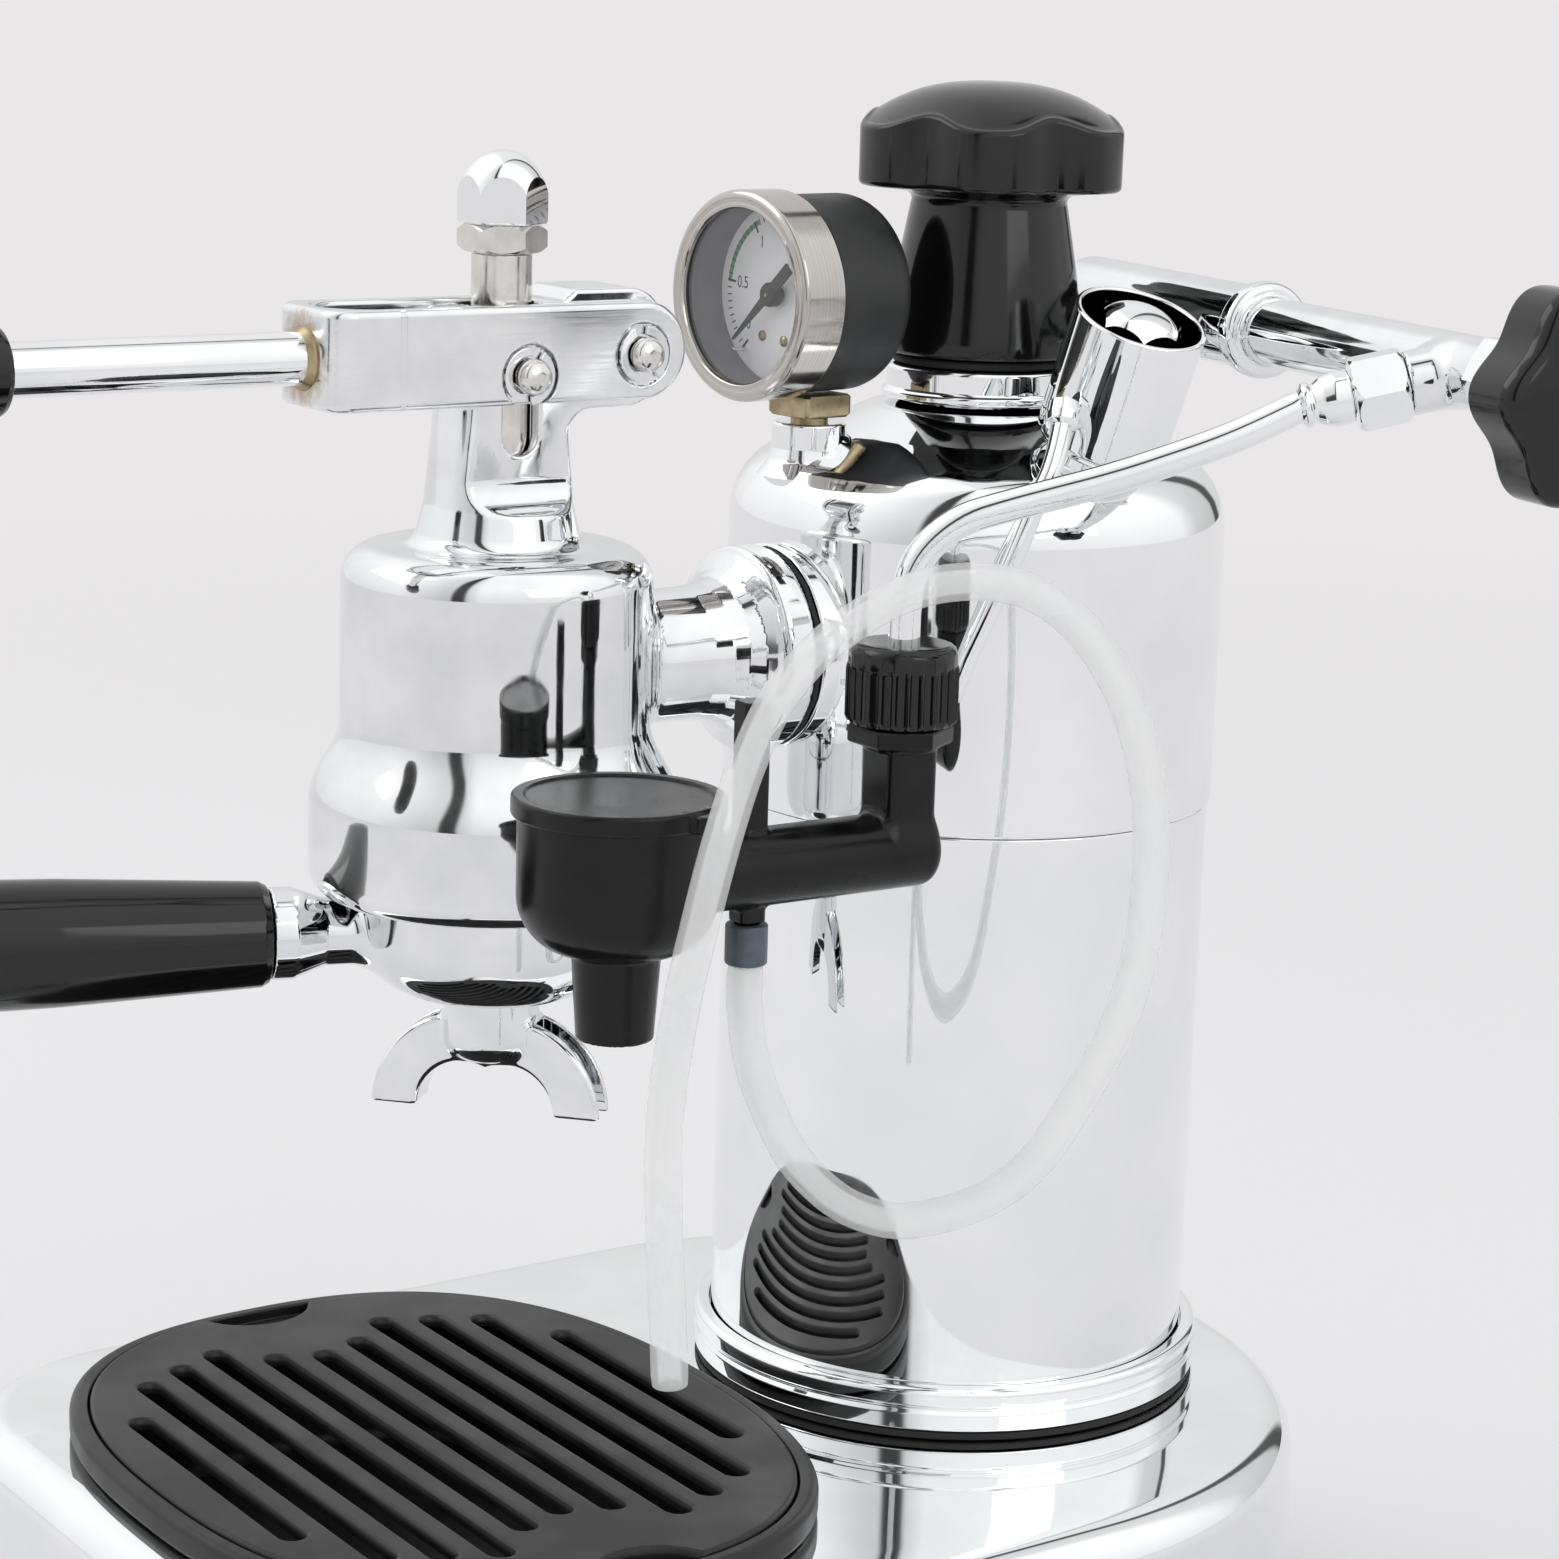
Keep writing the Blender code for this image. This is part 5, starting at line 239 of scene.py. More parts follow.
# Stoved enamel on the pressed gauge case: flat black with a fine orange peel
stovedEnamel = mouldedPlastic("stoved_enamel_matt", {
    "tones": ("#242526", "#2C2D2E"), "roughness": (0.45, 0.58), "ior": 1.5, "cloud": 8.0, "wave": 1.2,
    "waveHeight": 0.008, "grain": 0.22, "grainHeight": 0.004})

# Nitrile rubber, pressed: dead flat black that takes dust
pressedRubber = mouldedPlastic("pressed_nitrile_rubber", {
    "tones": ("#161616", "#212020"), "roughness": (0.62, 0.80), "ior": 1.52, "cloud": 5.0, "wave": 2.0,
    "waveHeight": 0.01, "grain": 0.3, "grainHeight": 0.006})

# Soft PVC sleeve: slate grey and slightly waxy
slatePvc = mouldedPlastic("extruded_soft_pvc", {
    "tones": ("#49535C", "#57616A"), "roughness": (0.38, 0.50), "ior": 1.53, "cloud": 4.0, "wave": 1.5,
    "waveHeight": 0.008, "grain": 0.25, "grainHeight": 0.003})

# Painted shade in the gauge's well: grey stands for the shade on the wall between dial and glass, flat, with
# a little random unevenness
wellShadeGrey = mouldedPlastic("gauge_well_painted_shade_grey", {
    "tones": ("#78767A", "#838185"), "roughness": (0.45, 0.6), "ior": 1.5, "cloud": 6.0, "wave": 2.0,
    "waveHeight": 0.006, "grain": 0.3, "grainHeight": 0.002})

# White stoved enamel of the dial, with a faint tooth, and its two printing inks
dialEnamel = mouldedPlastic("printed_dial_enamel", {
    "tones": ("#FDFDFE", "#F7F8F9"), "roughness": (0.35, 0.45), "ior": 1.5, "cloud": 6.0, "wave": 3.0,
    "waveHeight": 0.004, "grain": 0.2, "grainHeight": 0.001})
blackInk = mouldedPlastic("screen_printed_black_ink", {
    "tones": ("#1B1C1E", "#262729"), "roughness": (0.42, 0.55), "ior": 1.5, "cloud": 2.0, "wave": 0.8,
    "waveHeight": 0.002, "grain": 0.2, "grainHeight": 0.001})
greenInk = mouldedPlastic("screen_printed_green_ink", {
    "tones": ("#4E9A6E", "#5CA67B"), "roughness": (0.42, 0.55), "ior": 1.5, "cloud": 2.0, "wave": 0.8,
    "waveHeight": 0.002, "grain": 0.2, "grainHeight": 0.001})


def extrudedSilicone():
    # Milky silicone: light soaks in, what is behind shows through a little, faint die lines run along it
    values = {"tones": ("#FFFFFD", "#F3FBFA"), "roughness": (0.20, 0.30), "ior": 1.41, "cloud": 22.0,
              "die": 0.9, "dieHeight": 0.004, "soak": 0.9, "cover": 0.34}
    made, tree, shader, place = startMaterial("extruded_silicone_milky", values)
    cloud = speckle(tree, place, values["cloud"])
    toneColour(tree, shader, between(tree, cloud, 0, 1), *values["tones"])
    tree.links.new(between(tree, cloud, *values["roughness"]), shader.inputs["Roughness"])
    shader.inputs["Subsurface Weight"].default_value = values["soak"]
    shader.inputs["Subsurface Radius"].default_value = (1.0, 1.1, 1.0)
    shader.inputs["Subsurface Scale"].default_value = 2.0 * mm
    shader.inputs["Alpha"].default_value = values["cover"]
    addBumps(tree, shader, [(speckle(tree, place, values["die"], 2.0, stretch=(1, 1, 0.05)),
        values["dieHeight"])])
    return made


def clearGlass(name, tone, roughness, cover):
    # Drawn or flat glass: clear, with a few greasy smears that catch the light
    made, tree, shader, place = startMaterial(name, {"roughness": (roughness, roughness + 0.06), "ior": 1.52})
    shader.inputs["Base Color"].default_value = linearColour(tone)
    shader.inputs["Alpha"].default_value = cover
    smear = speckle(tree, place, 6.0, stretch=(1, 1, 0.3))
    tree.links.new(between(tree, smear, roughness, roughness + 0.06), shader.inputs["Roughness"])
    addBumps(tree, shader, [(speckle(tree, place, 18.0, 1.0), 0.01)])
    return made


forkFinish = linishedCasting()
bezelSteel = turnedSteel()
milkSilicone = extrudedSilicone()
lensGlass = clearGlass("flat_float_glass", "#FCFDFD", 0.0, 0.05)
tubeGlass = clearGlass("drawn_borosilicate_glass", "#F4FAF8", 0.01, 0.3)
print("materials made")


# Mesh helpers

def steadyNormals(piece):
    # Flats beside a rounding keep their own normal
    steady = piece.modifiers.new("steady_normals", "WEIGHTED_NORMAL")
    steady.keep_sharp = True
    steady.weight = 80


def buildPiece(name, points, faces, look, body, stands=(), at=None, normals=None, crease=32):
    mesh = bpy.data.meshes.new(name)
    mesh.from_pydata((np.asarray(points, float) * mm).tolist(), [], faces)
    mesh.validate()
    mesh.shade_smooth()
    piece = bpy.data.objects.new(name, mesh)
    bpy.context.scene.collection.objects.link(piece)
    if normals is not None:
        mesh.normals_split_custom_set_from_vertices(normals.tolist())
    else:
        shape = bmesh.new()
        shape.from_mesh(mesh)
        bmesh.ops.recalc_face_normals(shape, faces=shape.faces)
        shape.to_mesh(mesh)
        shape.free()
        mesh.set_sharp_from_angle(angle=math.radians(crease))
        steadyNormals(piece)
    mesh.materials.append(look)
    if at is not None:
        piece.matrix_world = at
    if body:
        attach(piece, body)
    if stands:
        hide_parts(*stands)
    return piece


def softened(profile, closed):
    # Rounds each corner (radius, height, rounding) of a profile with an arc
    points = [Vector(p[:2]) for p in profile]
    softness = [p[2] if len(p) > 2 else 0.0 for p in profile]
    made = []
    count = len(points)
    for i, corner in enumerate(points):
        first, last = i == 0 and not closed, i == count - 1 and not closed
        if first or last or softness[i] == 0:
            made.append(tuple(corner))
            continue
        back = (points[i - 1] - corner).normalized()
        ahead = (points[(i + 1) % count] - corner).normalized()
        half = back.angle(ahead) / 2
        reach = softness[i] / math.tan(half)
        reach = min(reach, (points[i - 1] - corner).length * 0.499,
            (points[(i + 1) % count] - corner).length * 0.499)
        radius = reach * math.tan(half)
        centre = corner + (back + ahead).normalized() * (radius / math.sin(half))
        start, end = corner + back * reach - centre, corner + ahead * reach - centre
        sweep = start.angle_signed(end)
        steps = max(3, int(abs(math.degrees(sweep)) / 11))
        for step in range(steps + 1):
            angle = -sweep * step / steps
            made.append((centre.x + start.x * math.cos(angle) - start.y * math.sin(angle),
                centre.y + start.x * math.sin(angle) + start.y * math.cos(angle)))
    return made


def circleRow(radius, height, steps):
    return [(radius * math.cos(math.tau * i / steps), radius * math.sin(math.tau * i / steps), height)
            for i in range(steps)]


def ringed(name, profile, look, body, stands=(), at=None, steps=128, rounded=True, crease=32):
    # Turns a profile about Z; ends on the axis close it, otherwise the profile closes itself
    closed = not any(abs(profile[i][0]) < 1e-6 for i in (0, -1))
    rows = softened(profile, closed) if rounded else [p[:2] for p in profile]
    points, faces, starts = [], [], []
    for radius, height in rows:
        starts.append(len(points))
        points += [(0, 0, height)] if radius < 1e-6 and not closed else circleRow(radius, height, steps)
    pairs = list(zip(range(len(rows)), range(1, len(rows)))) + ([(len(rows) - 1, 0)] if closed else [])
    for low, high in pairs:
        a, b = starts[low], starts[high]
        single = [rows[i][0] < 1e-6 and not closed for i in (low, high)]
        for i in range(steps):
            j = (i + 1) % steps
            if single[0]:
                faces.append((a, b + j, b + i))
            elif single[1]:
                faces.append((a + i, a + j, b))
            else:
                faces.append((a + i, a + j, b + j, b + i))
    return buildPiece(name, points, faces, look, body, stands, at, crease=crease)


def loopFaces(count, steps, closed=True):
    # Quads between rings of points; closed also joins the last ring to the first
    return [(k * steps + i, k * steps + (i + 1) % steps, (k + 1) % count * steps + (i + 1) % steps,
        (k + 1) % count * steps + i) for k in range(count if closed else count - 1) for i in range(steps)]


def stacked(name, rows, look, body, stands=(), at=None, crease=32):
    # Joins rings of equally many points and closes both ends to a middle point
    points = [tuple(p) for row in rows for p in row]
    count = len(rows[0])
    faces = loopFaces(len(rows), count, closed=False)
    for k in (0, len(rows) - 1):
        points.append(tuple(sum((Vector(p) for p in rows[k]), Vector((0, 0, 0))) / count))
        faces += [(k * count + i, k * count + (i + 1) % count, len(points) - 1) for i in range(count)]
    return buildPiece(name, points, faces, look, body, stands, at, crease=crease)


def smoothRoute(points, spacing):
    # Points at a steady spacing on a smooth curve through a route
    path = [Vector(p) for p in points]
    ends = [path[0] * 2 - path[1]] + path + [path[-1] * 2 - path[-2]]
    fine = []
    for a, b, c, d in zip(ends, ends[1:], ends[2:], ends[3:]):
        for step in range(24):
            t = step / 24
            fine.append(0.5 * (2 * b + (c - a) * t + (2 * a - 5 * b + 4 * c - d) * t * t
                + (3 * b - a - 3 * c + d) * t ** 3))
    fine.append(path[-1])
    length = sum((q - p).length for p, q in zip(fine, fine[1:]))
    count = round(length / spacing)
    chosen, gone = [fine[0]], 0.0
    for p, q in zip(fine, fine[1:]):
        gone += (q - p).length
        if gone >= length * len(chosen) / count and len(chosen) < count:
            chosen.append(q)
    return chosen + [fine[-1]]


def tubeRows(path, radii, sides):
    # Round sections along a path, carried without twist
    heading = (path[1] - path[0]).normalized()
    side = heading.orthogonal().normalized()
    rows = []
    for i, point in enumerate(path):
        heading = (path[min(i + 1, len(path) - 1)] - path[max(i - 1, 0)]).normalized()
        side = (side - heading * side.dot(heading)).normalized()
        up = heading.cross(side)
        rows.append([point + (side * math.cos(math.tau * k / sides)
            + up * math.sin(math.tau * k / sides)) * radii[i] for k in range(sides)])
    return rows


# Rounded solids: each shape is a distance in millimetres, and skinOf finds where it is zero

def both(a, b, soft=0.0):
    return np.minimum(-soft, np.maximum(a, b)) + np.hypot(np.maximum(soft + a, 0), np.maximum(soft + b, 0))


def either(a, b, soft=0.0):
    return -both(-a, -b, soft)


def without(a, b, soft=0.0):
    return both(a, -b, soft)


def slab(level, low, high):
    return np.maximum(low - level, level - high)


def pad(x, y, half, soft):
    # A square of the given half width, grown by soft, which rounds its corners
    return np.hypot(np.maximum(np.abs(x) - half, 0), np.maximum(np.abs(y) - half, 0)) - soft


def barrel(p, start, direction, low, high, radius, soft=0.0):
    # A round bar along a direction from start; radius may change along it
    q = p - np.asarray(start, float)
    along = q @ np.asarray(direction, float)
    reach = np.sqrt(np.maximum((q * q).sum(-1) - along ** 2, 0))
    size = radius(along) if callable(radius) else radius
    return both(reach - size, slab(along, low, high), soft)


def turnFrom(x, y, middle):
    # Degrees between a point's heading and the middle heading
    return np.abs((np.degrees(np.arctan2(y, x)) - middle + 180) % 360 - 180)


def hexagon(x, y, corner):
    # Distance to a hexagon whose corners lie corner millimetres out
    flat = corner * math.cos(math.pi / 6)
    return np.max([np.abs(x * math.cos(a) + y * math.sin(a)) for a in (math.pi / 6, math.pi / 2,
        math.pi * 5 / 6)], axis=0) - flat


def skinOf(name, distance, low, high, cell, look, body, stands=(), at=None):
    # One point in each crossed cell of a grid, drawn onto the surface, joined across each crossed grid edge
    axes = [np.arange(l - cell, h + 2 * cell, cell) for l, h in zip(low, high)]
    grid = np.stack(np.meshgrid(*axes, indexing="ij"), -1)
    inside = distance(grid) < 0
    shape = np.array(inside.shape)
    total = np.zeros(tuple(shape - 1), int)
    for i in (0, 1):
        for j in (0, 1):
            for k in (0, 1):
                total += inside[i:shape[0] - 1 + i, j:shape[1] - 1 + j, k:shape[2] - 1 + k]
    active = (total > 0) & (total < 8)
    number = np.full(total.shape, -1)
    number[active] = np.arange(active.sum())
    cells = np.argwhere(active)
    points = np.stack([axes[a][cells[:, a]] for a in range(3)], -1) + cell / 2
    home = points.copy()

    def slope(at):
        step = cell * 0.02
        return np.stack([(distance(at + e) - distance(at - e)) / (2 * step) for e in np.eye(3) * step], -1)

    for move in range(12):
        grade = slope(points)
        size = np.maximum((grade ** 2).sum(-1), 0.05)
        points = points - (distance(points) / size)[:, None] * grade
        points = home + np.clip(points - home, -cell * 1.1, cell * 1.1)
    normals = slope(points)
    normals /= np.maximum(np.linalg.norm(normals, axis=1), 1e-9)[:, None]
    faces = []
    for a in range(3):
        b, c = (a + 1) % 3, (a + 2) % 3
        near, far = [slice(None)] * 3, [slice(None)] * 3
        near[a], far[a] = slice(0, -1), slice(1, None)
        crossed = inside[tuple(near)] != inside[tuple(far)]
        spots = np.argwhere(crossed)
        keep = (spots[:, b] > 0) & (spots[:, c] > 0) & (spots[:, b] < shape[b] - 1) & (spots[:,
            c] < shape[c] - 1)
        spots = spots[keep]
        corners = []
        for back, side in ((0, 0), (1, 0), (1, 1), (0, 1)):
            spot = spots.copy()
            spot[:, b] -= back
            spot[:, c] -= side
            corners.append(number[tuple(spot.T)])
        quads = np.stack(corners, -1)
        outward = inside[tuple(spots.T)]
        quads[~outward] = quads[~outward][:, ::-1]
        faces += quads.tolist()
    return buildPiece(name, points, faces, look, body, stands, at, normals=normals)


def carved(piece, tools):
    # Cuts tools out of a piece and keeps only the result
    for tool in tools:
        cutter = piece.modifiers.new(tool.name, "BOOLEAN")
        cutter.operation = "DIFFERENCE"
        cutter.solver = "EXACT"
        cutter.object = tool
    piece.modifiers.remove(piece.modifiers["steady_normals"])
    bpy.context.view_layer.update()
    result = bpy.data.meshes.new_from_object(piece.evaluated_get(bpy.context.evaluated_depsgraph_get()))
    piece.modifiers.clear()
    piece.data = result
    for tool in tools:
        bpy.data.objects.remove(tool)
    result.shade_smooth()
    result.set_sharp_from_angle(angle=math.radians(32))
    steadyNormals(piece)


def hexReach(flat, angle):
    # How far out a hexagon's side lies at this angle
    return flat / math.cos((angle % (math.pi / 3)) - math.pi / 6)


def hexNut(name, nut, look, body, stands=(), at=None, steps=120):
    # Bored hexagon with turned-off corners: each corner's chamfer runs down the flats as an arc
    flat = nut["corner"] * math.cos(math.pi / 6)
    land = flat * 0.985
    sides = [(math.cos(math.tau * i / steps), math.sin(math.tau * i / steps),
        hexReach(flat, math.tau * i / steps)) for i in range(steps)]

    def level(reach, drop):
        return drop * max(reach - land, 0) / (nut["corner"] - land)

    mouth = [[(c * wide, s * wide) for c, s, reach in sides] for wide in (nut["bore"], land)]
    rows = [[(x, y, nut["high"]) for x, y in row] for row in mouth]
    for share in (0.35, 0.7, 1.0):
        spread = [(c, s, land + (reach - land) * share) for c, s, reach in sides]
        rows.append([(c * wide, s * wide, nut["high"] - level(wide, nut["drop"])) for c, s, wide in spread])
    rows.append([(c * reach, s * reach, nut["low"] + level(reach, nut["foot"])) for c, s, reach in sides])
    rows += [[(x, y, nut["low"]) for x, y in row] for row in mouth[::-1]]
    return buildPiece(name, [p for row in rows for p in row], loopFaces(len(rows), steps), look, body,
        stands, at)


def domedNut(name, nut, body, stands, at, steps=144):
    # Closed hexagon whose dome meets each flat in an arc
    flat = nut["corner"] * math.cos(math.pi / 6)
    rows = []
    for k in range(1, 25):
        row = []
        for i in range(steps):
            angle = math.tau * i / steps
            reach = hexReach(flat, angle) * k / 24
            sink = nut["drop"] * (1 - math.sqrt(max(1 - (reach / nut["ball"]) ** 2, 0)))
            row.append((reach * math.cos(angle), reach * math.sin(angle), nut["top"] - sink))
        rows.append(row)
    low = nut["low"]
    ends = [(1, low + 0.4), (0.96, low), (0.6, low)] + ([(1, nut["stem"])] if "stem" in nut else [])
    for share, level in ends:
        rows.append([(x * share, y * share, level) for x, y, z in rows[-1]])
    stacked(name, rows, chromePlate, body, stands, at=at, crease=28)


# Camera, at the photograph's angle

def makeCamera():
    view = {"place": (0.59656, -0.46441, 0.33748), "turn": (77.654, -1.7053, 55.2973), "lens": 89.068}
    data = bpy.data.cameras.new("camera")
    data.lens = view["lens"]
    data.sensor_width = 36.0
    data.clip_start = 0.01
    camera = bpy.data.objects.new("camera", data)
    camera.location = view["place"]
    camera.rotation_euler = [math.radians(a) for a in view["turn"]]
    bpy.context.scene.collection.objects.link(camera)
    bpy.context.scene.camera = camera


makeCamera()


# Milk hose: the same route as its solid, from the collar round the loop to its open end

hose = {
    "outer": 3.2, "inner": 2.0, "spacing": 2.0, "sides": 40, "worn": 0.05,
    "route": (
        (70, -100.6, 164.7), (70, -100.6, 158), (71, -99.6, 148), (73, -97, 139), (76, -93, 130),
        (81, -87, 123), (86, -80, 120), (91, -74, 121), (97, -67, 125), (102, -61, 132),
        (107, -56, 144), (111, -51.5, 157), (113, -49, 170), (113.5, -48, 183), (113, -48.5, 197),
        (111, -51, 210), (108, -55, 220), (104, -60, 227.5), (99, -66, 232), (93, -73.5, 233),
        (87.5, -81, 231), (83.5, -88.5, 226.5), (81, -96, 220.5), (82.4, -104.8, 213), (89, -114.6, 205),
        (95.8, -122.6, 198), (97.6, -126.5, 190), (96, -128, 180), (92.6, -128.4, 168), (89, -128.2, 154),
        (86.4, -127.4, 142), (85, -126, 127), (85, -125, 113), (85, -124, 98)),
}


def makeHose():
    path = smoothRoute(hose["route"], hose["spacing"])
    outer, inner = [tubeRows(path, [hose[skin]] * len(path), hose["sides"]) for skin in ("outer", "inner")]
    # The outer edge at each end is slightly rounded where the knife left it
    for end in (0, -1):
        outer[end] = [p + (path[end] - p) * hose["worn"] for p in outer[end]]
    rows = outer + inner[::-1]
    piece = buildPiece("milk_hose_tube", [p for row in rows for p in row],
        loopFaces(len(rows), hose["sides"]), milkSilicone, "wand", ("milk_hose",), crease=50)


makeHose()


# Base shell, feet, switch and gland

base = {"halfWidth": 93.0, "front": -190.0, "corner": 42.0, "rearCentre": -28.0, "top": 53.0, "flare": 2.0,
        "fillet": 8.0, "wall": 2.0, "boilerOpening": 40.0, "footX": 66.0, "footFront": -160.0,
        "footRear": 15.0, "switchX": 37.0, "switchLevel": 27.0, "switchHole": (6.8, 9.9),
        "glandLevel": 15.0, "glandHole": 5.0}
tray = {"y": -120.0, "halfX": 78.0, "halfY": 61.5, "top": 59.3, "floor": 28.0, "wall": 1.6, "lip": 6.5,
        "rim": 3.4, "under": 53.3, "middle": 60.8, "ledge": 2.3, "power": 2.5, "grilleTop": 59.9,
        "pitch": 9.3, "slot": 2.2, "slotHalves": (46.3, 49.3, 57.0, 53.0, 48.0, 32.2), "notch": 12.0,
        "notchOut": 4.0}


def arcPoints(centre, radius, start, end, steps):
    angles = [math.radians(start + (end - start) * i / steps) for i in range(steps + 1)]
    return [(centre[0] + radius * math.cos(a), centre[1] + radius * math.sin(a)) for a in angles]


def baseRing(offset, height):
    cornerX, cornerY = base["halfWidth"] - base["corner"], base["front"] + base["corner"]
    flat = (arcPoints((-cornerX, cornerY), base["corner"] + offset, 180, 270, 24)
            + arcPoints((cornerX, cornerY), base["corner"] + offset, 270, 360, 24)
            + arcPoints((0, base["rearCentre"]), base["halfWidth"] + offset, 0, 180, 96))
    return [(x, y, height) for x, y in flat]


def ovalRow(inset, height, steps=200):
    made = []
    for i in range(steps):
        c, s = math.cos(math.tau * i / steps), math.sin(math.tau * i / steps)
        made.append(((tray["halfX"] - inset) * math.copysign(abs(c) ** (2 / tray["power"]), c),
            tray["y"] + (tray["halfY"] - inset) * math.copysign(abs(s) ** (2 / tray["power"]), s), height))
    return made


def makeBase():
    # Pressed shell: flared wall, rounded rim and a flat deck, closed all round and then opened by cutters
    wall, flare, top, fillet = base["wall"], base["flare"], base["top"], base["fillet"]
    profile = softened([(-fillet * 2, top - wall), (-wall - 0.3, top - wall, fillet - wall),
        (flare - wall, 0, 0.5), (flare, 0, 0.7), (-0.35, top, fillet + 0.5), (-fillet * 2, top)], False)
    shell = stacked("base_shell_body", [baseRing(*row) for row in profile], chromePlate, None)
    low, high = top - fillet, top + 4
    opening, bore = base["boilerOpening"], base["glandHole"]
    halfX, halfY = base["switchHole"]
    corners = ((-halfX, -halfY), (halfX, -halfY), (halfX, halfY), (-halfX, halfY))
    rear, front = base["rearCentre"] + base["halfWidth"], base["front"]
    tools = [
        ringed("boiler_hole", [(0, low), (opening, low), (opening, high), (0, high)], chromePlate, None,
               rounded=False, steps=96),
        stacked("tray_hole", [ovalRow(tray["lip"] - 0.8, level, 160) for level in (low, high)], chromePlate,
                None),
        ringed("gland_hole", [(0, -12), (bore, -12), (bore, 12), (0, 12)], chromePlate, None, rounded=False,
               at=frameAlong((0, rear, base["glandLevel"]), (0, 1, 0)), steps=40),
        stacked("switch_hole", [[(x, y, z) for x, y in corners] for z in (-8, 8)], chromePlate, None,
                at=frameAlong((base["switchX"], front, base["switchLevel"]), (0, -1, 0)))]
    carved(shell, tools)
    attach(shell, "machine")
    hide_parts("base_shell")


def makeFeet():
    # Turned rubber feet, a little dished underneath, with a soft edge
    for name, side, row in (("front_left", -1, "footFront"), ("front_right", 1, "footFront"),
                            ("rear_left", -1, "footRear"), ("rear_right", 1, "footRear")):
        ringed("rubber_foot_" + name, [(0, 0.5), (9, 0.5, 0.4), (8.7, -2.6), (7.5, -8, 1.2), (3.2, -8, 0.4),
            (2.8, -6.5, 0.4), (0, -6.5)], pressedRubber, "machine", ("foot_" + name,),
            at=upright(side * base["footX"], base[row]), steps=64)


def makeSwitch():
    # Rocker: two slopes meet in a shallow valley, with softened edges
    side = softened([(-8.0, -7), (8.0, -7), (9.0, 3.2, 1.1), (0, 1.4, 6.0), (-9.0, 3.2, 1.1)], True)
    rows = []
    for width, inset in ((-6.5, 0.5), (-6.2, 0.12), (-5.8, 0.0), (5.8, 0.0), (6.2, 0.12), (6.5, 0.5)):
        rows.append([(width, y * (1 - inset / 9), z - (inset if z > 0 else 0)) for y, z in side])
    tilt = Matrix.Rotation(math.radians(8), 4, "X") @ Matrix.Rotation(math.radians(90), 4, "X")
    stacked("switch_rocker", rows, mouldedPhenolic, "switch", ("power_switch",),
            at=upright(base["switchX"], base["front"], base["switchLevel"]) @ tilt)


def makeGland():
    wall = base["rearCentre"] + base["halfWidth"] + base["flare"]
    profile = [(3.0, wall - 4), (4.7, wall - 4, 0.4), (4.7, wall + 0.3), (8.0, wall + 0.3, 0.4),
        (8.0, wall + 2.6, 0.8)]
    for k in range(3):
        level = wall + 3.6 + 1.9 * k
        reach = 6.2 - 0.45 * k
        profile += [(4.6 - 0.2 * k, level - 0.5, 0.25), (reach, level, 0.3), (reach, level + 0.7, 0.3)]
    profile += [(4.5, wall + 9.3, 0.4), (3.0, wall + 9.3, 0.3)]
    ringed("gland_boot", profile, pressedRubber, "machine", ("cord_gland",),
           at=frameAlong((0, 0, base["glandLevel"]), (0, 1, 0)), steps=64)


makeBase()
makeFeet()
makeSwitch()
makeGland()
print("base made")


# Drip tray and its slotted cover

def makeTray():
    # Dish with a flanged rim; both of its skins end close to the middle line
    lip, rim, wall, top, low = (tray[key] for key in ("lip", "rim", "wall", "top", "floor"))
    seat, under, middle = top - tray["ledge"], tray["under"], tray["middle"]
    skin = softened([(middle, low), (lip + 0.5, low, 3.0), (lip, under, 0.3), (0, under, 1.7),
        (0, top, 2.2), (rim, top, 0.5), (rim, seat, 0.3), (lip + wall, seat, 0.5),
        (lip + wall + 0.5, low + wall, 3.0), (middle, low + wall)], False)
    stacked("drip_tray_bowl", [ovalRow(*row) for row in skin], erodedAbs, "tray", ("drip_tray",))


def grilleShape(p):
    # Oval plate with eleven round-ended slots and two finger notches, all with rounded top edges
    x, y, z = p[..., 0], p[..., 1] - tray["y"], p[..., 2]
    inset = tray["rim"] + 0.3
    size = ((np.abs(x) / (tray["halfX"] - inset)) ** tray["power"]
            + (np.abs(y) / (tray["halfY"] - inset)) ** tray["power"]) ** (1 / tray["power"])
    plate = np.hypot(x, y) * (1 - 1 / np.maximum(size, 1e-6))
    holes = np.hypot(np.abs(x) - (tray["halfX"] - inset + tray["notchOut"]), y) - tray["notch"]
    for row in range(-5, 6):
        half = tray["slotHalves"][abs(row)] - tray["slot"]
        past = np.maximum(np.abs(x) - half, 0)
        holes = np.minimum(holes, np.hypot(past, y - row * tray["pitch"]) - tray["slot"])
    plate = both(plate, z - tray["grilleTop"], 0.9)
    plate = both(plate, tray["top"] - tray["ledge"] + 0.3 - z)
    # The slots' mouths are eased over 1.4 mm
    return without(plate, both(holes - np.clip((z - tray["grilleTop"] + 1.5) * 0.35, 0, 0.5), z - 90), 0.5)


def makeGrille():
    skinOf("grille_plate", grilleShape, (-75, tray["y"] - 59, 57.0), (75, tray["y"] + 59, 60.2), 0.55,
           erodedAbs, "grille", ("drip_grille",))


makeTray()
makeGrille()
print("tray made")


# Boiler: foot gasket, foot ring, lower and upper shells, bosses

boiler = {"radius": 48.2, "seam": 172.5, "upper": 48.9, "shoulder": 228.0, "domeFoot": 39.0,
          "domeLevel": 242.3, "domeEdge": 22.0, "top": 250.0, "neckHole": 16.4, "foot": 51.6,
          "footHole": 42.0, "floorHole": 18.5, "nozzle": 204.7}


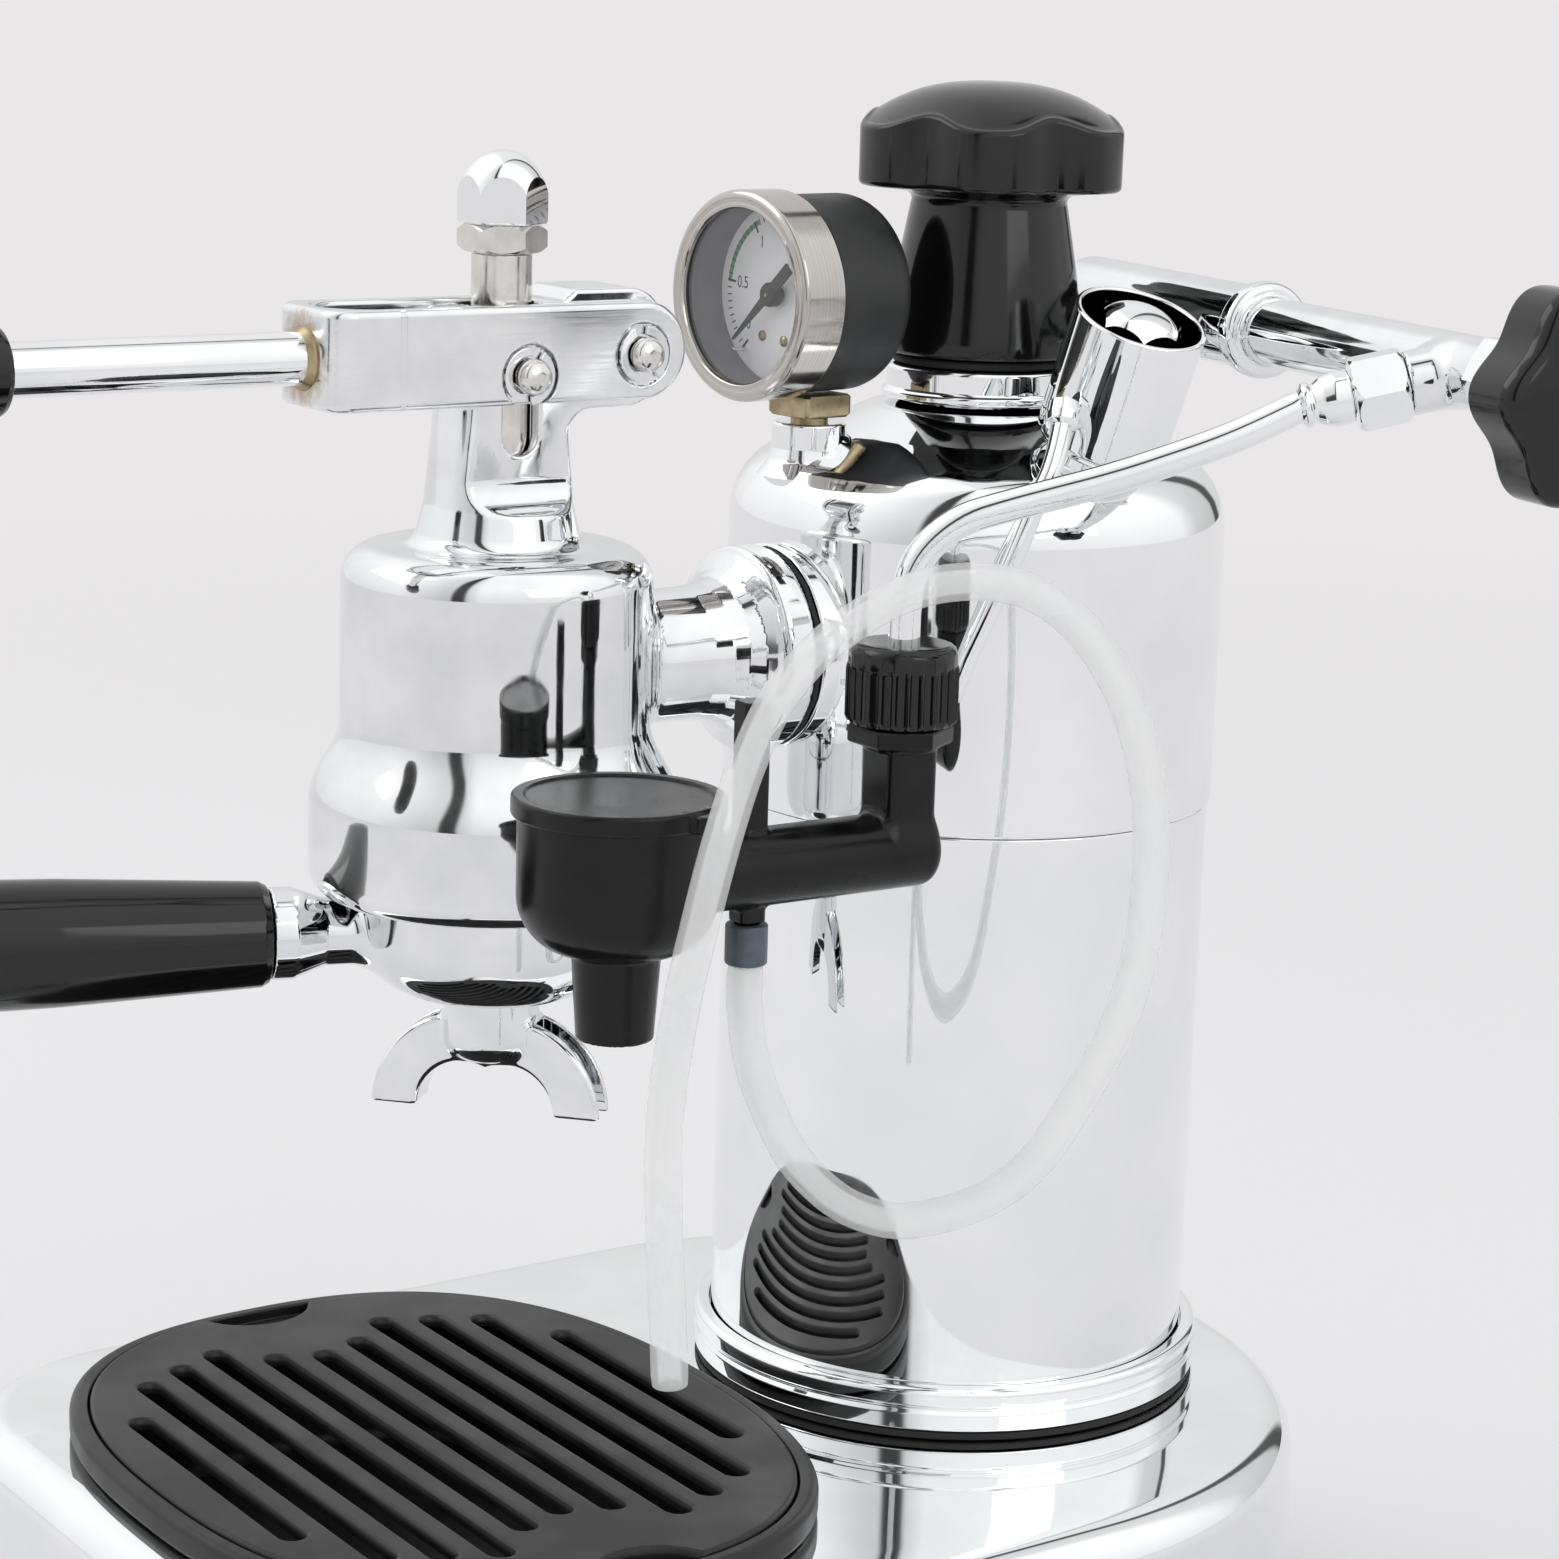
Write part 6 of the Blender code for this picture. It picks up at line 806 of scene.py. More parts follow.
def makeBoiler():
    hole, foot = boiler["footHole"], boiler["foot"]
    ringed("foot_gasket_ring", [(hole, 53.3), (51.2, 53.3, 0.4), (51.2, 54.7, 0.4), (49.8, 54.9),
        (49.8, 56.0), (hole, 56.0)], pressedRubber, "machine", ("boiler_gasket",), steps=160)
    ringed("foot_ring", [(hole, 56.3), (50.1, 56.3), (50.1, 55.1), (51.5, 55.1, 0.4), (foot, 58.4, 0.8),
        (51.0, 59.4, 0.5), (foot, 60.2, 0.6), (foot, 63.7, 2.6), (48.5, 63.7, 0.4), (48.5, 58.3),
        (hole, 58.3)], chromePlate, "machine", ("boiler_foot_ring",), steps=192)
    r, seam, drain = boiler["radius"], boiler["seam"], boiler["floorHole"]
    ringed("lower_shell_tube", [(drain, 58.6), (r, 58.6, 0.5), (r, seam - 0.15, 0.35),
        (r - 1.4, seam - 0.15, 0.2), (r - 1.4, seam + 8), (r - 2.9, seam + 8), (r - 2.9, seam),
        (r - 1.5, seam - 3), (r - 1.5, 61.0), (drain, 61.0)], chromePlate, "machine",
        ("boiler_lower_shell",), steps=192)
    upper, shoulder, top = boiler["upper"], boiler["shoulder"], boiler["top"]
    foot, level, edge, neck = (boiler[key] for key in ("domeFoot", "domeLevel", "domeEdge", "neckHole"))
    ringed("upper_shell_dome", [(upper, seam + 0.05, 0.6), (upper, shoulder + 8, 15.0),
        (foot - 6.5, level + 1.9, 9.0), (edge, top - 1.0, 6.0), (neck, top), (neck, top - 1.9),
        (edge, top - 2.9), (foot - 7, level - 1), (upper - 1.3, shoulder + 6, 13.0),
        (upper - 1.3, seam + 0.05)], chromePlate, "machine", ("boiler_upper_shell",), steps=192)


def makeBosses():
    # Turned seats soldered to the dome; each foot flares into the sheet
    axis = valveAxis()
    for name, low, high, size, at in (
            ("gauge_seat", 236.5, 246.7, 7.2, upright(-5, -37.6)),
            ("steam_seat", 240.5, 249.2, 9.0, upright(*steamPoint(2)[:2])),
            ("valve_seat", -6.5, -0.3, 8.0, frameAlong(valve["start"], axis))):
        ringed(name, [(0, low), (size + 2.6, low), (size + 0.4, low + 3.0, 2.5), (size, low + 5.2, 2.0),
            (size, high, 0.6), (0, high)], chromePlate, "machine", at=at, steps=72)
    ringed("boiler_side_flange", [(0, 36), (22.5, 41.0), (20.5, 43.8, 2.5), (19.6, 46.0, 1.5),
        (19.6, 49.7, 0.6), (0, 49.7)], chromePlate, "machine",
        at=frameAlong((0, 0, boiler["nozzle"]), (0, -1, 0)), steps=96)


valve = {"start": (36.8, 0.0, 245.5), "tilt": 23.0, "length": 27.0, "radius": 12.6, "wall": 1.1}
steam = {"start": (0.0, 31.0, 268.7), "yaw": -11.5, "barrel": 7.8, "pipe": 6.3, "step": 59.0,
         "collar": 9.0, "collarLength": 4.5, "end": 140.0, "outlet": 129.0, "back": -9.0}


def valveAxis():
    return (math.sin(math.radians(valve["tilt"])), 0, math.cos(math.radians(valve["tilt"])))


def steamAxis():
    return np.array((math.cos(math.radians(steam["yaw"])), math.sin(math.radians(steam["yaw"])), 0.0))


def steamPoint(distance):
    return np.array(steam["start"]) + steamAxis() * distance


makeBoiler()
makeBosses()
print("boiler made")


# Filler neck, cap seal and the lobed cap

neck = {"low": 250.3, "top": 256.9, "foot": 238.0, "bore": 11.5, "stem": 16.1, "ring": 18.8, "bead": 19.6}
cap = {"radius": 25.4, "lobe": 1.7, "lobes": 6, "turn": -37.9, "skirtLow": 259.1, "skirtHigh": 288.6,
       "skirtFoot": 19.4, "skirtWaist": 15.1, "headLow": 291.2, "headSide": 301.7, "headTop": 311.3,
       "narrow": 1.7, "domePower": 2.6, "edge": 1.7, "underEdge": 1.2}


def makeNeck():
    low, top, foot = neck["low"], neck["top"], neck["foot"]
    bore, ring, bead, stem = neck["bore"], neck["ring"], neck["bead"], neck["stem"]
    ringed("neck_ring", [(bore, top, 0.4), (ring, top, 0.9), (ring, low + 2.3, 0.5), (19.0, low + 2.0, 0.2),
        (bead, low + 1.5, 0.6), (bead, low + 0.2, 0.5), (stem, low), (stem, foot), (bore, foot)],
        chromePlate, "machine", ("filler_neck",), steps=160)
    ringed("cap_seal_ring", [(11.3, 257.2), (17.8, 257.2, 0.6), (17.8, 258.8, 0.6), (11.3, 258.8)],
           pressedRubber, "cap_seal", ("cap_gasket",), steps=96)


def makeCap():
    low, high = cap["skirtLow"], cap["skirtHigh"]
    r, foot, waist = cap["radius"], cap["skirtFoot"], cap["skirtWaist"]
    # Skirt and head as one profile; the third value of a row is how much of the lobes it shows
    rows = [(11.0, low - 14, 0), (11.0, low, 0), (18.4, low, 0), (19.1, low + 0.25, 0), (foot, low + 0.9, 0),
            (foot, low + 3.0, 0)]
    for k in range(1, 25):
        t = k / 24
        rows.append((foot + (waist - foot) * (t ** 1.15), low + 3.0 + (high - low - 3.0) * t, 0))
    rows += [(15.4, high + 0.8, 0.05), (16.4, high + 1.5, 0.15)]
    soft = cap["underEdge"]
    rows += [(18.5 + (r - soft - 18.5) * t, high + 1.9 + 0.9 * t, 0.4 + 0.6 * t)
             for t in (0.0, 0.35, 0.7, 1.0)]
    rows += [(r - soft + soft * math.sin(a), cap["headLow"] + soft - soft * math.cos(a), 1)
             for a in (0.4, 0.8, 1.2, math.pi / 2)]
    stacked("cap_moulding", [lobeRow(*row) for row in rows] + headRows(), mouldedPhenolic, "cap",
            ("filler_cap",), crease=50)


def lobeReach(angle):
    # Six broad lobes with narrower scallops between them
    wave = (0.5 - 0.5 * math.cos(cap["lobes"] * (angle - math.radians(cap["turn"])))) ** cap["narrow"]
    return cap["lobe"] * (1 - 2 * wave)


def lobeRow(radius, height, share, steps=240):
    made = []
    for i in range(steps):
        angle = math.tau * i / steps
        reach = radius + lobeReach(angle) * share * radius / cap["radius"]
        made.append((reach * math.cos(angle), reach * math.sin(angle), height))
    return made


def headRows(steps=240):
    # The dome's height depends on the true radius, so the rim stands higher in the scallops
    full = cap["radius"] + cap["lobe"]
    rise = cap["headTop"] - cap["headSide"]

    def domeLevel(radius):
        return cap["headTop"] - rise * (radius / full) ** cap["domePower"]

    rows = []
    edge = cap["edge"]
    for k in range(33):
        row = []
        for i in range(steps):
            angle = math.tau * i / steps
            wall = cap["radius"] + lobeReach(angle)
            if k <= 8:
                bend = math.pi / 2 * k / 8
                radius = wall - edge * (1 - math.cos(bend))
                height = domeLevel(wall - edge) - edge * 0.8 * (1 - math.sin(bend))
            else:
                radius = (wall - edge) * (1 - (k - 8) / 24.5)
                height = domeLevel(radius)
            row.append((radius * math.cos(angle), radius * math.sin(angle), height))
        rows.append(row)
    return rows


makeNeck()
makeCap()
print("cap made")


# Sight glass on the left side

sight = {"x": -66.0, "upper": 214.0, "lower": 88.0, "pipe": 5.0, "flange": 8.0, "nut": 7.5, "nutHalf": 7.0,
         "tube": 4.0, "bore": 2.6, "recess": 2.3}


def makeSightGlass():
    pipe, flange, tube, bore, half = (sight[key] for key in ("pipe", "flange", "tube", "bore", "nutHalf"))
    for name, start in (("upper", 49.2), ("lower", 48.5)):
        level = sight[name]
        ringed("sight_pipe_" + name, [(0, 45), (pipe, 45), (pipe, start - 0.1), (flange, start, 0.3),
            (flange, start + 3, 0.9), (5.6, start + 3.6, 0.8), (pipe, start + 5, 1.0), (pipe, 72.5, 1.6),
            (0, 72.5)], chromePlate, "machine", ("sight_fitting_" + name,),
            at=frameAlong((0, 0, level), (-1, 0, 0)), steps=72)
        hexNut("sight_nut_" + name, {"corner": sight["nut"], "low": level - half, "high": level + half,
            "bore": 4.2, "drop": 0.9, "foot": 0.9}, chromePlate, "machine", at=upright(sight["x"], 0))
    low, high = sight["lower"] + sight["recess"], sight["upper"] - sight["recess"]
    ringed("sight_tube", [(tube, low, 0.3), (tube, high, 0.3), (bore, high, 0.3), (bore, low, 0.3)],
           tubeGlass, "machine", ("sight_glass",), at=upright(sight["x"], 0), steps=48)


makeSightGlass()
print("sight glass made")


# Pressure gauge: pressed case, brushed bezel, deep well coloured grey as painted shade, printed dial, needle
# and flat glass

gauge = {"place": (-5.0, -37.6, 271.2), "turn": 6.0, "dialFace": 8.5, "dialRadius": 16.9,
         "needleLevel": 11.1, "needleLength": 13.6, "zero": 227.0, "perUnit": 106.0, "rest": 223.0,
         "numbers": ("0", "0.5", "1", "1.5", "2"), "numberSize": 3.3, "numberRadius": 10.8,
         "greenTo": 1.04, "green": (14.1, 15.1), "tickOuter": 15.2, "tickLong": 12.9, "tickShort": 14.0,
         "screws": ((9.4, 241), (8.9, 281)), "case": 18.7, "caseWall": 1.3, "bezel": 19.8}


def gaugeFrame():
    turn = math.radians(gauge["turn"])
    return frameAlong(gauge["place"], (math.sin(turn), -math.cos(turn), 0))


def makeGauge():
    axis = gaugeFrame()
    face, wide = gauge["dialFace"], gauge["dialRadius"]
    case, rim, inner = gauge["case"], gauge["bezel"], gauge["case"] - gauge["caseWall"]
    ringed("gauge_body", [(0, -10.6), (case, -10.6, 4.6), (case, 14.2, 0.3), (inner, 14.2, 0.3),
        (inner, -9.0, 3.5), (0, -9.0)], stovedEnamel, "machine", ("gauge_case",), at=axis, steps=128)
    ringed("gauge_rim", [
        (16.4, 17.8, 0.1), (16.35, 18.4, 0.2), (16.7, 19.15, 0.45), (17.5, 18.85, 0.5), (18.6, 19.0, 0.8),
        (rim, 18.5, 1.0), (rim, 9.4, 0.5), (19.4, 8.8, 0.3), (19.0, 8.8), (19.0, 17.8)],
        bezelSteel, "machine", ("gauge_bezel",), at=axis, steps=160)
    ringed("gauge_glass", [(0, 16.5), (case, 16.5, 0.3), (case, 17.7, 0.3), (0, 17.7)], lensGlass, "machine",
           ("gauge_lens",), at=axis, steps=96)
    ringed("gauge_face", [(1.2, face - 0.8), (wide + 0.2, face - 0.8), (wide + 0.2, face, 0.2),
        (1.2, face, 0.2)], dialEnamel, "machine", ("gauge_dial",), at=axis, steps=128)
    # The well's lining is grey as painted shade, the shade that falls inside the deep well
    ringed("gauge_well", [(17.3, face + 0.05), (wide, face + 0.05, 0.1), (wide - 0.3, 16.4, 0.1),
        (17.3, 16.4)], wellShadeGrey, "machine", at=axis, steps=128)
    makeDialPrint(axis)
    makeNeedle(axis)
    for number, (radius, angle) in enumerate(gauge["screws"]):
        x, y = dialPoint(radius, angle)
        ringed("dial_screw_" + str(number), [(0, face + 0.55), (0.5, face + 0.55, 0.2),
            (1.0, face + 0.25, 0.25), (1.1, face - 0.1), (0, face - 0.1)], bareBrass, "machine",
            at=axis @ upright(x, y), steps=32)
    x, y = dialPoint(14.6, gauge["rest"] + 7)
    ringed("dial_stop_pin", [(0, face + 3.4), (0.35, face + 3.4, 0.15), (0.35, face - 0.1),
        (0, face - 0.1)], nickelPlate, "machine", at=axis @ upright(x, y), steps=24)
    # Square brass fitting in line with the case, on a round stud
    below = upright(gauge["place"][0], gauge["place"][1])
    square = below @ Matrix.Rotation(math.radians(gauge["turn"]), 4, "Z")
    rows = [squareRow(size, level) for size, level in ((4.6, 247.8), (5.3, 247.8), (5.8, 248.5),
        (5.8, 251.7), (5.4, 252.2), (4.6, 252.2))]
    stacked("gauge_square", rows, bareBrass, "machine", ("gauge_fitting",), at=square, crease=40)
    ringed("gauge_stem", [(0, 241), (3.6, 241), (3.6, 249), (0, 249)], bareBrass, "machine", at=below,
           steps=40, rounded=False)


def squareRow(size, height, soft=1.0):
    # A square of half width size whose corners are rounded by soft
    out = size - soft
    return [(x, y, height) for cornerX, cornerY, turn in ((1, 1, 0), (-1, 1, 90), (-1, -1, 180), (1, -1, 270))
            for x, y in arcPoints((cornerX * out, cornerY * out), soft, turn, turn + 90, 6)]


def dialPoint(radius, angle):
    return (radius * math.cos(math.radians(angle)), radius * math.sin(math.radians(angle)))


def flatShapes(name, outlines, level, look, body, at):
    # Thin printed shapes: each outline becomes one raised face with sides
    points, faces = [], []
    for outline in outlines:
        start, count = len(points), len(outline)
        points += [(x, y, level + 0.03) for x, y in outline] + [(x, y, level) for x, y in outline]
        faces.append(tuple(range(start, start + count)))
        faces.append(tuple(range(start + count, start + 2 * count))[::-1])
        faces += [(start + i, start + count + i, start + count + (i + 1) % count, start + (i + 1) % count)
            for i in range(count)]
    return buildPiece(name, points, faces, look, body, at=at)


def arcBand(inner, outer, start, end, steps):
    angles = [start + (end - start) * i / steps for i in range(steps + 1)]
    return [dialPoint(outer, a) for a in angles] + [dialPoint(inner, a) for a in angles[::-1]]


def makeDialPrint(axis):
    face, zero, unit = gauge["dialFace"], gauge["zero"], gauge["perUnit"]
    ticks = []
    for k in range(41):
        angle = zero - unit * k * 0.05
        outer = gauge["tickOuter"]
        inner, outerHalf, innerHalf = (gauge["tickLong"], 0.9, 1.0) if k % 10 == 0 else (
            gauge["tickShort"], 0.45, 0.5)
        ticks.append([dialPoint(r, angle + turn) for r, turn in (
            (outer, -outerHalf), (outer, outerHalf), (inner, innerHalf), (inner, -innerHalf))])
    flatShapes("dial_ticks", ticks, face, blackInk, "machine", axis)
    band = arcBand(*gauge["green"], zero - unit * 0.5, zero - unit * gauge["greenTo"], 30)
    flatShapes("dial_green_band", [band], face - 0.01, greenInk, "machine", axis)
    for number, text in enumerate(gauge["numbers"]):
        curve = bpy.data.curves.new("number", "FONT")
        curve.body = text
        curve.size = gauge["numberSize"] * mm
        curve.align_x = "CENTER"
        curve.align_y = "CENTER"
        curve.extrude = 0.015 * mm
        letters = bpy.data.objects.new("number", curve)
        bpy.context.scene.collection.objects.link(letters)
        bpy.context.view_layer.update()
        mesh = bpy.data.meshes.new_from_object(letters.evaluated_get(bpy.context.evaluated_depsgraph_get()))
        bpy.data.objects.remove(letters)
        piece = bpy.data.objects.new("dial_number_" + str(number), mesh)
        bpy.context.scene.collection.objects.link(piece)
        # The first number sits beside its tick, so that the needle's stop has room
        x, y = dialPoint(gauge["numberRadius"], zero - unit * number * 0.5 - (11 if number == 0 else 1))
        piece.matrix_world = axis @ upright(x, y, face + 0.02) @ Matrix.Diagonal((0.8, 1, 1, 1))
        mesh.materials.clear()
        mesh.materials.append(blackInk)
        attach(piece, "machine")


def makeNeedle(axis):
    low, length = gauge["needleLevel"], gauge["needleLength"]
    turn = axis @ Matrix.Rotation(math.radians(gauge["rest"] - 90), 4, "Z")
    half = [(1.15, -8.0), (1.1, -1.5), (0.85, 1.5), (0.2, length)]
    outline = [(-1.15, -8.0)] + half + [(-x, y) for x, y in half[:0:-1]]
    points = [(x, y, low) for x, y in outline] + [(x, y, low + 0.5) for x, y in outline]
    count = len(outline)
    faces = [tuple(range(count))[::-1], tuple(range(count, 2 * count))] + loopFaces(2, count, closed=False)
    buildPiece("needle_blade", points, faces, blackInk, "needle", ("gauge_needle",), at=turn)
    ringed("needle_boss", [(0, low + 0.75), (1.9, low + 0.75, 0.4), (2.3, low + 0.2, 0.3),
        (2.3, low - 1.6, 0.2), (0, low - 1.6)], blackInk, "needle", at=turn, steps=48)
    ringed("needle_arbor", [(0, low + 1.0), (0.35, low + 1.0, 0.15), (0.4, low), (0, low)], bareBrass,
           "needle", at=turn, steps=24)


makeGauge()
print("gauge made")


# Safety valve and its discharge tube

def makeSafetyValve():
    axis = frameAlong(valve["start"], valveAxis())
    r, wall, top = valve["radius"], valve["wall"], valve["length"]
    ringed("valve_cup_shell", [(2.9, -11), (5, -11, 0.5), (5, -1.2, 1.0), (r, 0.2, 2.6), (r, top, 0.45),
        (r - wall, top, 0.45), (r - wall, 2.0, 2.0), (2.9, 2.0)], chromePlate, "machine",
        ("safety_valve_cup",), at=axis, steps=128)
    domedNut("valve_dome_nut", {"corner": 8.0, "top": top + 2.0, "low": top - 11.0, "drop": 5.6,
        "ball": 8.5, "stem": 2.3}, "machine", ("safety_valve_nut",), axis)
    route = ((43.0, -14.1, 253.0), (45.2, -16.4, 249.0), (47.0, -19.6, 243.0), (46.9, -22.6, 237.0),
        (45.6, -26.6, 226.5), (43.4, -30.2, 216.0), (41.2, -33.0, 207.5), (39.6, -34.9, 200.0))
    path = smoothRoute(route, 1.2)
    radii = [2.0] * len(path)
    radii[0] = radii[-1] = 1.7
    stacked("drain_pipe", tubeRows(path, radii, 40), chromePlate, "machine", ("discharge_tube",))
    # Union where the drain leaves the cup
    start, ahead = path[0], (path[3] - path[0]).normalized()
    ringed("drain_union", [(0, -1.5), (3.1, -1.5, 0.4), (3.3, 1.2, 0.5), (3.1, 3.0, 0.6), (2.1, 3.6, 0.3),
        (0, 3.6)], chromePlate, "machine", at=frameAlong(start, ahead), steps=40)


makeSafetyValve()
print("safety valve made")


# Steam valve, knob and wand

knob = {"low": 151.0, "high": 172.0, "radius": 18.0, "skirt": 9.5, "lobes": 6, "swell": 1.3}
wand = {"end": (71.0, -70.0), "radius": 2.8, "tip": 212.6, "drop": 0.25,
        "route": ((104.2, -26.0, 256.4), (97.6, -35.0, 251.9), (90.7, -44.2, 247.8), (80.5, -57.6, 242.7),
                  (76.4, -62.9, 240.1), (73.3, -66.9, 235.9), (71.5, -69.4, 230.5), (71.0, -70.0, 224.0))}


def wandAxis():
    start = steamPoint(steam["outlet"])
    flat = Vector((wand["end"][0] - start[0], wand["end"][1] - start[1], 0)).normalized()
    return (flat + Vector((0, 0, -wand["drop"]))).normalized()


def steamShape(p):
    start, axis = np.array(steam["start"]), steamAxis()
    body = barrel(p, start, axis, steam["back"], steam["step"] + 1, steam["barrel"], 2.4)
    pipe = barrel(p, start, axis, steam["step"], steam["end"], steam["pipe"], 0.4)
    step = steam["step"]
    collar = barrel(p, start, axis, step, step + steam["collarLength"], steam["collar"], 1.6)
    riser = steamPoint(2.0)
    stand = barrel(p, (riser[0], riser[1], 0), (0, 0, 1), 249.5, steam["start"][2], 8.0, 0.5)
    outlet = barrel(p, steamPoint(steam["outlet"]), tuple(wandAxis()), 0, 10, 5.6, 0.6)
    made = either(either(body, stand, 2.0), collar, 0.5)
    made = either(either(made, pipe, 0.8), outlet, 1.5)
    return without(made, barrel(p, start, axis, steam["end"] - 18, steam["end"] + 9, 3.3), 0.2)


def makeSteamValve():
    axis = frameAlong(steam["start"], steamAxis())
    skinOf("steam_valve_casting", steamShape, (-12, -8, 248.5), (141, 46, 280), 0.65, castChrome, "machine",
           ("steam_valve_body",))
    hexNut("steam_gland_nut", {"corner": 8.0, "low": 139.4, "high": 148.0, "bore": 3.4, "drop": 1.3,
        "foot": 0.6}, chromePlate, "machine", at=axis)
    ringed("steam_spindle", [(0, 122.5), (3, 122.5), (3, 158, 0.4), (0, 158)], nickelPlate, "steam_knob",
           ("steam_stem",), at=axis, steps=48)
    low, high, wide, skirt = (knob[key] for key in ("low", "high", "radius", "skirt"))
    rows = [(8.6, low, 0), (9.3, low + 0.2, 0), (skirt, low + 0.8, 0), (skirt, low + 6.2, 0),
            (9.9, low + 6.8, 0),
            (11.5, low + 7.2, 0.2), (15.2, low + 7.4, 0.8), (16.9, low + 7.6, 1)]
    rows += [(16.9 + 1.1 * math.sin(a), low + 8.7 - 1.1 * math.cos(a), 1)
             for a in (0.3, 0.6, 0.9, 1.2, 1.5708)]
    rows.append((wide, high - 4.0, 1))
    for k in range(1, 11):
        a = math.pi / 2 * k / 10
        rows.append((wide - 3.6 * (1 - math.cos(a)), high - 4.0 + 3.4 * math.sin(a), 1 - 0.1 * k / 10))
    rows += [(14.4 * (1 - t), high - 0.6 + 0.6 * (1 - (1 - t) ** 2), 0.9 * (1 - t))
             for t in (0.2, 0.4, 0.6, 0.8, 0.97)]
    stacked("steam_knob_moulding", [knobRow(*row) for row in rows], mouldedPhenolic, "steam_knob",
            ("steam_knob",),
            at=axis, crease=50)


def knobRow(radius, height, share, steps=216):
    # Round lobes all the way round; share is how much of them the row shows
    made = []
    for i in range(steps):
        angle = math.tau * i / steps
        reach = radius + knob["swell"] * share * math.cos(knob["lobes"] * angle)
        made.append((reach * math.cos(angle), reach * math.sin(angle), height))
    return made


def makeWand():
    start, along = Vector(steamPoint(steam["outlet"])), wandAxis()
    axis = frameAlong(start, along)
    hexNut("wand_union_nut", {"corner": 7.0, "low": 10.3, "high": 19.3, "bore": 3.1, "drop": 1.1,
        "foot": 0.9}, chromePlate, "wand", ("wand_nut",), at=axis)
    head = [start + along * 10.6, start + along * 28.3]
    path = head[:1] + smoothRoute(head[1:] + [Vector(p) for p in wand["route"]], 1.5)
    path.append(Vector((wand["end"][0], wand["end"][1], wand["tip"])))
    stacked("wand_tube", tubeRows(path, [wand["radius"]] * len(path), 48), chromePlate, "wand",
            ("steam_wand",))
    low = 19.6
    ringed("wand_ball_end", [(0, low), (4.6, low, 0.5), (4.8, low + 2.8, 2.0), (4.3, low + 5.0, 2.0),
        (3.2, low + 6.6, 1.0), (3.9, low + 7.3, 0.5), (3.9, low + 8.2, 0.4), (2.7, low + 9.0),
        (0, low + 9.0)], chromePlate, "wand", at=axis, steps=64)


makeSteamValve()
makeWand()
print("steam valve and wand made")


# Frother: ribbed nut, body with arm and cup, lid, hose collar

frother = {"cup": (70.0, -127.0), "stem": (70.0, -100.6), "armLevel": 182.0, "nutLow": 204.8,
           "nutHigh": 218.8, "cupRadius": 17.0, "cupTop": 195.2, "cupShoulder": 180.6, "cupWaist": 170.4,
           "cupBottom": 155.5}


def frotherShape(p):
    x, y, z = p[..., 0], p[..., 1], p[..., 2]
    wx, wy = wand["end"]
    cx, cy = frother["cup"]
    sx, sy = frother["stem"]
    plate = both(hexagon(x - wx, y - wy, 9.3), np.abs(z - 202.8) - 1.7, 0.5)
    leg = both(pad(x - wx, y - wy, 3.3, 1.8), slab(z, frother["armLevel"], 202), 0.3)
    reach = np.array((cx - wx, cy - wy, 0.0))
    length = np.linalg.norm(reach)
    arm = barrel(p, (wx, wy, frother["armLevel"]), reach / length, -6.1, length - 8, 6.8, 2.6)
    away = np.hypot(x - cx, y - cy)
    outletRadius = np.interp(z, [frother["cupBottom"], frother["cupWaist"]], [6.6, 7.6])
    # Quarter-round bowl, taken as a flattened ball below the shoulder
    bowl = np.where(z > frother["cupShoulder"], away - frother["cupRadius"],
        np.hypot(np.maximum(away - 7.6, 0), (frother["cupShoulder"] - z) * 0.94) - 9.4)
    bowl = both(bowl, z - frother["cupTop"], 0.4)
    spout = both(away - outletRadius, slab(z, frother["cupBottom"], 180), 0.5)
    cup = either(bowl, spout, 1.0)
    stalk = both(pad(x - sx, y - sy, 1.3, 1.3), slab(z, 172.5, 211.0), 0.3)
    barb = both(np.hypot(x - sx, y - sy) - 1.9, slab(z, 166, 173), 0.3)
    pipe = np.hypot(x - wx, y - wy)
    spigot = both(pipe - 6.6, slab(z, 200, 212), 0.4)
    made = either(either(plate, leg, 1.2), spigot)
    made = either(either(made, arm, 1.6), cup, 1.4)
    made = either(either(made, stalk, 0.9), barb)
    room = both(away - 15.4, slab(z, 178, 197), 3.0)
    hole = both(away - 5.4, slab(z, 150, 185))
    return without(without(made, either(room, hole, 1.5), 0.3), both(pipe - 2.9, slab(z, 180, 214)), 0.2)


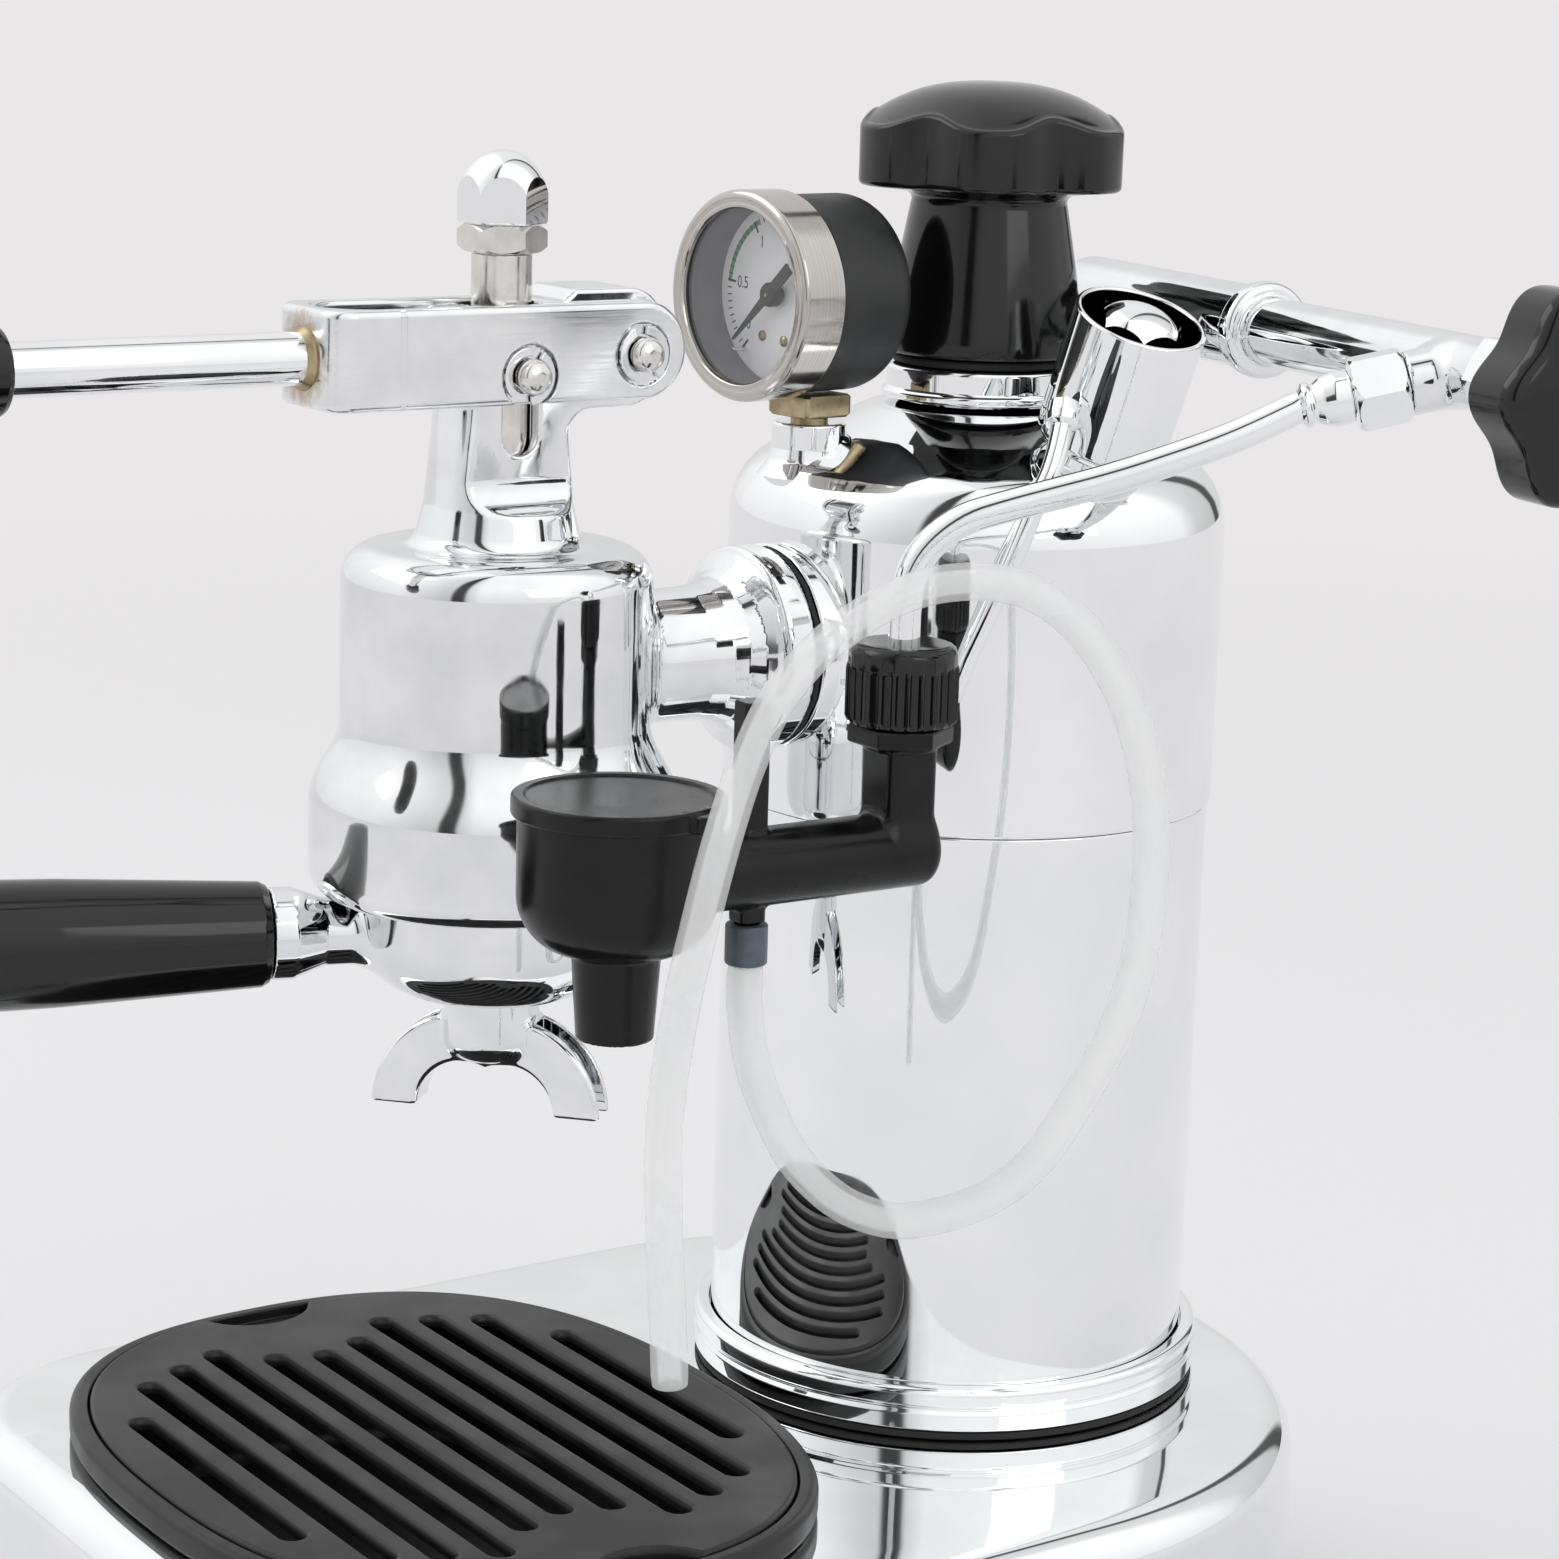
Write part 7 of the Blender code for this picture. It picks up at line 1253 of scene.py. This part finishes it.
def makeFrother():
    skinOf("frother_moulding", frotherShape, (51, -146, 154.5), (89, -57.5, 213), 0.5, satinPolyamide, "wand",
           ("frother_body",))
    x, y = wand["end"]
    low, high = frother["nutLow"], frother["nutHigh"]
    steps, ribs = 288, 24
    rows = []
    for radius, level, rib in (
            (7.0, low + 9.4, 0), (7.0, low, 0), (9.0, low, 0), (9.3, low + 0.2, 0.3), (9.5, low + 0.7, 0.6),
            (9.5, low + 1.2, 1), (9.5, high - 4.6, 1), (9.5, high - 4.1, 0.7), (9.55, high - 3.6, 0),
            (9.5, high - 1.7, 0), (9.2, high - 0.8, 0), (8.5, high - 0.2, 0), (7.6, high, 0), (3.2, high, 0)):
        row = []
        for i in range(steps):
            angle = math.tau * i / steps
            reach = radius + 0.42 * rib * (2 * max(0.0, math.cos(ribs * angle)) - 1)
            row.append((reach * math.cos(angle), reach * math.sin(angle), level))
        rows.append(row)
    stacked("frother_cap_nut", rows, mouldedPhenolic, "wand", ("frother_nut",), at=upright(x, y),
            crease=40)
    sx, sy = frother["stem"]
    ringed("hose_sleeve", [(2.2, 165.8), (0.001, 165.6), (0.001, 165.0), (3.7, 165.0, 0.5),
        (3.7, 172.2, 0.5), (2.2, 172.2, 0.2)], slatePvc, "wand", ("hose_collar",), at=upright(sx, sy),
        steps=64)


def lidShape(p):
    # Flat lid with a low rim round its edge, a plain sunk field and a lifting lug
    x, y, z = p[..., 0] - frother["cup"][0], p[..., 1] - frother["cup"][1], p[..., 2]
    away = np.hypot(x, y)
    disc = both(away - 18.1, slab(z, 194.0, 197.5), 0.6)
    field = both(away - 15.8, 197.1 - z, 0.2)
    c, s = math.cos(math.radians(17)), math.sin(math.radians(17))
    along, across = x * c + y * s, -x * s + y * c
    lug = both(np.hypot(np.maximum(along - 19.2, 0), np.maximum(np.abs(across) - 0.8, 0)) - 1.9,
        slab(z, 194.1, 197.1), 0.5)
    lug = both(lug, 15 - along)
    under = both(away - 17.3, z - 195.5, 0.3)
    return without(without(either(disc, lug, 1.0), field, 0.2), under, 0.2)


makeFrother()
skinOf("lid_moulding", lidShape, (51, -146, 191), (92, -108, 198), 0.42, satinPolyamide, "frother_lid",
       ("frother_lid",))
print("frother made")


# Group casting with its neck, ear and nozzle

group = {"radius": 28.5, "top": 228.2, "mouth": 163.8, "bell": 34.0, "bellTop": 196.0, "bellWaist": 181.0,
         "neckTop": 271.0, "neckHalf": 7.5, "flatLevel": 235.3, "earEnd": 30.5, "earTop": 274.6,
         "slotHalf": 3.7, "slotBottom": 248.8, "nozzle": 204.7}
lever = {"pinDistance": 23.8, "pinTilt": 7.5, "low": -25.0, "high": 55.0, "rise": 22.3}


def rearPin(turn):
    angle = math.radians(turn - lever["pinTilt"])
    return (groupY + lever["pinDistance"] * math.cos(angle),
            pinLevel + lever["rise"] * math.radians(turn) - lever["pinDistance"] * math.sin(angle))


def groupShape(p):
    x, y, z = p[..., 0], p[..., 1] - groupY, p[..., 2]
    r = np.hypot(x, y)
    share = np.clip((group["bellTop"] - z) / (group["bellTop"] - group["bellWaist"]), 0, 1)
    size = group["radius"] + (group["bell"] - group["radius"]) * (1 - np.cos(np.pi * share)) / 2
    body = both(both(r - size, z - group["top"], 6.5), group["mouth"] - z, 4.6)
    cone = np.interp(z, [group["top"], 236, 254], [15.5, 13.6, 11.9])
    neck = both(both(r - cone, z - group["neckTop"], 1.0), 205 - z)
    # The ear's top slopes down to the neck beside the rod
    earTop = np.interp(y, (8.5, 11.3), (group["neckTop"], group["earTop"]))
    ear = both(both(both(y - group["earEnd"], z - earTop, 8), 253 - z, 8), -y)
    mill = both(group["neckHalf"] - np.abs(x), group["flatLevel"] - z, 6)
    upper = without(either(neck, ear, 5), mill, 0.8)
    reach = -p[..., 1]
    level = z - group["nozzle"]
    flare = np.interp(reach, [57.5, 58.5, 60.0, 62.5, 65.5, 69.0], [18.6, 17.3, 15.6, 14.0, 13.1, 12.7])
    pipe = both(np.hypot(x, level) - flare, slab(reach, 57.0, 105))
    flange = both(np.hypot(x, level) - 19.6, slab(reach, 51.3, 57.5), 0.9)
    made = either(body, either(pipe, flange, 0.6), 3.2)
    made = either(made, upper, 2.6)
    # Bore, gasket seat and the channel for the portafilter's ears, with two ways in from below
    room = both(r - 26.4, z - 170)
    for wide, low, high in ((30.2, 166, 172.1), (28.9, 170, 178.3), (26.6, 172, 222.3)):
        room = np.minimum(room, both(r - wide, slab(z, low, high)))
    for middle in (-258.3, -78.3):
        way = np.radians(turnFrom(x, y, middle) - 28) * 28
        room = np.minimum(room, np.maximum(both(r - 30.2, z - 167), way))
    made = without(made, room, 0.3)
    made = without(made, both(r - 5.85, 215 - z), 0.4)
    slot = np.where(z > group["slotBottom"], np.abs(y),
                    np.hypot(y, z - group["slotBottom"])) - group["slotHalf"]
    places = [rearPin(lever["low"] + (lever["high"] - lever["low"]) * i / 8) for i in range(9)]
    (lowY, lowZ), (highY, highZ) = [[pick(q[axis] for q in places) for axis in (0, 1)] for pick in (min, max)]
    past = np.maximum(np.maximum(lowY - groupY - y, y - (highY - groupY)), 0)
    rear = np.hypot(past, z - (lowZ + highZ) / 2) - (3.1 + (highZ - lowZ) / 2)
    made = without(without(made, slot, 0.4), rear, 0.4)
    return without(made, both(np.hypot(x, level) - 5, reach - 85))


def makeGroup():
    skinOf("group_casting", groupShape, (-35.5, groupY - 35.5, 163), (35.5, -50.5, 275.5), 0.75, castChrome,
           "machine", ("group_body",))


makeGroup()
print("group made")


# Piston rod, nuts and pins

rod = {"low": 189.2, "high": 292.8, "radius": 5.5, "thread": 4.0, "corner": 8.1, "lockLow": 281.0,
       "lockHigh": 285.8, "nutLow": 286.0, "nutTop": 298.9}
pin = {"face": 11.2, "groove": 2.2, "head": 3.3, "dome": 3.2, "clipIn": 3.6, "clipOut": 5.2}


def clipShape(p):
    # Spring clip: a flat ring split in two arcs, wider at the top and bottom
    x, y, z = p[..., 0], p[..., 1], p[..., 2]
    r = np.hypot(x, y)
    ring = both(r - pin["clipOut"], pin["clipIn"] - r, 0.15)
    for notch, wide in ((0, 14), (180, 26)):
        ring = np.maximum(ring, np.radians(wide - turnFrom(x, y, notch)) * 4)
    return both(ring, np.abs(z) - 0.4, 0.15)


def makePin(name, place, body, deep):
    axis = frameAlong(place, (1, 0, 0))
    # Domed ends with a groove for the clip
    face, groove, dome = pin["face"], pin["groove"], pin["face"] + pin["dome"]
    seat = face - deep
    half = [(2.5, seat, 0.2), (groove, seat + 0.2), (groove, seat + 1.0), (3.15, seat + 1.1, 0.3),
            (pin["head"], face + 1.2, 1.0), (2.7, face + 2.6, 1.5), (1.2, dome, 1.5), (0, dome)]
    profile = [(r, -h) + tuple(s) for r, h, *s in half[::-1]] + half
    ringed(name + "_shank", profile, nickelPlate, body, (name,), at=axis, steps=64)
    for side, sign in (("right", 1), ("left", -1)):
        turn = math.radians(70 if name == "front_pin" else 100)
        at = axis @ upright(0, 0, sign * (seat + 0.62)) @ Matrix.Rotation(turn, 4, "Z")
        skinOf(name + "_clip_" + side, clipShape, (-5.4, -5.4, -0.5), (5.4, 5.4, 0.5), 0.2, castChrome, body,
               at=at)


def makePiston():
    here = upright(0, groupY)
    low, high, r, thread = rod["low"], rod["high"], rod["radius"], rod["thread"]
    ringed("piston_shaft", [(0, low), (thread, low), (thread, 197.5), (r, 197.5, 0.3), (r, 280.7, 0.3),
        (thread, 280.7), (thread, high), (0, high)], nickelPlate, "piston", ("piston_rod",), at=here,
        steps=72)
    hexNut("rod_lock_nut", {"corner": rod["corner"], "low": rod["lockLow"], "high": rod["lockHigh"],
        "bore": 4.3, "drop": 1.0, "foot": 1.0}, nickelPlate, "piston", ("lock_nut",), at=here)
    domedNut("rod_acorn_nut", {"corner": rod["corner"], "top": rod["nutTop"], "low": rod["nutLow"],
        "drop": 9.6, "ball": 8.3}, "piston", ("acorn_nut",), here)
    makePin("front_pin", (0, groupY, pinLevel), "piston", 1.7)


makePiston()
y, z = rearPin(0)
makePin("rear_pin", (0, y, z), "lever", 0.9)
print("piston and pins made")


# Lever: fork casting, rod and grip

fork = {"middle": 263.45, "half": 8.85, "armHalf": 10.75, "blockHalf": 11.2, "front": -149.5,
        "rearRound": -85.2, "slotFront": -138.2, "slotHalf": 8.0, "rodLevel": 263.3, "hole": 2.8,
        "recess": 5.7}
grip = {"start": 206.0, "length": 112.0}


def forkShape(p):
    x, y, z = p[..., 0], p[..., 1], p[..., 2]
    back, face, above = y - fork["rearRound"], fork["blockHalf"], z - fork["middle"]
    side = np.where(back > 0, np.hypot(back, above), np.abs(above)) - fork["half"]
    # The front block stands half a millimetre proud of the arms
    wide = np.interp(y, (-136.2, -134.6), (face, fork["armHalf"]))
    plan = both(np.abs(x) - wide, fork["front"] - y, 5.0)
    made = both(plan, side, 1.3)
    ahead = y - fork["slotFront"]
    slot = np.where(ahead < 0, np.hypot(x, ahead), np.abs(x)) - fork["slotHalf"]
    made = without(made, slot, 0.9)
    py, pz = rearPin(0)
    for pinY, pinZ, deep in ((groupY, pinLevel, 1.9), (py, pz, 1.0)):
        hole = np.hypot(y - pinY, z - pinZ)
        made = without(made, hole - fork["hole"], 0.1)
        made = without(made, both(hole - fork["recess"], face - deep - np.abs(x)), 0.3)
    return without(made, both(np.hypot(x, z - fork["rodLevel"]) - 4.9, y + 144.5), 0.5)


def makeLever():
    skinOf("fork_casting", forkShape, (-11.6, -150, 254), (11.6, -75.9, 272.8), 0.45, forkFinish, "lever",
           ("lever_fork",))
    axis = frameAlong((0, 0, fork["rodLevel"]), (0, -1, 0))
    ringed("lever_bar", [(0, 144.8), (4.75, 144.8), (4.75, 262, 0.5), (0, 262)], chromePlate, "lever",
           ("lever_rod",), at=axis, steps=72)
    # Bead of brazing round the rod's root
    ringed("braze_bead", [(4.6, 149.2), (5.9, 149.2, 0.5), (5.5, 149.9, 0.4), (4.8, 150.9, 0.3),
        (4.6, 150.9)], bareBrass, "lever", at=axis, steps=64)
    start, length = grip["start"], grip["length"]
    ringed("grip_moulding", [
        (5.05, start), (7.4, start, 0.6), (8.0, start + 1.2, 0.9), (9.2, start + length * 0.08, 18),
        (12.8, start + length * 0.4, 60), (13.5, start + length * 0.62, 60),
        (11.7, start + length * 0.92, 12),
        (9.8, start + length * 0.985, 6), (0, start + length)],
        mouldedPhenolic, "lever", ("lever_grip",), at=axis, steps=96, crease=60)


makeLever()
print("lever made")


# Portafilter with its handle and twin spout

holder = {"turn": -18.3, "level": 157.0, "radius": 25.6, "low": 144.8, "top": 171.0, "earReach": 29.7,
          "earLevel": 168.3, "handleStart": 42.0, "handleLength": 108.0}
spout = {"turn": -47.6, "boss": 9.0, "arch": 13.7, "archLevel": 121.5, "core": 4.0, "thick": 4.4, "wide": 4.3}


def heading(turn):
    return np.array((math.sin(math.radians(turn)), -math.cos(math.radians(turn)), 0.0))


def holderShape(p):
    x, y, z = p[..., 0], p[..., 1] - groupY, p[..., 2]
    r = np.hypot(x, y)
    bowl = both(both(r - holder["radius"], holder["low"] - z, 13.0), z - holder["top"], 0.5)
    nipple = both(r - 5.5, slab(z, 138.5, 150), 0.3)
    ahead = heading(holder["turn"])
    start = np.array((0, groupY, holder["level"]))
    arm = barrel(p, start, ahead, 15, 41.7, lambda t: np.interp(t, [31.6, 37.5], [6.3, 8.5]), 0.5)
    stud = barrel(p, start, ahead, 40, 65.7, 3.0, 0.3)
    made = either(either(either(bowl, nipple, 0.5), arm, 3.0), stud)
    for side in (-1, 1):
        turn = turnFrom(x, y, -90 + holder["turn"] + side * 90)
        ear = both(both(r - holder["earReach"], np.abs(z - holder["earLevel"]) - 1.9, 0.4),
            np.maximum(np.radians(turn - 25) * 28, 20 - r))
        made = either(made, ear, 0.3)
    room = both(both(r - 22.9, 147.5 - z, 8.0), z - 190)
    made = without(made, room, 0.4)
    return without(made, both(r - 3.0, z - 150), 0.3)


def spoutShape(p):
    x, y, z = p[..., 0], p[..., 1] - groupY, p[..., 2]
    r = np.hypot(x, y)
    boss = both(both(r - spout["boss"], 131.5 - z, 5.0), z - 144.5, 0.5)
    out = heading(spout["turn"])
    s = np.abs(x * out[0] + y * out[1])
    w = x * -out[1] + y * out[0]
    # Each arm is a wide quarter-round arch; off is the distance outwards from its middle line
    off = np.hypot(s - spout["core"], (z - spout["archLevel"]) * 0.96) - spout["arch"]
    arm = both(both(np.abs(off) - spout["thick"], np.abs(w) - spout["wide"], 1.1), 122 - z, 0.6)
    made = either(boss, arm, 1.2)
    channel = both(both(-2.4 - off, np.abs(w) - 2.7, 1.0), np.maximum(9.4 - s, 118 - z))
    made = without(made, channel, 0.4)
    return without(made, both(r - 5.8, 137.9 - z), 0.3)


def makePortafilter():
    skinOf("holder_casting", holderShape, (-31, groupY - 66, 138), (31, groupY + 31, 172), 0.65, castChrome,
           "portafilter", ("portafilter_body",))
    skinOf("spout_casting", spoutShape, (-22, groupY - 22, 121), (22, groupY + 22, 145), 0.4, castChrome,
           "portafilter", ("portafilter_spout",))
    axis = frameAlong((0, groupY, holder["level"]), heading(holder["turn"]))
    start, length = holder["handleStart"], holder["handleLength"]
    ringed("handle_moulding", [
        (3.3, start), (9.0, start, 0.5), (9.7, start + 1.4, 0.8), (11.6, start + length * 0.35, 80),
        (12.2, start + length * 0.6, 80),
        (9.9, start + length * 0.93, 12), (8.0, start + length * 0.985, 5), (0, start + length)],
        mouldedPhenolic, "portafilter", ("portafilter_handle",), at=axis, steps=96, crease=60)


makePortafilter()
print("portafilter made")


# Pieces inside keep their solids and get their own finish

def dressSolids():
    finishes = {
        "base_cover": erodedAbs, "pressurestat": rolledSteel, "heating_element": nickelPlate,
        "group_gasket": pressedRubber,
        "group_sleeve": bareBrass, "shower_screen": rolledSteel, "portafilter_gasket": pressedRubber,
        "piston_head": nickelPlate, "piston_seal": pressedRubber, "filter_basket": rolledSteel,
    }
    for name, look in finishes.items():
        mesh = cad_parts[name].data
        mesh.materials.clear()
        mesh.materials.append(look)
    left = [n for n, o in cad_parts.items() if not o.hide_render and n not in finishes]
    print("solids still shown without a finish:", left)


dressSolids()


# Floor, light and surroundings

studio = {"floorLevel": -8.0, "floor": "#EDECED", "backdrop": "#E9E7E8", "floorReach": 6.0, "key": 4.0,
          "fill": 2.0, "soft": "#EDEDEE"}


def makeFloor():
    mesh = bpy.data.meshes.new("floor")
    reach, level = studio["floorReach"], studio["floorLevel"] * mm
    ring = [(reach * math.cos(math.tau * i / 64), reach * math.sin(math.tau * i / 64), level)
        for i in range(64)]
    mesh.from_pydata(ring, [], [tuple(range(64))])
    floor = bpy.data.objects.new("floor", mesh)
    bpy.context.scene.collection.objects.link(floor)
    made = bpy.data.materials.new("pale_studio_paper")
    made.use_nodes = True
    tree = made.node_tree
    shader = tree.nodes["Principled BSDF"]
    shader.inputs["Base Color"].default_value = linearColour(studio["floor"])
    shader.inputs["Roughness"].default_value = 0.9
    shader.inputs["Specular IOR Level"].default_value = 0.1
    # Far from the machine the paper passes into the backdrop's own tone
    place = addNode(tree, "TexCoord").outputs["Object"]
    away = addNode(tree, "VectorMath", {"operation": "LENGTH"}, {0: place})
    far = addNode(tree, "MapRange", {"From Min": 0.45, "From Max": 1.6}, {"Value": away.outputs["Value"]})
    glow = addNode(tree, "Emission", {"Color": linearColour(studio["backdrop"])})
    mix = addNode(tree, "MixShader", links={0: far.outputs[0], 1: shader.outputs[0], 2: glow.outputs[0]})
    tree.links.new(mix.outputs[0], tree.nodes["Material Output"].inputs["Surface"])
    mesh.materials.append(made)


def makeLights():
    for name, place, size, power in (("key", (-0.7, -0.9, 1.25), 1.0, studio["key"]),
        ("fill", (1.3, 0.1, 0.9), 0.8, studio["fill"])):
        data = bpy.data.lights.new(name, "AREA")
        data.shape = "RECTANGLE"
        data.size = size
        data.size_y = size * 0.8
        data.energy = power
        lamp = bpy.data.objects.new(name, data)
        lamp.location = place
        lamp.rotation_euler = (Vector((0, -0.06, 0.15)) - Vector(place)).to_track_quat("-Z", "Y").to_euler()
        bpy.context.scene.collection.objects.link(lamp)


def makeWorld():
    world = bpy.data.worlds.new("studio")
    bpy.context.scene.world = world
    world.use_nodes = True
    tree = world.node_tree
    tree.nodes.clear()
    path = addNode(tree, "LightPath")
    way = addNode(tree, "TexCoord").outputs["Generated"]
    parts = addNode(tree, "SeparateXYZ", links={0: way})
    # Reflections see a pale tent: brighter overhead, greyer low down, with two dark openings
    height = addNode(tree, "MapRange", {"From Min": -0.1, "From Max": 0.7, "To Min": 0.9, "To Max": 1.2},
        {"Value": parts.outputs[2]})
    turn = addNode(tree, "Math", {"operation": "ARCTAN2"}, {0: parts.outputs[1], 1: parts.outputs[0]})
    tent = addNode(tree, "ValToRGB", links={"Fac": addNode(
        tree, "MapRange", {"From Min": -math.pi, "From Max": math.pi},
        {"Value": turn.outputs[0]}).outputs[0]})
    stops = ((0.0, 0.98), (0.20, 1.0), (0.29, 0.72), (0.318, 0.66), (0.325, 0.06), (0.347, 0.06),
        (0.354, 0.70), (0.38, 0.95), (0.60, 1.0), (0.70, 0.98), (0.735, 0.70), (0.79, 0.62), (0.797, 0.10),
        (0.812, 0.10), (0.82, 0.74), (0.87, 0.76), (0.93, 0.76), (0.97, 0.95))
    ramp = tent.color_ramp
    for place, value in stops[1:-1]:
        ramp.elements.new(place)
    for element, (place, value) in zip(ramp.elements, stops):
        element.position = place
        element.color = (value, value, value, 1)
    mirror = addNode(tree, "Mix", {"data_type": "RGBA", "blend_type": "MULTIPLY", 0: 1.0},
        {6: tent.outputs["Color"], 7: height.outputs[0]})
    seen = addNode(tree, "Mix", {"data_type": "RGBA", 6: linearColour(studio["soft"])},
        {0: path.outputs["Is Glossy Ray"], 7: mirror.outputs[2]})
    behind = addNode(tree, "Math", {"operation": "MAXIMUM"}, {0: path.outputs["Is Camera Ray"],
        1: path.outputs["Is Transmission Ray"]})
    final = addNode(tree, "Mix", {"data_type": "RGBA", 7: linearColour(studio["backdrop"])},
        {0: behind.outputs[0], 6: seen.outputs[2]})
    light = addNode(tree, "Background", {"Strength": 1.0}, {"Color": final.outputs[2]})
    addNode(tree, "OutputWorld", links={"Surface": light.outputs[0]})


makeFloor()
makeLights()
makeWorld()
bpy.context.scene.view_settings.view_transform = "Standard"
print("studio made")
